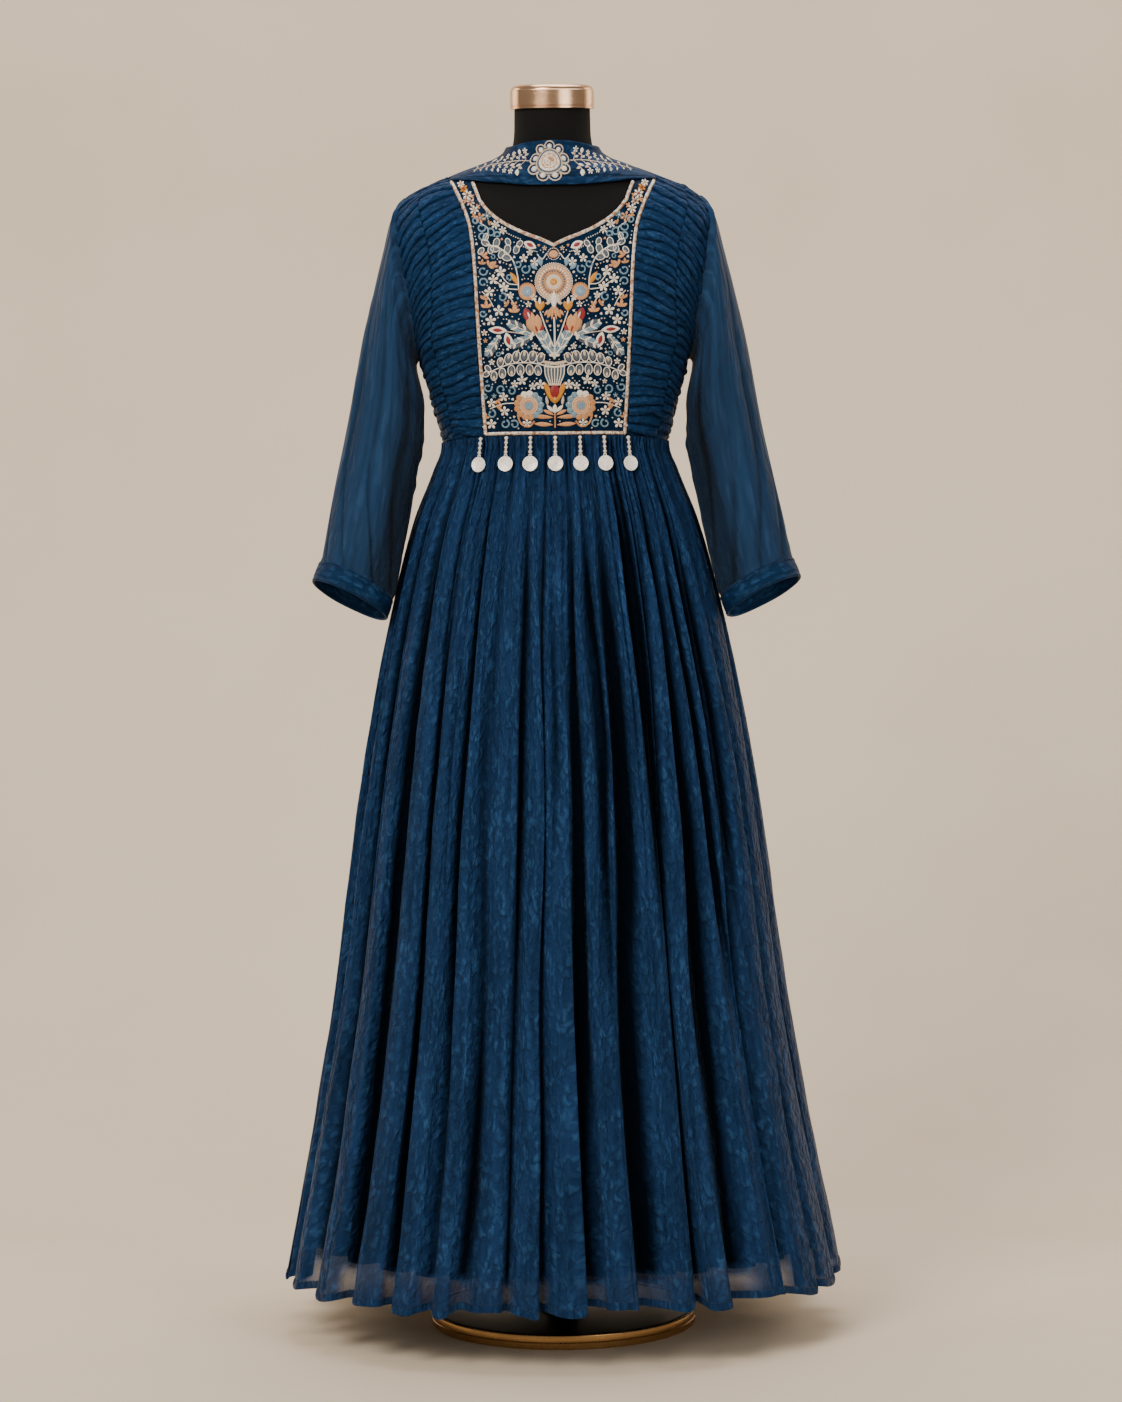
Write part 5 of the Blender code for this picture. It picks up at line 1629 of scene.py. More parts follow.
    def embroider(self) -> None:
        """Lay the mirrored garden of flowers, leaves and scrolls over the ground."""
        work = self.work
        self.rosette()
        self.centre_stem()
        work.mirror = True
        self.tulips()
        self.leaf_sprays()
        self.blooms()
        self.upper_vines()
        self.flower_sides()
        self.straps()
        self.dots()
        work.mirror = False
        self.cup()
        work.mirror = True
        self.fill()
        work.mirror = False

    def rosette(self) -> None:
        """Work the round medallion under the V and the spot over it."""
        work, centre = self.work, np.array([0, 1315])
        work.disc(PEACH, (0, 1349), 5.6, 0.9, 14, 0.85)
        work.string(self.ring((0, 1349), 7.2), 2.3, 0.8)
        work.disc(TAN, centre, 23, 0.5, 40)
        work.string(self.ring(centre, 22.6), 2.6, 1.05)
        work.cord(BEIGE, self.ring(centre, 20.3), 1)
        for radius, count, thread in ((17.4, 30, CREAM), (13.6, 26, SLATE)):
            for index in range(count):
                ray = rays(math.tau * index / count)
                work.leaf(thread, centre + ray * (radius - 1.9), centre + ray * (radius + 1.7),
                          2.6, 1.2)
        work.cord(PEACH, self.ring(centre, 15.3), 0.9)
        work.cord(TAN, self.ring(centre, 11.3), 1)
        work.disc(BEIGE, centre, 10.2, 1.1, 24)
        work.string(self.ring(centre, 8.2), 1.9, 0.62, CREAM)
        work.disc(GOLD, centre, 5.2, 1.9, 16)

    def ring(self, centre: Sequence[float], radius: float) -> np.ndarray:
        """A closed flat circle of points."""
        turns = np.linspace(0, math.tau, max(16, int(radius * 2.4)) + 1)
        return rays(turns) * radius + np.asarray(centre)

    def centre_stem(self) -> None:
        """Work the cream bud under the medallion, its leaves and the upright stem."""
        work = self.work
        work.leaf(CREAM, (0, 1306), (0, 1281), 8, 1.6, 0.8)
        work.mirror = True
        work.leaf(BEIGE, (1.5, 1300), (8.5, 1287), 5.5, 1.3, 1.2)
        work.leaf(TAN, (1, 1287), (8, 1271), 5.6, 1.1, 1.3)
        work.leaf(PEACH, (0.5, 1288), (3, 1268.5), 3.6, 1.3)
        work.leaf(PEACH, (7, 1281.5), (11.8, 1274), 3.4, 0.9)
        work.mirror = False
        work.vine(CREAM, 1.1, (0, 1272), (0.6, 1248), (0, 1221))

    def tulips(self) -> None:
        """Work the side stems with their gold buds, tan tulips and feathered leaves."""
        work = self.work
        work.vine(CREAM, 0.8, (1, 1236), (9, 1256), (17, 1279))
        work.leaf(GOLD, (17, 1279), (12.5, 1292), 6, 1.2, 1.3)
        work.leaf(GOLD, (17, 1279), (22, 1292.5), 6, 1.2, 1.3)
        work.leaf(GOLD, (17, 1278), (17.6, 1289), 5, 1.4, 1.3)
        work.leaf(CREAM, (17.2, 1287), (17.6, 1297), 3.6, 1.1)
        work.vine(CREAM, 0.8, (2, 1228), (14, 1240), (23, 1252))
        work.leaf(RED, (30.5, 1265), (35, 1284), 10.5, 1, 1.2)
        work.leaf(RED, (17.5, 1254), (12.5, 1263), 5.5, 1)
        work.leaf(TAN, (21.5, 1251), (32.5, 1274), 13, 1.3, 1.1)
        work.leaf(PEACH, (20.5, 1251), (20.5, 1276), 11.5, 1.5, 1.1)
        work.leaf(PEACH, (21.5, 1251.5), (27.5, 1279), 8, 1.8)
        work.leaf(RED, (20, 1253), (24, 1264.5), 3.6, 2)
        work.leaf(CREAM, (29, 1270), (32.5, 1279.5), 2.6, 1.8)
        work.feather((1.5, 1223.5), (17.5, 1256), 13)
        work.feather((24, 1250), (56, 1266), 13, SLATE, under=BLUE_GREY)
        work.feather((26, 1249), (53, 1237.5), 12, BLUE_GREY, under=SLATE)
        work.feather((66, 1251), (83, 1225), 12, BLUE_GREY, under=SLATE)
        work.edged(RED, CREAM, (57.5, 1256), (81, 1257.5), 9)
        work.edged(RED, CREAM, (59, 1254), (53.5, 1234), 10.5)
        work.vine(BEIGE, 0.6, (30, 1250), (44, 1253), (60, 1255))
        for x, z in ((58, 1270), (49, 1229), (44, 1232), (39, 1235), (34.5, 1239),
                     (87, 1222), (84, 1234), (62.5, 1233), (65, 1238)):
            work.pearl((x, z), 1.05)

    def leaf_sprays(self) -> None:
        """Work the silver leaf sprays on both sides of the cup."""
        work = self.work
        work.vine(CREAM, 0.7, (11, 1213), (30, 1216.5), (52, 1215.5), (70, 1209.5), (82, 1204))
        for x, z, turn, size in (
                (19, 1216, 1.9, 13), (28, 1217, 1.75, 14), (38, 1217.5, 1.7, 14),
                (48, 1217, 1.75, 14), (58, 1215, 1.8, 13), (67, 1212, 1.7, 11),
                (21, 1213, -1.7, 12), (31, 1214.5, -1.65, 13), (42, 1214.5, -1.6, 13),
                (53, 1213.5, -1.6, 13), (64, 1210, -1.55, 12), (74, 1206, -1.5, 11)):
            work.looped((x, z), turn, size)
            ray = rays(turn) * size
            work.leaf(BEIGE, (x, z) + ray * 0.45, (x, z) + ray, 3.6, 1.3)
        work.looped((80, 1205), -0.5, 9)
        work.looped((79, 1206), 0.9, 9)

    def cup(self) -> None:
        """Work the footed silver cup, the lotus under it and the tan leaf pairs."""
        work = self.work
        outline = np.array([(-7, 1190), (7, 1190), (12, 1205), (12.5, 1212),
                            (-12.5, 1212), (-12, 1205)])
        work.dome(SLATE, outline, 0.7)
        for share in (-1, -0.66, -0.33, 0, 0.33, 0.66, 1):
            work.vine(CREAM, 0.75, (12 * share, 1212), (11.3 * share, 1202), (6.6 * share, 1190))
        work.cord(BEIGE, np.array([(-14, 1217.5), (0, 1215.5), (14, 1217.5)]), 1.7)
        work.cord(CREAM, np.array([(-13, 1212.5), (0, 1211), (13, 1212.5)]), 1.3)
        work.string(np.array([(-12, 1214.6), (12, 1214.6)]), 3, 1.25)
        work.cord(BEIGE, np.array([(-7.5, 1189.5), (7.5, 1189.5)]), 1.2)
        work.mirror = True
        work.leaf(GOLD, (3, 1169), (12.5, 1193), 7, 1.2, 1.2)
        work.leaf(GOLD, (1, 1168), (9, 1184), 8, 1.4, 1.3)
        work.leaf(BEIGE, (10.5, 1176), (9, 1164), 3.8, 1.1, 1.2)
        work.leaf(CREAM, (1, 1155), (10, 1164), 4.6, 1.2, 1.2)
        work.leaf(PEACH, (1, 1152), (14.5, 1158.5), 4.4, 1, 1.2)
        work.leaf(TAN, (2, 1149), (28, 1151), 5.4, 1, 1.1)
        work.leaf(PEACH, (2, 1140), (26, 1141.5), 5.6, 1, 1.1)
        work.mirror = False
        work.leaf(GOLD, (0, 1166), (0, 1180), 13, 1.5)
        work.leaf(RED, (0, 1169.5), (0, 1190.5), 13.5, 2.1, 1.15)
        work.leaf(PEACH, (0, 1168), (0, 1176), 5, 2.5)
        work.leaf(CREAM, (0, 1153), (0, 1165.5), 5.6, 1.4, 1.2)
        work.cord(TAN, np.array([(0, 1155), (0, 1145), (0, 1136.5)]), 1)

    def blooms(self) -> None:
        """Work the two large blooms by the lotus with their small flowers and scrolls."""
        work, centre = self.work, np.array([32, 1164])
        for index in range(13):
            angle = 0.2 + math.tau * index / 13
            ray = rays(angle)
            thread = BLUE_GREY if abs(angle - math.pi) < 1.15 else TAN
            if 0.9 < angle < 2.1:
                thread = CREAM
            work.leaf(thread, centre + ray * 9, centre + ray * 19, 8.6, 1, 1.4)
        work.disc(PEACH, centre, 12, 1.4, 24)
        work.cord(BEIGE, self.ring(centre, 10.4), 0.9)
        work.disc(BLUE_GREY, centre, 8, 1.7, 18)
        work.string(self.ring(centre, 7.8), 2.1, 0.8, CREAM)
        work.blossom(centre, 5.2, CREAM, BEIGE, 6)
        work.vine(TAN, 1.2, (46, 1153), (42, 1142), (32, 1138), (25, 1145))
        for x, z, size in ((34.5, 1142, 6), (40, 1195, 6.5), (17.5, 1189.5, 6.5),
                           (63, 1174.5, 6), (62, 1157, 6.5), (78, 1167, 6),
                           (78.5, 1141, 6.5), (49, 1190.5, 5), (27, 1187.5, 5)):
            work.blossom((x, z), size)
        for x, z, size, turn in ((82, 1186, 4.8, 2.4), (66, 1184, 5.2, 3.9),
                                 (53, 1182, 4.6, 0.8), (78, 1154, 4.8, 1.4),
                                 (61.5, 1141.5, 5, 1.6), (50, 1141, 4.8, 0.4),
                                 (87, 1176, 3.6, 3)):
            work.scroll((x, z), size, turn)
        work.vine(CREAM, 0.6, (50, 1167), (64, 1166), (80, 1160))
        for x, z, turn in ((70, 1160, 2.4), (71, 1171, -2.2), (86, 1148, 1.8)):
            work.sprig(PEACH, (x, z), turn, 7)

    def upper_vines(self) -> None:
        """Work the looped vines, gold buds and small red drops under the neckline."""
        work = self.work
        work.edged(RED, CREAM, (21, 1356.5), (36.5, 1364), 9.5)
        work.string(work.curve((19, 1351.5), (28, 1354), (38, 1359)), 2.5, 0.85)
        work.string(work.curve((39, 1367), (48, 1370.5), (58, 1375.5)), 3, 0.9)
        work.vine(CREAM, 0.7, (8, 1350), (14, 1343), (20, 1349))
        work.vine(CREAM, 0.75, (43, 1306), (44, 1322), (50, 1342), (63, 1355), (82, 1362))
        for x, z, turn, size in ((52, 1344, 0.2, 11), (57, 1350, 1.7, 11), (66, 1356, 0, 11),
                                 (71, 1358, 1.8, 11), (79, 1361, 0.5, 10), (76, 1360, -1.4, 10),
                                 (62, 1354, -1.2, 10), (47, 1350, 1.9, 10), (44, 1358, 2.2, 9),
                                 (54, 1360, 1.2, 9), (84, 1366, 1.8, 9), (86, 1357, -0.9, 9)):
            work.looped((x, z), turn, size)
        for x, z, size in ((23, 1339.5, 6), (36.5, 1344, 5.6), (29, 1351, 4.4)):
            work.blossom((x, z), size)
        work.scroll((34.5, 1331), 5.4, 2, BLUE_GREY)
        work.scroll((43.5, 1337), 4.2, 0.4, BLUE_GREY, hand=-1)
        work.leaf(BLUE_GREY, (15, 1334), (17.5, 1346), 7, 1.1, 1.2)
        work.leaf(BLUE_GREY, (20, 1330), (28, 1338), 6, 1, 1.2)
        centre = np.array([32.5, 1303.5])
        work.disc(TAN, centre, 10.6, 0.8, 22)
        work.string(self.ring(centre, 10.2), 2.4, 0.85, PEACH)
        work.disc(BLUE_GREY, centre, 7.2, 1.3, 16)
        work.blossom(centre, 5, BEIGE, CREAM, 6)
        work.vine(CREAM, 0.7, (26, 1296), (20, 1288), (16, 1283))
        work.leaf(GOLD, (43, 1312), (53.5, 1327.5), 6.4, 1.3)
        work.vine(CREAM, 0.65, (43, 1312), (56, 1314), (66, 1326))
        work.vine(CREAM, 0.65, (44, 1306), (58, 1308), (74, 1318))

    def flower_sides(self) -> None:
        """Work the white flowers, scrolls and sprigs down the yoke's sides."""
        work = self.work
        for x, z, size in ((65, 1328, 7), (74, 1318.5, 6.6), (61, 1309, 6.6),
                           (79, 1303.5, 6.6), (67.5, 1280.5, 7.2), (77.5, 1268.5, 7),
                           (24.5, 1296.5, 4.6), (53, 1299, 4.6)):
            work.blossom((x, z), size)
        for x, z, size, turn, hand in ((86.5, 1329, 5.2, 2.6, 1), (86.5, 1315, 5, 3.6, -1),
                                       (63, 1297, 5, 1, 1), (87, 1277, 4, 2.8, 1),
                                       (55, 1321, 3.6, 5, -1)):
            work.scroll((x, z), size, turn, hand=hand)
        for x, z, turn, size in ((49, 1278, 1.6, 10), (50, 1286, 2.3, 7.5),
                                 (82.5, 1284, 1.5, 10), (86, 1294, 1.9, 8),
                                 (86.5, 1346, 2.3, 9), (80, 1335, 2.5, 9),
                                 (74, 1334, 2, 8), (88, 1337, 1.7, 7),
                                 (56, 1288, 0.6, 7)):
            work.sprig(PEACH if size > 8 else TAN, (x, z), turn, size)
        work.vine(CREAM, 0.55, (74, 1285), (80, 1296), (88, 1304))
        work.vine(CREAM, 0.55, (46, 1282), (52, 1294), (60, 1302))

    def straps(self) -> None:
        """Work the straps up to the shoulders."""
        work = self.work
        for x, z, size, thread, eye in (
                (62, 1378.5, 5.4, CREAM, BEIGE), (71, 1385.5, 6, CREAM, BEIGE),
                (89.5, 1394, 7.2, PEACH, BLUE_GREY), (81, 1396.5, 5, BLUE_GREY, CREAM),
                (97, 1404, 6.2, CREAM, PEACH), (101.5, 1413.5, 5.8, BEIGE, RED),
                (105.5, 1422.5, 6.6, CREAM, RED), (110, 1430.5, 5.6, GOLD, RED),
                (113.5, 1436.5, 5, CREAM, GOLD)):
            work.blossom((x, z), size, thread, eye, 6)
        for x, z, size, turn in ((88, 1382, 5, 2.4), (77, 1376, 4.8, 0.6),
                                 (87, 1371.5, 4.4, 4.4), (95.5, 1391, 3.8, 3),
                                 (68.5, 1373, 3.8, 5.4)):
            work.scroll((x, z), size, turn)
        for x, z, turn in ((80, 1387.5, 2.8), (96, 1397, -0.4), (93.5, 1407.5, 2.6),
                           (107, 1414.5, 0.4), (101, 1420, 2.6)):
            work.sprig(PEACH, (x, z), turn, 5)
        work.vine(CREAM, 0.6, (84, 1366), (80, 1380), (90, 1388))

    def bare(self, x: float, z: float, reach: float) -> bool:
        """Whether a spot lies inside the borders.

        Args:
            x: Its place from the middle, in millimetres.
            z: Its height.
            reach: How far it spreads.

        Returns:
            True if it does.
        """
        margin = self.border_width + reach + 0.8
        if x > self.seams.yoke_half(z / 1000) * 1000 - margin or z < self.foot + margin:
            return False
        neck = self.neck_line
        away = np.min(np.hypot(neck[:, 0] - x, neck[:, 1] - z))
        return away > margin and z < min(self.top - reach, np.interp(x, neck[:, 0], neck[:, 1]))

    def fill(self) -> None:
        """Sow small flowers, curls, leaves and pearls over the ground that is still bare."""
        work, dice = self.work, np.random.default_rng(41)
        worked = np.concatenate([patch[0] for kept in work.parts.values() for patch in kept])
        taken = np.unique(np.round(worked[worked[:, 0] > -6.0]), axis=0)
        threads = (CREAM, CREAM, BLUE_GREY, PEACH, BEIGE, CREAM)
        around = rays(np.linspace(0, math.tau, 9)[:-1]) * 0.8
        for reach, tries in self.sown:
            places = (dice.uniform(3.0, 116.0, tries),
                      dice.uniform(self.foot + 5.0, self.top - 3.0, tries),
                      dice.uniform(0.0, 1.0, tries))
            for x, z, pick in zip(*places):
                away = np.min(np.hypot(taken[:, 0] - x, taken[:, 1] - z))
                if away < reach + 0.9 or not self.bare(x, z, reach):
                    continue
                self.sow(np.array([x, z]), reach, pick, threads[int(pick * 97) % len(threads)])
                taken = np.concatenate([taken, [(x, z)], around * reach + (x, z)])

    def sow(self, spot: np.ndarray, reach: float, pick: float, thread: Floss) -> None:
        """Work one small motif: a flower or curl where there is room, else leaves or a pearl.

        Args:
            spot: Where it goes.
            reach: The room round it.
            pick: The draw, from nought to one, that settles its kind and turn.
            thread: Its floss.
        """
        work, turn = self.work, pick * 29.0
        ray = rays(turn)
        if reach > 3.0 and pick < 0.55:
            work.blossom(spot, reach, thread, PEACH if pick < 0.2 else BEIGE)
        elif reach > 3.0:
            work.scroll(spot, reach * 0.86, turn, BLUE_GREY, 0.75)
        elif reach > 2.0:
            for side in (-1, 1):
                tip = ray * reach + left_of(ray) * reach * 0.6 * side
                work.leaf(thread, spot - ray * reach * 0.8, spot + tip * 0.8, reach * 0.75, 0.9,
                          1.2)
        else:
            work.pearl(spot, 0.85)

    def dots(self) -> None:
        """Sew single pearls into the gaps, well inside the borders."""
        work = self.work
        for x, z in ((12.5, 1351), (9.5, 1289), (27, 1316.5), (28, 1322), (38.5, 1318),
                     (40, 1292), (38, 1286), (43, 1270), (51, 1273), (60, 1289),
                     (72, 1293), (72, 1308), (90, 1262), (88, 1268), (64, 1265),
                     (70, 1241), (73, 1246), (89.5, 1240), (90, 1246), (21, 1229),
                     (12, 1226), (89, 1215), (88.5, 1196), (72.5, 1193), (56, 1195.5),
                     (34, 1198), (22, 1197.5), (56, 1173), (70.5, 1148), (55, 1149),
                     (20, 1175), (17, 1167), (89, 1163), (88.5, 1138), (45, 1136)):
            work.pearl((x, z), 1)


@dataclass
class CollarBand:
    """The crescent band across the front of the neck with its pearl medallion."""

    body: WornBody
    # One half: lower x, lower height, upper x, upper height (None: on the shoulder seam)
    table: tuple[tuple[float | None, ...], ...] = (
        (0.000, 1.4330, 0.000, 1.4885), (0.021, 1.4330, 0.019, 1.4875),
        (0.041, 1.4335, 0.037, 1.4845), (0.051, 1.4345, 0.0485, 1.4815),
        (0.060, 1.4355, None, 1.4790), (0.078, 1.4370, None, 1.4690),
        (0.095, 1.4390, None, 1.4600), (0.112, 1.4400, None, 1.4525),
        (0.1190, 1.4402, None, 1.4490), (0.1240, 1.4404, None, 1.4470),
    )
    across: int = 150
    up: int = 26
    wall: float = 0.9 * MM
    middle_x: float = -4.0        # mm, where the medallion sits
    ground: float = 20.0          # mm, the radius of its dark ground
    petals: float = 19.0          # mm, the radius at which its pearl petals stand
    petal: float = 6.4            # mm, a petal's own radius
    petal_count: int = 9
    plate: float = 12.9           # mm, the radius of its zari plate
    # The turned edges: height in millimetres, share of the way up, width as such a share
    edge_folds: tuple[tuple[float, ...], ...] = ((0.7, 0.10, 0.07), (0.5, 0.96, 0.05))
    cut: tuple[float, float] = (0.325, 0.062)

    def __post_init__(self) -> None:
        """Turn the table into curves over the distance along the band."""
        body, last = self.body, len(self.table) - 1
        index = np.arange(last + 1)
        low_z = [row[1] for row in self.table]
        up_z = [row[3] for row in self.table]
        start = [float(body.angle_at(row[1], row[0])) for row in self.table]
        end = [QUARTER if row[2] is None else float(body.angle_at(row[3], row[2]))
               for row in self.table]
        self.low_z, self.up_z = Profile(index, low_z), Profile(index, up_z)
        self.start, self.end = Profile(index, start), Profile(index, end)
        rise = -0.3 * MM + 2.3 * MM * (1 - index / last) ** 0.7
        self.rise = Profile(index, rise)
        fine = np.linspace(0, last, 400)
        middle = self.point(fine, np.full(400, 0.5), np.zeros(400))
        self.fine, self.length = fine, run_length(middle)

    def point(self, index: np.ndarray, share: np.ndarray, height: np.ndarray) -> np.ndarray:
        """Points over one half of the band.

        Args:
            index: Place along the half, in steps of the table.
            share: Share of the way up the band.
            height: Height over its inner face.

        Returns:
            The points on the wearer's left.
        """
        z = self.low_z(index) + (self.up_z(index) - self.low_z(index)) * share
        angle = self.start(index) + (self.end(index) - self.start(index)) * share
        return self.body.place(z, angle, self.rise(index) + height)

    def spot(self, x: np.ndarray, z: np.ndarray, height: np.ndarray) -> np.ndarray:
        """Points over the band.

        Args:
            x: Lengths along its middle.
            z: Lengths up from its middle.
            height: Heights over its cloth.

        Returns:
            The points.
        """
        index = np.interp(np.abs(x), self.length, self.fine)
        tall = self.up_z(index) - self.low_z(index)
        tall = np.maximum(tall, 0.002) * np.where(index < 4, 1.0, 1.25)
        point = self.point(index, np.clip(0.5 + z / tall, -0.02, 1.02), self.wall + height)
        point[..., 0] *= np.where(x < 0, -1.0, 1.0)
        return point

    def build(self) -> None:
        """Make the band and its needlework."""
        last = len(self.table) - 1
        side = np.linspace(-last, last, self.across + 1)[None, :]
        share = np.linspace(0, 1, self.up + 1)[:, None]
        index, share = np.broadcast_arrays(np.abs(side), share)
        ripple = Wander(71)
        folded = sum(high * MM * np.exp(-((share - at) / wide) ** 2)
                     for high, at, wide in self.edge_folds)
        soft = 0.35 * MM * ripple(side * 1.3, share * 2.2)
        grid = self.point(index, share, self.wall + folded + soft)
        grid[..., 0] *= np.where(side < 0, -1.0, 1.0)
        keep_side(grid, True)
        # Painted shade: a dark line just above the lower turned edge.
        painted_shade_and_sheer = 0.55 * np.exp(-((share - 0.19) / 0.035) ** 2)
        item = grid_object("collar_band_cloth", grid, row=self.up // 2, shade=painted_shade_and_sheer)
        turn_out(item)
        thicken(item, self.wall)
        dress(item, BAND_ORGANZA, DRESS, "outer_cloth", "collar_band")
        self.embroider()

    def embroider(self) -> None:
        """Work the medallion and the two sprays."""
        work = Needlework(self.spot)
        centre = np.array([self.middle_x, 1.0])
        turns = np.linspace(0, math.tau, self.petal_count + 1)[:-1] + QUARTER
        work.disc(SLATE, centre, self.ground, 0.25, 36)
        work.cord(BEIGE, rays(np.linspace(0, math.tau, 61)) * 15.4 + centre, 0.7)
        for ray in rays(turns):
            petal = centre + ray * self.petals
            outline = rays(np.linspace(0, math.tau, 17)) * self.petal + petal
            outline = outline[np.linalg.norm(outline - centre, axis=1) > 16.2]
            order = np.argsort(np.arctan2(*((outline - petal) @ np.array(
                [[ray[0], -ray[1]], [ray[1], ray[0]]])).T[::-1]))
            work.cord(BEIGE, outline[order], 0.85)
            work.disc(GLASS_PEARL, petal, 3.3, 2.2, 12)
        work.disc(BORDER_ZARI, centre, self.plate, 1.0, 32)
        for radius in (9.0, 6.0):
            work.cord(TAN, rays(np.linspace(0, math.tau, 49)) * radius + centre, 0.8)
        for radius, size in ((12.0, 0.8), (10.4, 0.62), (7.4, 0.55)):
            path = rays(np.linspace(0, math.tau, 60)) * radius + centre
            work.string(path, size * 2.3, size, COIN_SILVER)
        work.blossom(centre, 5.0, PEACH, CREAM, 6)
        for side in (-1, 1):
            self.spray(work, side)
        work.pieces("collar")

    def spray(self, work: Needlework, side: int) -> None:
        """Work one spray of drop-shaped leaves that thins out to the shoulder.

        Args:
            work: The band's needlework.
            side: One for the wearer's left, minus one for the right.
        """
        first = 26.0 + side * self.middle_x
        xs = np.linspace(first, 106.0, 9)
        stem = np.stack([side * xs, 1.5 + 2.0 * np.sin((xs - first) / 13.0)], axis=1)
        stem[:, 1] *= np.linspace(1.0, 0.3, len(xs))
        work.cord(BEIGE, stem, 0.6, 0.6)
        for index in range(1, len(xs)):
            reach = np.interp(xs[index], (30.0, 60.0, 104.0), (19.0, 13.0, 4.0))
            x, z = stem[index - 1] + (stem[index] - stem[index - 1]) * 0.5
            for up in (-1, 1):
                tip = np.array([x + side * reach * 0.32, z + up * reach * 0.80])
                knee = np.array([x + side * reach * 0.24, z + up * reach * 0.42])
                work.vine(BEIGE, 0.45, (x, z), knee, tip, steps=4)
                size = reach * 0.40
                if (index + up) % 3 and reach > 8:
                    work.blossom(tip, size * 0.62, CREAM, BEIGE, 5)
                else:
                    work.leaf(CREAM, tip - (0, up * size * 0.6), tip + (0, up * size * 0.6),
                              size * 0.8, 1.3)
                if reach > 8:
                    for turn in (-1, 1):
                        foot = knee - np.array([turn * side * size * 0.15,
                                                up * size * 0.5 * (turn > 0)])
                        work.leaf(CREAM if turn > 0 else BEIGE, foot,
                                  foot + np.array([turn * side * size * 0.85, up * size * 0.35]),
                                  size * 0.42, 1.1)


# ---- Sleeves --------------------------------------------------------------------------


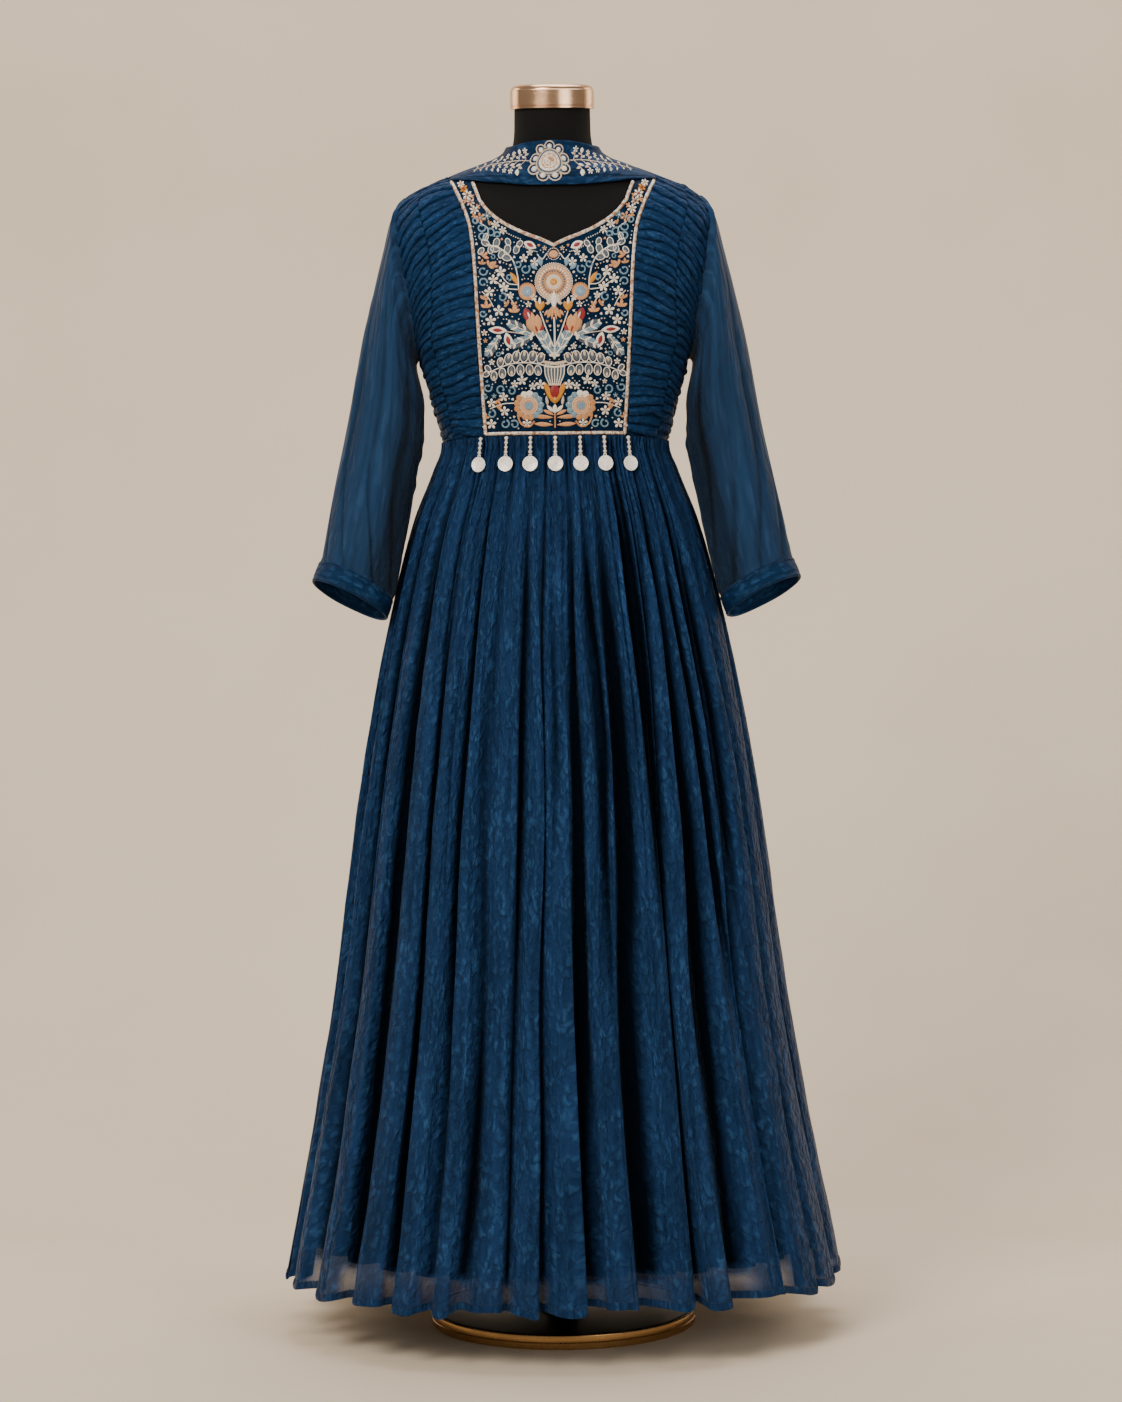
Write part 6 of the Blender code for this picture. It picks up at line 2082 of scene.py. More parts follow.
@dataclass
class Sleeve:
    """A sheer sleeve set into the armhole, with a folded cuff band at its end."""

    body: WornBody
    side: int
    name: str
    # Outer x, outer z, inner x, inner z, half depth, middle y, front lift, outward bulge,
    # squareness, fold depth, lead of the front and back; the last row is the cuff's end
    table: tuple[tuple[float, ...], ...] = (
        (0.2025, 1.3900, 0.1710, 1.2045, 0.0555, -0.002, 0.0000, 0.007, 2.3, 0.000, 0.11),
        (0.2110, 1.3550, 0.1675, 1.1900, 0.0570, -0.006, 0.0020, 0.006, 2.3, 0.010, 0.20),
        (0.2220, 1.3080, 0.1620, 1.1620, 0.0560, -0.012, 0.0040, 0.004, 2.2, 0.025, 0.24),
        (0.2385, 1.2350, 0.1620, 1.1230, 0.0530, -0.020, 0.0060, 0.000, 2.1, 0.035, 0.16),
        (0.2560, 1.1430, 0.1725, 1.0650, 0.0505, -0.030, 0.0090, 0.000, 2.0, 0.040, 0.08),
        (0.2760, 1.0550, 0.1865, 0.9980, 0.0485, -0.039, 0.0120, 0.000, 2.0, 0.035, 0.00),
        (0.2937, 0.9690, 0.2040, 0.9230, 0.0475, -0.047, 0.0145, 0.000, 2.0, 0.020, 0.00),
        (0.3030, 0.9450, 0.2120, 0.9000, 0.0480, -0.051, 0.0145, 0.000, 2.0, 0.020, 0.00),
    )
    seam: float = 0.5 * MM
    head: float = 6.0 * MM        # width of the head's first turn away from the seam
    tucked: float = -1.2 * MM     # where its raw edge lies under the bodice
    folds: int = 5                # shallow swells of the tube
    drapes: int = 8               # folds that hang down its length
    around: int = 180
    along: int = 150
    drape_depth: float = 4.2 * MM
    wave_depth: float = 1.6 * MM
    pucker_depth: float = 1.0 * MM    # round the head's seam
    drag_depth: float = 1.5 * MM      # at the elbow
    crumple_depth: float = 0.38 * MM
    cut: tuple[float, float] = (0.40, 0.46)
    cuff_cut: tuple[float, float] = (0.305, 0.056)
    # The folded cuff's section: share of its depth, height over its middle in millimetres
    cuff_section: tuple[tuple[float, float], ...] = (
        (0.0, 0.5), (0.03, 1.5), (0.10, 1.9), (0.16, 1.5), (0.30, 1.9), (0.50, 2.0),
        (0.70, 1.9), (0.84, 1.5), (0.90, 1.9), (0.97, 1.5), (1.0, 0.4), (0.985, -0.9),
        (0.90, -1.3), (0.5, -1.2), (0.1, -1.2), (0.0, -0.9),
    )

    def turns(self) -> np.ndarray:
        """The places round the tube, from its top over the front."""
        return np.linspace(0, math.tau, self.around + 1)

    def armhole(self, height: float) -> np.ndarray:
        """The sleeve head's edge round the armhole.

        Args:
            height: Its height over the worn surface.

        Returns:
            The edge's points.
        """
        turn = self.turns()
        middle, reach = (SHOULDER_TIP_Z + ARMPIT_Z) / 2, (SHOULDER_TIP_Z - ARMPIT_Z) / 2
        z = middle + reach * np.cos(turn)
        angle = self.body.edge_angle(z)
        angle = np.where(np.sin(turn) < 0, math.pi - angle, angle)
        edge = self.body.place(z, angle, height)
        normal = edge - self.body.place(z, angle, 0.0)
        along = np.roll(edge[:-1], -1, axis=0) - np.roll(edge[:-1], 1, axis=0)
        along = np.concatenate([along, along[:1]])
        return edge + unit(np.cross(normal, along)) * self.seam

    def shoulder(self, ring: np.ndarray) -> np.ndarray:
        """The next ring, where the head has turned away from the seam.

        Args:
            ring: The head's edge.

        Returns:
            The ring's points.
        """
        turn = self.turns()
        up, front = np.cos(turn), np.sin(turn)
        fall = 0.6 * np.maximum(up, 0) + 0.85 * np.maximum(-up, 0)
        step = np.stack([0.65 + 0.15 * up, -0.65 * front, -fall], axis=1)
        return ring + unit(step) * self.head

    def ring(self, row: Sequence[float]) -> np.ndarray:
        """Shape one ring of the tube.

        Args:
            row: The ring's sizes, in the table's order.

        Returns:
            The ring's points.
        """
        out_x, out_z, in_x, in_z, depth, middle_y, lift, bulge, square, fold, lead = row
        centre = np.array([(out_x + in_x) / 2, middle_y, (out_z + in_z) / 2])
        along = np.array([(out_x - in_x) / 2, 0.0, (out_z - in_z) / 2])
        ahead = np.array([0.0, -depth, lift])
        turn = self.turns()
        up = np.cos(turn)
        up = np.clip(up + lead * (1 - up * up), -1, 1)
        front = np.sign(np.sin(turn)) * np.sqrt(1 - up * up)
        up, front = powered(up, 2 / square), powered(front, 2 / square)
        swell = 1 + fold * np.sin(self.folds * turn + 0.6) * np.abs(front)
        ring = centre + (up[:, None] * along + front[:, None] * ahead) * swell[:, None]
        ring[:, 0] += bulge * front * front
        return ring

    def rings(self) -> np.ndarray:
        """Every ring of the table, headed by the armhole's two and the shoulder's."""
        head = [self.armhole(self.tucked), self.armhole(RUCHE_HIGH + SEAM)]
        return np.stack(head + [self.shoulder(head[1])] + [self.ring(row) for row in self.table])

    def creased(self, grid: np.ndarray) -> tuple[np.ndarray, np.ndarray]:
        """Lay long soft folds, drags and small crumples into the tube.

        Args:
            grid: The tube's smooth points.

        Returns:
            The creased points and each one's share of painted shade: deep in a fold, and on the
            tube's inner, lower edge.
        """
        rows = grid.shape[0]
        share = np.linspace(0, 1, rows)[:, None]
        turn = self.turns()[None, :] + 0.0 * share
        normal = unit(np.cross(np.gradient(grid, axis=0), np.gradient(grid, axis=1)))
        away = grid - grid.mean(axis=1, keepdims=True)
        normal *= np.sign((normal * away).sum(axis=2).mean()) or 1.0
        seed = 101 if self.side > 0 else 131
        drift, size, crumple = Wander(seed, 24), Wander(seed + 1, 24), Wander(seed + 2, 60)
        opened = smooth_step(share, 0.05, 0.35)
        phase = turn / math.tau * self.drapes
        phase = phase + 0.70 * (drift(share * 1.7, 0.0) - drift(0.0, 0.0))
        phase = phase + 0.12 * drift(share * 4 + 5, 3.0)
        cell = np.floor(phase)
        part = phase - cell
        strength = 0.36 + 0.64 * size(cell % self.drapes * 1.7, share * 2.1)
        valley = np.abs(np.cos(math.pi * part)) ** 9 * strength
        deep = self.drape_depth * opened * valley
        waves = self.wave_depth * opened * np.sin(turn * 3 + 5 * share + seed)
        puckers = self.pucker_depth * np.sin(turn * 23 + 2 * np.sin(turn * 5))
        puckers = puckers * np.exp(-share / 0.05)
        puckers = puckers * smooth_step(share, 0.0, 0.012) * np.maximum(np.cos(turn), 0)
        elbow = np.exp(-((share - 0.50) / 0.16) ** 2)
        around = turn / math.tau * 12
        folds = crumple(share * 24 + 1.4 * np.sin(turn), around % 60)
        drags = self.drag_depth * elbow * folds * np.abs(np.sin(turn * 0.5))
        fine = self.crumple_depth * crumple(share * 30, around * 2.0 % 60) * opened
        hold = smooth_step(1 - share, 0.0, 0.02)
        seamless = 1 - np.exp(-(np.minimum(turn, math.tau - turn) / 0.10) ** 2)
        move = (waves + puckers + (drags + fine) * seamless - deep * seamless) * hold
        # Painted shade: the drapes' valleys and the tube's inner, lower edge by the body, more so
        # in front, are painted darker.
        inner = smooth_step(-np.cos(turn), 0.12, 0.80) * (0.35 + 0.5 * np.maximum(np.sin(turn), 0))
        painted_shade_and_sheer = np.clip((0.55 * valley * seamless + 0.9 * inner) * opened, 0, 0.95)
        return grid + normal * move[..., None], painted_shade_and_sheer

    def build(self) -> None:
        """Make the sleeve, welded into a tube, and its cuff."""
        rings = self.rings()
        upper = rings[:-1]
        gaps = np.linalg.norm(np.diff(upper, axis=0), axis=2).mean(axis=1)
        places = np.concatenate(([0.0], np.cumsum(gaps)))
        fine = places[-1] * np.linspace(0, 1, self.along + 1)
        grid = np.stack([Profile(places, upper[:, point, axis])(fine)
                         for point in range(self.around + 1) for axis in range(3)], axis=1)
        grid = grid.reshape(self.along + 1, self.around + 1, 3)
        grid, painted_shade_and_sheer = self.creased(grid)
        grid[:, -1] = grid[:, 0]
        grid[..., 0] *= self.side
        item = grid_object("sleeve_%s_cloth" % self.name, grid, row=self.along // 2, weld=True,
                           shade=painted_shade_and_sheer)
        self.orient(item)
        dress(item, SLEEVE_ORGANZA, DRESS, "outer_cloth", "sleeve_" + self.name)
        self.cuff(rings[-2], rings[-1])

    def orient(self, item: bpy.types.Object) -> None:
        """Turn the tube's faces outwards.

        Args:
            item: The tube.
        """
        with edited(item) as work:
            bmesh.ops.recalc_face_normals(work, faces=work.faces)
            centre = sum((vert.co for vert in work.verts), Vector()) / len(work.verts)
            total = sum((face.calc_center_median() - centre).dot(face.normal) * face.calc_area()
                        for face in work.faces)
            if total < 0:
                bmesh.ops.reverse_faces(work, faces=work.faces)

    def cuff(self, top: np.ndarray, end: np.ndarray) -> None:
        """Make the cuff: one band folded double at its lower edge, topstitched.

        Args:
            top: The smooth ring where the sleeve ends.
            end: The ring at the cuff's end.
        """
        down = end - top
        middle = np.concatenate([top, end]).mean(axis=0)
        away = top - middle
        away -= down * ((away * down).sum(axis=1) / (down * down).sum(axis=1))[:, None]
        away = unit(away)
        ripple = Wander(171 + self.side, 24)
        turn = self.turns()
        rows = []
        for share, out in self.cuff_section:
            soft = 0.5 * ripple(turn / math.tau * 9 % 24, share * 1.5)
            soft = soft * (1 - np.exp(-(np.minimum(turn, math.tau - turn) / 0.2) ** 2))
            out_now = (out - 0.6 + soft * (1 if out > 0 else 0.6)) * MM
            rows.append(top + down * share + away * out_now[:, None])
        grid = np.stack(rows)
        grid[:, -1] = grid[:, 0]
        grid[..., 0] *= self.side
        item = grid_object("cuff_%s_band" % self.name, grid, row=5, weld=True)
        self.orient(item)
        dress(item, BAND_ORGANZA, DRESS, "outer_cloth", "cuff_" + self.name)
        stitches = []
        for share in (0.13, 0.87):
            line = top + down * share + away * (1.15 * MM)
            line[:, 0] *= self.side
            stitches.append(line)
        run = stitch_run("cuff_%s_topstitch" % self.name, stitches, 3.2 * MM, 0.34 * MM)


def stitch_run(name: str, lines: Sequence[np.ndarray], pitch: float,
               radius: float) -> bpy.types.Object:
    """Sew a run of small machine stitches along lines over the cloth.

    Args:
        name: The piece's name.
        lines: Dense lines of points.
        pitch: From one stitch to the next.
        radius: Half a stitch's thickness.

    Returns:
        The dressed piece.
    """
    points, faces, lengths, first = [], [], [], 0
    turn = np.linspace(0, math.tau, 6)[:-1]
    for line in lines:
        length = run_length(line)
        for start in np.arange(pitch * 0.3, length[-1] - pitch * 0.8, pitch):
            ends = [np.array([np.interp(along, length, line[:, axis]) for axis in range(3)])
                    for along in (start, start + pitch * 0.72)]
            ray = unit(ends[1] - ends[0])
            side = np.cross(ray, (0.0, 0.0, 1.0))
            if np.linalg.norm(side) < 0.2:
                side = np.cross(ray, (0.0, 1.0, 0.0))
            side = unit(side)
            frame = np.stack([side, np.cross(side, ray)])
            for part, wide in ((0.0, 0.35), (0.2, 1.0), (0.8, 1.0), (1.0, 0.35)):
                ring = ends[0] + (ends[1] - ends[0]) * part + radius * wide * (rays(turn) @ frame)
                points.append(ring)
                lengths.append(np.stack([np.full(5, part * pitch), turn * radius], axis=1))
            for ring in range(3):
                for k in range(5):
                    a, b = first + ring * 5 + k, first + ring * 5 + (k + 1) % 5
                    faces.append((a, b, b + 5, a + 5))
            first += 20
    item = link_mesh(name, np.concatenate(points), faces, np.concatenate(lengths))
    return dress(item, SEAM_THREAD, DRESS, "outer_cloth")


# ---- Skirt ------------------------------------------------------------------------------


@dataclass
class Skirt:
    """The gathered organza skirt with its turned hem, and the shorter lining in it."""

    body: WornBody
    # Over its ridges: height, half width, depth in front, depth behind, flute depth
    rows: tuple[tuple[float, ...], ...] = (
        (0.072, 0.3520, 0.3020, 0.3060, 0.0300), (0.270, 0.3130, 0.2700, 0.2750, 0.0250),
        (0.460, 0.2810, 0.2410, 0.2460, 0.0200), (0.640, 0.2570, 0.2140, 0.2180, 0.0160),
        (0.800, 0.2305, 0.1860, 0.1880, 0.0120), (0.930, 0.2025, 0.1570, 0.1560, 0.0090),
        (1.020, 0.1775, 0.1340, 0.1300, 0.0060), (1.085, 0.1515, 0.1130, 0.1060, 0.0035),
        (1.118, 0.1425, 0.1030, 0.0950, 0.0024),
    )
    # Hem flutes across the front, from -X to +X: width in degrees, share of the full depth
    front_flutes: tuple[tuple[float, float], ...] = (
        (14.0, 0.85), (12.6, 1.00), (14.9, 1.05), (9.5, 0.80), (8.5, 0.75), (8.6, 0.80),
        (6.3, 0.60), (8.3, 0.95), (10.8, 1.05), (11.5, 0.90), (12.3, 1.00), (12.7, 0.90),
        (13.0, 1.00), (13.0, 0.85),
    )
    back_flutes: int = 14
    square: float = 2.2
    gathers: int = 108            # fine pleats drawn up at the waist
    middle_folds: int = 52        # those that run on below the gathers
    around: int = 900
    along: int = 104
    hem_z: float = 0.072
    lining_z: float = 0.107
    hem_width: float = 9.0 * MM
    lining_gaps: tuple[tuple[float, float], ...] = (
        (0.107, 33.0), (0.420, 13.0), (0.700, 6.0), (0.930, 4.0), (1.085, 3.0))
    cut: tuple[float, float] = (2.90, 1.08)
    lining_cut: tuple[float, float] = (2.30, 1.04)
    lining_around: int = 400
    lining_along: int = 70
    pleat_depth: float = 4.3 * MM     # the gathers' at the waist, before they grow
    pucker_depth: float = 0.9 * MM    # what the gathers add right at the seam
    fold_depth: float = 8.5 * MM      # the middle folds'
    crease_depth: float = 0.9 * MM
    # The skirt passes over to the worn surface between these, both under the waist seam
    waist_from: float = 34.0 * MM
    waist_to: float = 4.0 * MM
    hem_sway: float = 3.0 * MM        # slow rise and fall of the hem
    hem_dip: float = 4.5 * MM         # how far it dips on a flute's ridge
    hem_tip: float = 5.0 * MM         # how unevenly the ridges dip
    hem_ripple: float = 1.2 * MM

    def __post_init__(self) -> None:
        """Lay out the flutes, the gathers and the folds between them."""
        self.half, self.front, self.back, self.flute_depth = columns(self.rows)
        front = sum(width for width, _ in self.front_flutes)
        wide = (360.0 - front) / self.back_flutes
        flutes = list(self.front_flutes)
        flutes += [(wide * (1 + 0.16 * math.sin(2.4 * k + 0.5)), 0.90 + 0.12 * math.sin(1.9 * k))
                   for k in range(self.back_flutes)]
        scale = 360.0 / sum(width for width, _ in flutes)
        self.start = math.radians(-front / 2)
        widths = np.array([math.radians(width * scale) for width, _ in flutes])
        self.flute_edges = np.concatenate(([0.0], np.cumsum(widths)))
        self.flute_edges[-1] = math.tau
        self.shares = np.array([share for _, share in flutes])
        dice = np.random.default_rng(7)
        self.gather_edges = self.cells(dice, self.gathers, 0.50)
        self.gather_reach = self.kinds(dice, self.gathers, (0.42, 0.06, 0.13),
                                       (0.74, 0.18, 0.36), (1.0, 0.45, 0.95))
        self.gather_size = dice.uniform(0.75, 1.25, self.gathers)
        self.middle_edges = self.cells(dice, self.middle_folds, 0.55)
        self.middle_reach = dice.uniform(0.40, 1.15, self.middle_folds)
        self.middle_size = self.kinds(dice, self.middle_folds, (0.36, 0.04, 0.28),
                                      (0.70, 0.5, 0.95), (1.0, 1.1, 1.7))
        self.middle_lean = self.leans(dice, self.middle_folds, 0.05, 0.36)
        self.flute_lean = self.leans(dice, len(flutes), 0.16, 0.34)
        self.lining_gap = columns(self.lining_gaps)[0]

    def kinds(self, dice: np.random.Generator, count: int,
              *ranges: tuple[float, float, float]) -> np.ndarray:
        """Draw a value for each fold from one of several ranges.

        Args:
            dice: The seeded source.
            count: How many folds.
            ranges: For each, the draw below which it is taken, its least and its most.

        Returns:
            One value for each fold.
        """
        drawn = dice.uniform(0, 1, count)
        values = [dice.uniform(least, most, count) for _, least, most in ranges]
        return np.select([drawn < limit for limit, _, _ in ranges], values, values[-1])

    def leans(self, dice: np.random.Generator, count: int, least: float,
              most: float) -> np.ndarray:
        """Draw how far each fold tips over, to one side or the other."""
        return dice.uniform(least, most, count) * dice.choice((-1, 1), count)

    def cells(self, dice: np.random.Generator, count: int, spread: float) -> np.ndarray:
        """Uneven cells round the full turn.

        Args:
            dice: The seeded source.
            count: How many.
            spread: How uneven their widths are.

        Returns:
            The cells' edges from nought to a full turn.
        """
        widths = 1 + spread * dice.uniform(-1, 1, count)
        edges = np.concatenate(([0.0], np.cumsum(widths)))
        return edges / edges[-1] * math.tau

    def valley(self, angle: np.ndarray, edges: np.ndarray, sharp: float) -> tuple[
            np.ndarray, np.ndarray, np.ndarray]:
        """How far into the valley between two folds each angle lies.

        Args:
            angle: Angles from the layout's start.
            edges: The folds' edges, where the valleys lie.
            sharp: How narrow the valleys are.

        Returns:
            One in a valley to nought on a ridge, the fold's number, and the nearer valley's.
        """
        angle = np.mod(angle, math.tau)
        fold = np.clip(np.searchsorted(edges, angle, side="right") - 1, 0, len(edges) - 2)
        part = (angle - edges[fold]) / (edges[fold + 1] - edges[fold])
        near = np.where(part < 0.5, fold, (fold + 1) % (len(edges) - 1))
        return np.abs(np.cos(math.pi * part)) ** sharp, fold, near

    def inward(self, z: np.ndarray, angle: np.ndarray) -> tuple[
            np.ndarray, np.ndarray, np.ndarray]:
        """How far the cloth lies inside the ridge surface.

        Args:
            z: Heights.
            angle: Angles from the front.

        Returns:
            The main flutes' depth, the finer folds' depth, and the angle by which the
            folds tip over sideways.
        """
        drop = np.maximum(self.body.waist_height(angle) - z, 0.0)
        drift = Wander(211)
        free = smooth_step(drop, 0.02, 0.3)
        here = angle - self.start
        cell = here / math.tau * 32
        main = here + math.radians(1.1) * free * drift(z * 2.8, cell)
        wave, fold, near = self.valley(main, self.flute_edges, 6.0)
        previous = np.roll(self.shares, 1)[near]
        share = (self.shares[near] + previous) / 2
        uneven = 1 + 0.18 * drift(z * 4.1 + 7, near * 1.7)
        flutes = self.flute_depth(z) * wave * share * uneven
        tipped = self.flute_lean[fold] * (0.75 + 0.45 * drift(z * 2.6 + 19, fold * 2.3))
        lean = tipped * np.diff(self.flute_edges)[fold] * (1 - wave) * smooth_step(drop, 0.12, 0.42)
        moved = drift(z * 6.5 + 3, cell * 2) * smooth_step(drop, 0.03, 0.2)
        fine = here + math.radians(0.45) * moved
        wave, _, near = self.valley(fine, self.gather_edges, 3.0)
        reach, size = self.gather_reach[near], self.gather_size[near]
        lasting = 1 - smooth_step(drop, reach * 0.35, reach)
        growing = 1 + 1.1 * smooth_step(drop, 0.03, 0.45)
        pleats = self.pleat_depth * wave * lasting * size * growing
        pleats = pleats * smooth_step(drop, 0.0, 0.010)
        pleats = pleats + self.pucker_depth * wave * (1 - smooth_step(drop, 0.0, 0.02))
        wave, fold, near = self.valley(
            fine + math.radians(1.0) * free * drift(z * 2.2 + 11, cell), self.middle_edges, 4.4)
        reach, size = self.middle_reach[near], self.middle_size[near]
        lasting = 1 - 0.75 * smooth_step(drop, reach * 0.5, reach)
        folds = self.fold_depth * wave * lasting * size * smooth_step(drop, 0.03, 0.22)
        tipped = self.middle_lean[fold] * (0.8 + 0.4 * drift(z * 4.4 + 23, fold * 1.9))
        lean = lean + (tipped * np.diff(self.middle_edges)[fold] * (1 - wave)
                       * smooth_step(drop, 0.05, 0.25))
        return flutes, pleats + folds, lean

    def crease(self, z: np.ndarray, angle: np.ndarray) -> np.ndarray:
        """The outer cloth's small creases."""
        return self.crease_depth * Wander(223, 96)(z * 26, angle / math.tau * 96)

    def shut(self, z: np.ndarray, angle: np.ndarray) -> np.ndarray:
        """How dark the valleys between the flutes are painted: painted shade, some lighter, some
        near black.
        """
        here = np.mod(angle - self.start, math.tau)
        return 0.90 + 0.32 * Wander(227, 40)(z * 1.9, here / math.tau * 40)

    def point(self, z: np.ndarray, angle: np.ndarray, inward: np.ndarray) -> np.ndarray:
        """Points on the skirt, moved towards its axis.

        Args:
            z: Heights.
            angle: Angles from the front.
            inward: How far to move in.

        Returns:
            The points.
        """
        side, ahead = np.sin(angle), np.cos(angle)
        depth = np.where(ahead >= 0, self.front(z), self.back(z))
        x = self.half(z) * powered(side, 2 / self.square)
        y = -depth * powered(ahead, 2 / self.square)
        share = 1 - inward / np.hypot(x, y)
        return np.stack([x * share, y * share, z + 0.0 * x], axis=-1)

    def hung(self, z: np.ndarray, angle: np.ndarray, inward: np.ndarray,
             top_out: float) -> np.ndarray:
        """Points on the skirt that pass over to the worn surface at the waist seam.

        Args:
            z: Heights.
            angle: Angles from the front.
            inward: How far to move in.
            top_out: Height over the worn surface at the seam.

        Returns:
            The points.
        """
        waist = self.body.waist_height(angle)
        low = self.point(np.minimum(z, self.rows[-1][0]), angle, inward)
        low[..., 2] = z
        high = self.body.place(z, angle, top_out - inward)
        blend = smooth_step(z, waist - self.waist_from, waist - self.waist_to)[..., None]
        return low * (1 - blend) + high * blend

    def angles(self) -> np.ndarray:
        """The angles round the skirt, closer together in front, with its seam behind."""
        turn = np.linspace(-1, 1, self.around + 1)[None, :]
        return math.pi * (0.78 * turn + 0.22 * turn ** 3)

    def hem(self, angle: np.ndarray) -> np.ndarray:
        """The height of the hem, which dips under each fold.

        Args:
            angle: Angles from the front.

        Returns:
            The heights.
        """
        wave, fold, _ = self.valley(angle - self.start, self.flute_edges, 2.0)
        tipped = self.hem_tip * (1 - wave) * np.sin(2.1 * fold + 0.4)
        return (self.hem_z + self.hem_sway * np.sin(3 * angle + 0.7)
                + self.hem_dip * (wave - 0.5) - tipped + self.hem_ripple * np.sin(angle * 17))

    def build(self) -> None:
        """Make the lining, the outer skirt and its hem."""
        self.lining()
        self.outer()

    def outer(self) -> None:
        """Make the outer skirt, the turned hem over its edge and the hem's stitches."""
        angle = self.angles()
        share = np.linspace(0, 1, self.along + 1)[:, None] ** 1.12
        top = self.body.waist_height(angle) - SEAM / 2
        low = self.hem(angle)
        z = top + (low - top) * share
        flutes, fine, lean = self.inward(z, angle + 0.0 * z)
        inward = flutes + fine + self.crease(z, angle) * smooth_step(share, 0.1, 0.4)
        grid = self.hung(z, angle + lean, inward, 1.4 * MM)
        grid[:, -1] = grid[:, 0]
        # Painted shade: the valleys of the flutes and folds are painted dark; below the lining's
        # edge the values turn negative where the single layer hangs clear, and lower the alpha.
        deep = 1.1 * flutes / (self.flute_depth(z) + 4 * MM) + fine / (13 * MM)
        painted_shade_and_sheer = np.clip(2.7 * deep * self.shut(z, angle) - 0.90, 0, 0.97)
        clear = smooth_step(self.lining_z - z, -6 * MM, 6 * MM)
        painted_shade_and_sheer = painted_shade_and_sheer * (1 - clear) - clear * np.clip(2.4 * deep - 0.35, 0, 1)
        item = grid_object("skirt_outer_cloth", grid, row=self.along // 2, weld=True,
                           shade=painted_shade_and_sheer)
        turn_out(item)
        band = self.band(angle, low)
        line = band[0] + (band[0] - band[1]) * 0.25
        stitches = stitch_run("skirt_hem_stitch", [line], 5.0 * MM, 0.40 * MM)
        hem = grid_object("skirt_hem_turning", band, row=0, weld=True)
        turn_out(hem)
        dress(hem, HEM_ORGANZA, DRESS, "outer_cloth")
        dress(item, SKIRT_ORGANZA, DRESS, "outer_cloth", "skirt_outer")

    def band(self, angle: np.ndarray, low: np.ndarray) -> np.ndarray:
        """Lay the turned hem just outside the skirt's last few millimetres.

        Args:
            angle: Angles from the front.
            low: The hem's heights there.

        Returns:
            The band's points.
        """
        share = np.linspace(1, 0, 5)[:, None]
        z = low + self.hem_width * share
        flutes, fine, lean = self.inward(z, angle + 0.0 * z)
        out = (0.9 + 0.5 * np.sin(math.pi * share)) * MM
        grid = self.point(z, angle + lean, flutes + fine + self.crease(z, angle) - out)
        grid[:, -1] = grid[:, 0]
        return grid

    def lining(self) -> None:
        """Make the lining, which hangs inside the outer skirt and ends above its hem."""
        angle = np.linspace(-math.pi, math.pi, self.lining_around + 1)[None, :]
        share = np.linspace(0, 1, self.lining_along + 1)[:, None]
        top = self.body.waist_height(angle) - 1.2 * MM
        z = top + (self.lining_z + 2 * MM * np.sin(5 * angle) - top) * share
        flutes, fine, lean = self.inward(z, angle + 0.0 * z)
        inward = flutes * 0.9 + fine * 0.6 + self.lining_gap(z) * MM + 4 * MM
        below = smooth_step(top - z, 0.0, 0.03)
        grid = self.hung(z, angle + 0.85 * lean, inward * below, -2.6 * MM)
        grid[:, -1] = grid[:, 0]
        item = grid_object("skirt_lining_cloth", grid, row=self.lining_along // 2, weld=True)
        turn_out(item)
        dress(item, LINING_SATIN, DRESS, "lining_cloth", "skirt_lining")


# ---- Coin drops -------------------------------------------------------------------------


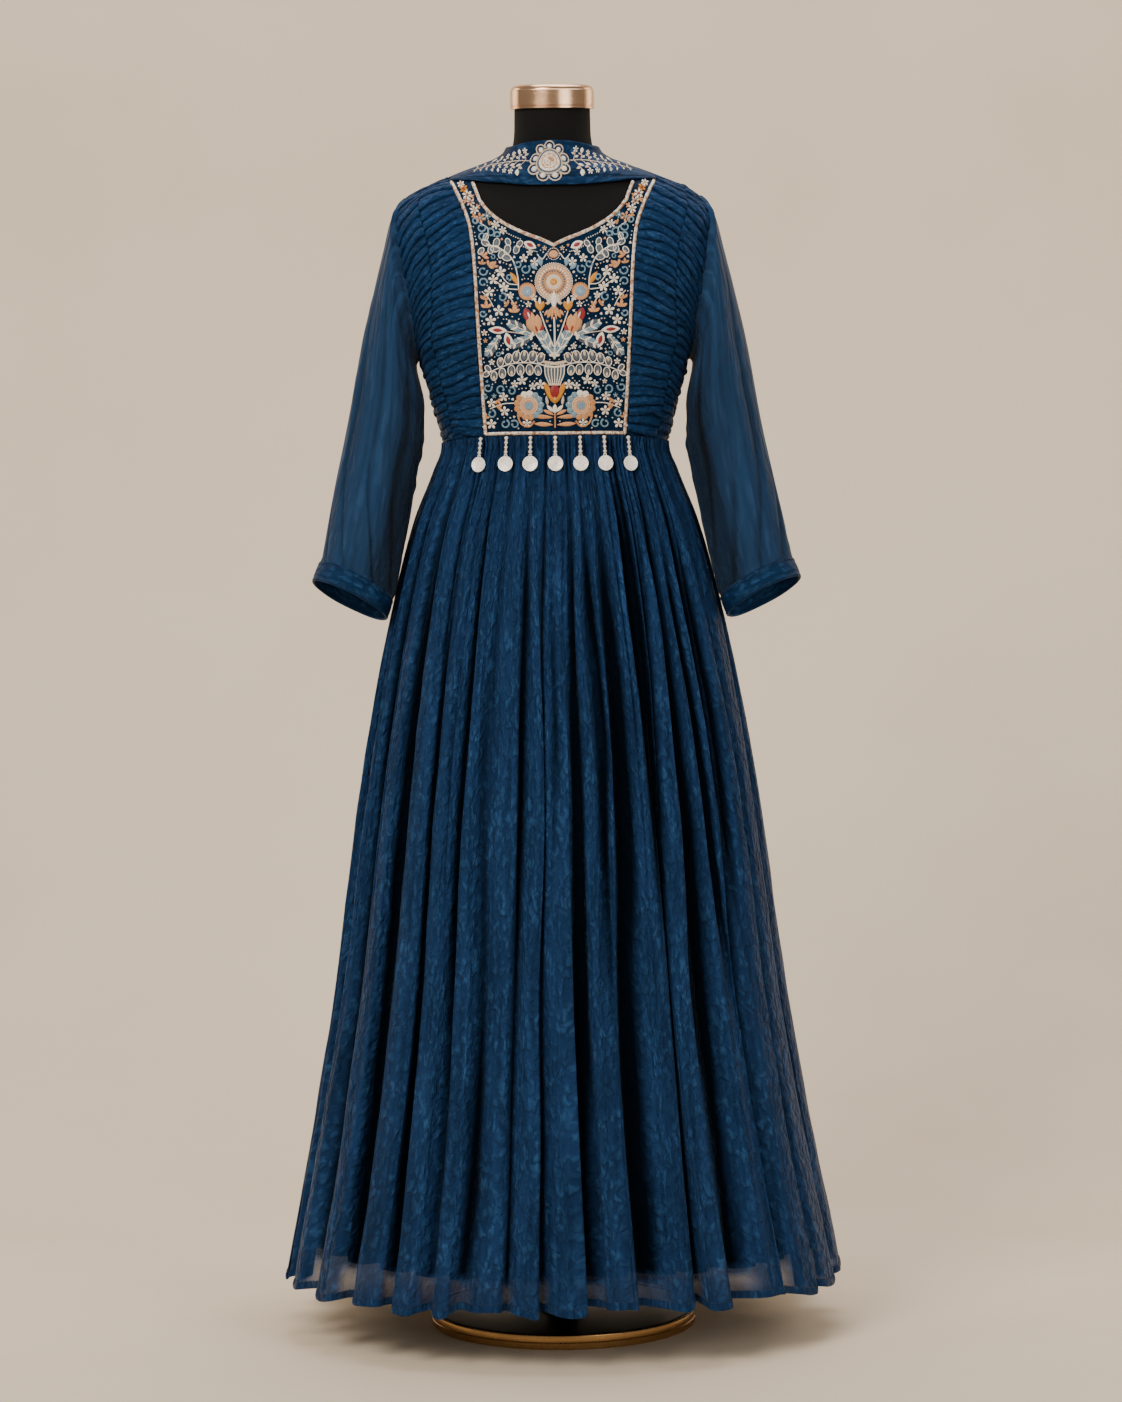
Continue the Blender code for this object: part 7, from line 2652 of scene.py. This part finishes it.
@dataclass
class CoinDrops:
    """Seven coin drops along the yoke's foot, each on its own bead string."""

    body: WornBody
    skirt: Skirt
    stations_mm: tuple[float, ...] = (-90.0, -59.0, -30.0, 0.0, 30.0, 59.0, 88.0)
    bead_radius: float = 2.4 * MM
    bead_pitch: float = 5.8 * MM
    beads: int = 4
    coin_radius: float = 9.4 * MM
    coin_thick: float = 1.5 * MM
    centre_drop: float = 32.0 * MM
    hang: float = 2.0 * MM        # from the waist seam down to the top bead
    stand_off: float = 2.7 * MM   # from the worn surface out to the beads
    skirt_gap: float = 1.0 * MM
    loop_radius: float = 1.7 * MM
    loop_wire: float = 0.45 * MM
    thread_wire: float = 0.35 * MM
    link: float = 1.2 * MM        # from the coin's edge up to its loop's middle
    dots: int = 18
    petals: int = 6

    def place(self, x: float) -> Matrix:
        """Work out where a drop hangs: turned with the body and leaned with the skirt.

        Args:
            x: Its place from the middle.

        Returns:
            The move from the origin to its top bead's middle.
        """
        body = self.body
        angle = float(body.angle_at(WAIST_FRONT_Z, x))
        top_z = float(body.waist_height(angle)) - self.hang
        top = body.place(top_z, angle, self.stand_off + self.bead_radius)
        normal = top - body.place(top_z, angle, 0.0)
        turn = math.atan2(normal[0], -normal[1])
        low = self.skirt.point(np.array(top_z - self.centre_drop - self.coin_radius),
                               np.array(angle), np.array(0.0))
        ahead = np.array([math.sin(turn), -math.cos(turn), 0.0])
        reach = float((low - top) @ ahead) + self.coin_thick / 2 + self.skirt_gap
        lean = math.asin(max(reach, 0.0) / (self.centre_drop + self.coin_radius))
        return (Matrix.Translation(Vector(top)) @ Matrix.Rotation(turn, 4, "Z")
                @ Matrix.Rotation(-lean, 4, "X"))

    def build(self) -> None:
        """Make the seven drops."""
        for index, station in enumerate(self.stations_mm):
            where = self.place(station * MM)
            number = index + 1
            coin = self.coin(number)
            string = self.string(number, station)
            for item in (coin, string):
                item.data.transform(where)
            dress(coin, COIN_SILVER, "drop_%d" % number, "coin_silver", "coin_drop_%d" % number)
            dress(string, GLASS_PEARL, "drop_%d" % number, "coin_silver")

    def coin(self, number: int) -> bpy.types.Object:
        """Stamp one coin: a raised rim, a ring of dots and a plain six-petalled flower.

        Args:
            number: The drop's number, which turns the flower a little.

        Returns:
            The coin, hanging below the origin.
        """
        thick, radius = self.coin_thick / 2, self.coin_radius
        profile = ((0.0, thick * 0.62), (radius * 0.80, thick * 0.62), (radius * 0.86, thick),
                   (radius * 0.96, thick), (radius, thick * 0.6), (radius, -thick * 0.6),
                   (radius * 0.96, -thick), (radius * 0.86, -thick), (radius * 0.80, -thick * 0.62),
                   (0.0, -thick * 0.62))
        item = lathe("coin_drop_%d_coin" % number, profile, 40)
        stamped = [item]
        for side in (1, -1):
            work = Needlework(lambda x, z, height, side=side: np.stack(
                [side * x, z, side * (thick * 0.62 + height)], axis=-1))
            for k in range(self.dots):
                work.pearl(rays(math.tau * k / self.dots) * 6.4, 0.42)
            for k in range(self.petals):
                ray = rays(math.tau * k / self.petals + number * 0.4)
                work.leaf(GLASS_PEARL, ray * 0.9, ray * 4.8, 2.4, 0.5, 1.2)
            work.disc(GLASS_PEARL, (0.0, 0.0), 1.1, 0.7, 8)
            stamped.append(work.mesh(GLASS_PEARL, "stamp"))
        loop = lathe("loop", self.loop_profile(), 20)
        loop.data.transform(Matrix.Translation((0.0, radius + self.link, 0.0)))
        stamped.append(loop)
        join_into(item, stamped[1:])
        item.data.transform(Matrix.Rotation(QUARTER, 4, "X"))
        item.data.transform(Matrix.Translation((0.0, 0.0, -self.centre_drop)))
        return item

    def loop_profile(self) -> list[tuple[float, float]]:
        """The round section of the small ring that carries the coin."""
        return [(self.loop_radius + self.loop_wire * math.cos(t), self.loop_wire * math.sin(t))
                for t in np.linspace(0, math.tau, 9)]

    def string(self, number: int, station: float) -> bpy.types.Object:
        """Thread one bead string: four round pearls with small spacers between them.

        Args:
            number: The drop's number.
            station: Where it hangs, which makes its beads uneven.

        Returns:
            The string, hanging from its top bead's middle.
        """
        made = []
        uneven = np.random.default_rng(abs(int(station)) + 5).uniform(0.92, 1.06, self.beads * 2)
        foot = -(self.centre_drop - self.coin_radius - self.link)
        for bead in range(self.beads):
            made.append(self.bead(-bead * self.bead_pitch, self.bead_radius * uneven[bead], 0.92))
            gap = -(bead + 0.5) * self.bead_pitch
            if gap > foot:
                made.append(self.bead(gap, self.bead_radius * 0.58 * uneven[bead + 4], 0.8))
        thread = lathe("thread", ((self.thread_wire, 1.0 * MM), (self.thread_wire, foot)), 6)
        made.append(thread)
        first = made[0]
        first.name = "coin_drop_%d_beads" % number
        join_into(first, made[1:])
        return first

    def bead(self, z: float, radius: float, tall: float) -> bpy.types.Object:
        """Turn one bead about its thread, so many times as tall as wide."""
        return lathe("bead", [(radius * math.sin(t), z + radius * tall * math.cos(t))
                              for t in np.linspace(0, math.pi, 9)], 14)


def join_into(first: bpy.types.Object, others: Sequence[bpy.types.Object]) -> None:
    """Add other objects' meshes to the first one and remove those objects.

    Args:
        first: The object that is kept.
        others: Those that go into it.
    """
    with edited(first) as work:
        for other in others:
            work.from_mesh(other.data)
            bpy.data.objects.remove(other)
    first.data.shade_smooth()


# ---- Dress form and stand -----------------------------------------------------------------


@dataclass
class DressForm:
    """The smooth limbless jersey form, its brass cap, and the stand under it."""

    body: WornBody
    gap: float = 2.8 * MM
    gap_shoulder: float = 2.0 * MM
    arm_inset: float = 6.0 * MM
    neck_z: float = 1.5277
    foot_z: float = 0.862
    cap_radius: float = 52.5 * MM
    cap_z: float = 1.528
    cap_height: float = 30.0 * MM
    pole_radius: float = 16.0 * MM
    base_radius: float = 167.0 * MM
    base_height: float = 17.6 * MM
    rim_wall: float = 3.6 * MM
    sides: int = 128
    # The torso's rounded foot, downwards: height, offset in millimetres
    foot_rings: tuple[tuple[float, float], ...] = (
        (0.875, -1.0), (0.8655, -7.0), (0.862, -16.0))

    def build(self) -> None:
        """Make the torso and the stand."""
        self.torso()
        self.cap()
        self.stand()

    def torso(self) -> None:
        """Make the torso, closed at its hip and at the top of its neck."""
        z = np.concatenate([np.linspace(0.880, 1.40, 90), np.linspace(1.404, self.neck_z, 60)])
        angle = np.linspace(0, math.tau, self.sides + 1)[None, :]
        part = np.clip((z - 1.385) / 0.03, 0, 1) * np.clip((1.458 - z) / 0.018, 0, 1)
        out = CLOTH_IN - self.gap + (self.gap - self.gap_shoulder) * part
        arm = self.arm_inset * np.clip((z - 1.22) / 0.05, 0, 1) * np.clip((1.430 - z) / 0.03, 0, 1)
        rings = self.body.place(z[:, None] + 0 * angle, angle + 0 * z[:, None], out[:, None],
                                arm[:, None])
        foot = [self.body.place(np.array(height) + 0 * angle[0], angle[0], CLOTH_IN - self.gap
                                + inset * MM)
                for height, inset in self.foot_rings]
        for ring in foot:
            ring[:, 2] = ring[:, 2].mean()
        foot[-1][:, 2] = self.foot_z
        rings[-1, :, 2] = self.neck_z
        middle = [foot[-1] * (share, share, 1.0) for share in (0.001, 0.5)]
        top = [rings[-1] * (share, share, 1.0) for share in (0.6, 0.001)]
        grid = np.stack(middle + foot[::-1] + list(rings) + top)
        grid[:, -1] = grid[:, 0]
        item = grid_object("form_torso_jersey", grid, row=60, weld=True)
        turn_out(item)
        item.data.set_sharp_from_angle(angle=math.radians(50))
        dress(item, FORM_JERSEY, DRESS, "form_jersey", "form_torso")

    def cap(self) -> None:
        """Spin the neck cap: a straight wall, a stepped shoulder and a shallow top."""
        r, z, tall = self.cap_radius, self.cap_z, self.cap_height
        profile = ((0.0, z + tall), (r - 22 * MM, z + tall), (r - 9 * MM, z + tall - 0.4 * MM),
                   (r - 5 * MM, z + tall - 1.4 * MM), (r - 2.6 * MM, z + tall - 3.2 * MM),
                   (r - 1.4 * MM, z + tall - 5.2 * MM), (r - 1.1 * MM, z + tall - 6.6 * MM),
                   (r - 0.3 * MM, z + tall - 7.2 * MM), (r - 0.2 * MM, z + 4.2 * MM),
                   (r - 1.0 * MM, z + 3.7 * MM), (r - 1.0 * MM, z + 2.9 * MM),
                   (r, z + 2.4 * MM), (r, z + 0.5 * MM), (r - 0.5 * MM, z), (0.0, z))
        dress(lathe("neck_cap_spun", profile, 96), CAP_BRASS, DRESS, "cap_brass", "neck_cap")

    def stand(self) -> None:
        """Make the pole with its flanges, the enamelled base and its brass rim."""
        foot, top, r = self.base_height + SEAM, self.foot_z - SEAM, self.pole_radius
        pole = ((0.0, top), (r - 0.4 * MM, top), (r, top - 0.4 * MM), (r, 0.520),
                (r - 0.8 * MM, 0.519), (r - 0.8 * MM, 0.516), (r, 0.515), (r, foot), (0.0, foot))
        dress(lathe("stand_pole_tube", pole, 64), POLE_ENAMEL, DRESS, "pole_black", "stand_pole")
        collar = ((r + 0.1 * MM, foot + 14 * MM), (r + 3 * MM, foot + 13 * MM),
                  (r + 5 * MM, foot + 5 * MM), (r + 14 * MM, foot + 2.4 * MM),
                  (r + 15 * MM, foot + 0.6 * MM), (r + 0.1 * MM, foot + 0.2 * MM))
        dress(lathe("base_flange", collar, 64), POLE_ENAMEL, DRESS, "pole_black")
        inside, tall = self.base_radius - self.rim_wall - SEAM, self.base_height
        plate = ((0.0, tall), (inside - 5 * MM, tall - 0.1 * MM),
                 (inside - 2 * MM, tall - 0.5 * MM), (inside - 0.6 * MM, tall - 1.4 * MM),
                 (inside, tall - 2.6 * MM), (inside, 0.4 * MM), (inside - 1 * MM, 0.0), (0.0, 0.0))
        dress(lathe("base_plate_enamelled", plate, 144), BASE_ENAMEL, DRESS, "base_black",
              "base_plate")
        inner, outer = self.base_radius - self.rim_wall, self.base_radius
        rim = ((inner, 0.0), (inner, tall - 0.6 * MM), (inner + 0.6 * MM, tall),
               (outer - 1.2 * MM, tall), (outer - 0.3 * MM, tall - 0.5 * MM),
               (outer, tall - 1.4 * MM), (outer, tall * 0.52), (outer - 0.5 * MM, tall * 0.48),
               (outer, tall * 0.44), (outer, 0.8 * MM), (outer - 0.8 * MM, 0.0), (inner, 0.0))
        dress(lathe("base_rim_brass", rim, 144), RIM_BRASS, DRESS, "rim_brass", "base_rim")


# ---- Stage --------------------------------------------------------------------------------


@dataclass
class Studio:
    """The pale floor and backdrop, the soft lights and the camera."""

    camera_place: tuple[float, float, float] = (0.004, -5.93, 1.334)
    pitch: float = -5.24          # degrees from level
    roll: float = -0.546          # degrees
    lens: float = 121.77          # mm on a 36 mm high frame
    # Soft boxes: name, place, height aimed at, side, watts, colour
    lamps: tuple[tuple[str, tuple[float, float, float], float, float, float, str], ...] = (
        ("key", (-1.5, -2.6, 2.8), 1.3, 1.5, 104.0, "#FFF6EA"),
        ("fill", (2.6, -3.6, 2.2), 1.1, 2.2, 62.0, "#FFF9F2"),
        ("top", (0.2, 0.6, 3.6), 0.9, 2.0, 60.0, "#FFFFFF"),
        ("rim_left", (-2.2, 1.4, 2.1), 0.9, 1.2, 14.0, "#FFF1DE"),
        ("rim_right", (2.2, 1.4, 2.1), 0.9, 1.2, 14.0, "#FFF1DE"),
    )
    sky: str = "#F3EBE0"
    sky_strength: float = 0.35
    paper_half: float = 20.0      # half the paper's width
    paper_reach: float = 30.0     # how far it runs in front and behind
    paper_drop: float = 0.5 * MM  # how far it lies under the base
    sweep_y: float = 0.6          # where it starts to turn up
    sweep: float = 1.6            # the radius of that turn
    paper_top: float = 6.0

    def build(self) -> None:
        """Make the stage, the lights and the camera."""
        self.backdrop()
        for lamp in self.lamps:
            self.lamp(*lamp)
        world = bpy.data.worlds.new("studio")
        world.use_nodes = True
        sky = world.node_tree.nodes["Background"]
        sky.inputs["Color"].default_value = linear(self.sky)
        sky.inputs["Strength"].default_value = self.sky_strength
        bpy.context.scene.world = world
        self.camera()

    def backdrop(self) -> None:
        """Sweep the paper from the floor up behind the form; from behind it doesn't show."""
        start, reach, low = self.sweep_y, self.sweep, self.paper_drop
        profile = [(-self.paper_reach, 0.0), (start, 0.0)]
        profile += [(start + reach * math.sin(t), reach - reach * math.cos(t))
                    for t in np.linspace(0, QUARTER, 17)]
        profile.append((start + reach, self.paper_top))
        self.paper("seamless_backdrop", profile)
        self.paper("floor_behind", [(start, -low), (self.paper_reach, -low)])

    def paper(self, name: str, profile: Sequence[tuple[float, float]]) -> None:
        """Lay one sheet of paper that faces up and forwards.

        Args:
            name: What it is called.
            profile: Its places from front to back, with their heights.
        """
        across = np.linspace(-self.paper_half, self.paper_half, 41)
        grid = np.array([[(x, y, z - self.paper_drop) for x in across] for y, z in profile])
        item = grid_object(name, grid, row=0)
        if item.data.polygons[0].normal.z < 0:
            item.data.flip_normals()
        item.data.materials.append(PALE_PAPER.material())

    def lamp(self, name: str, place: Sequence[float], aim: float, size: float,
             power: float, colour: str) -> None:
        """Hang one soft square lamp.

        Args:
            name: What it is called.
            place: Where it hangs.
            aim: The height on the upright axis that it points at.
            size: The side of its soft box.
            power: Its watts.
            colour: Its light's colour.
        """
        data = bpy.data.lights.new(name, "AREA")
        data.shape, data.size, data.energy = "SQUARE", size, power
        data.color = linear(colour)[:3]
        item = bpy.data.objects.new(name, data)
        item.location = place
        away = Vector((0.0, 0.0, aim)) - Vector(place)
        item.rotation_euler = away.to_track_quat("-Z", "Y").to_euler()
        bpy.context.scene.collection.objects.link(item)

    def camera(self) -> None:
        """Set up the camera."""
        data = bpy.data.cameras.new("camera")
        data.sensor_fit = "VERTICAL"
        data.sensor_height = 36.0
        data.lens = self.lens
        item = bpy.data.objects.new("camera", data)
        item.matrix_world = (Matrix.Translation(self.camera_place)
                             @ Matrix.Rotation(math.radians(90 + self.pitch), 4, "X")
                             @ Matrix.Rotation(math.radians(self.roll), 4, "Z"))
        bpy.context.scene.collection.objects.link(item)
        bpy.context.scene.camera = item


def main() -> None:
    """Build the scene's pieces in order."""
    logging.basicConfig(level=logging.INFO, format="%(message)s")
    body = WornBody()
    seams = Seams(body)
    skirt = Skirt(body)
    Studio().build()
    DressForm(body).build()
    skirt.build()
    RuchedPanels(body, seams).build()
    Yoke(body, seams).build()
    CollarBand(body).build()
    for side, name in ((1, "left"), (-1, "right")):
        Sleeve(body, side, name).build()
    CoinDrops(body, skirt).build()
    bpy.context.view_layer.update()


if __name__ == "__main__":
    main()
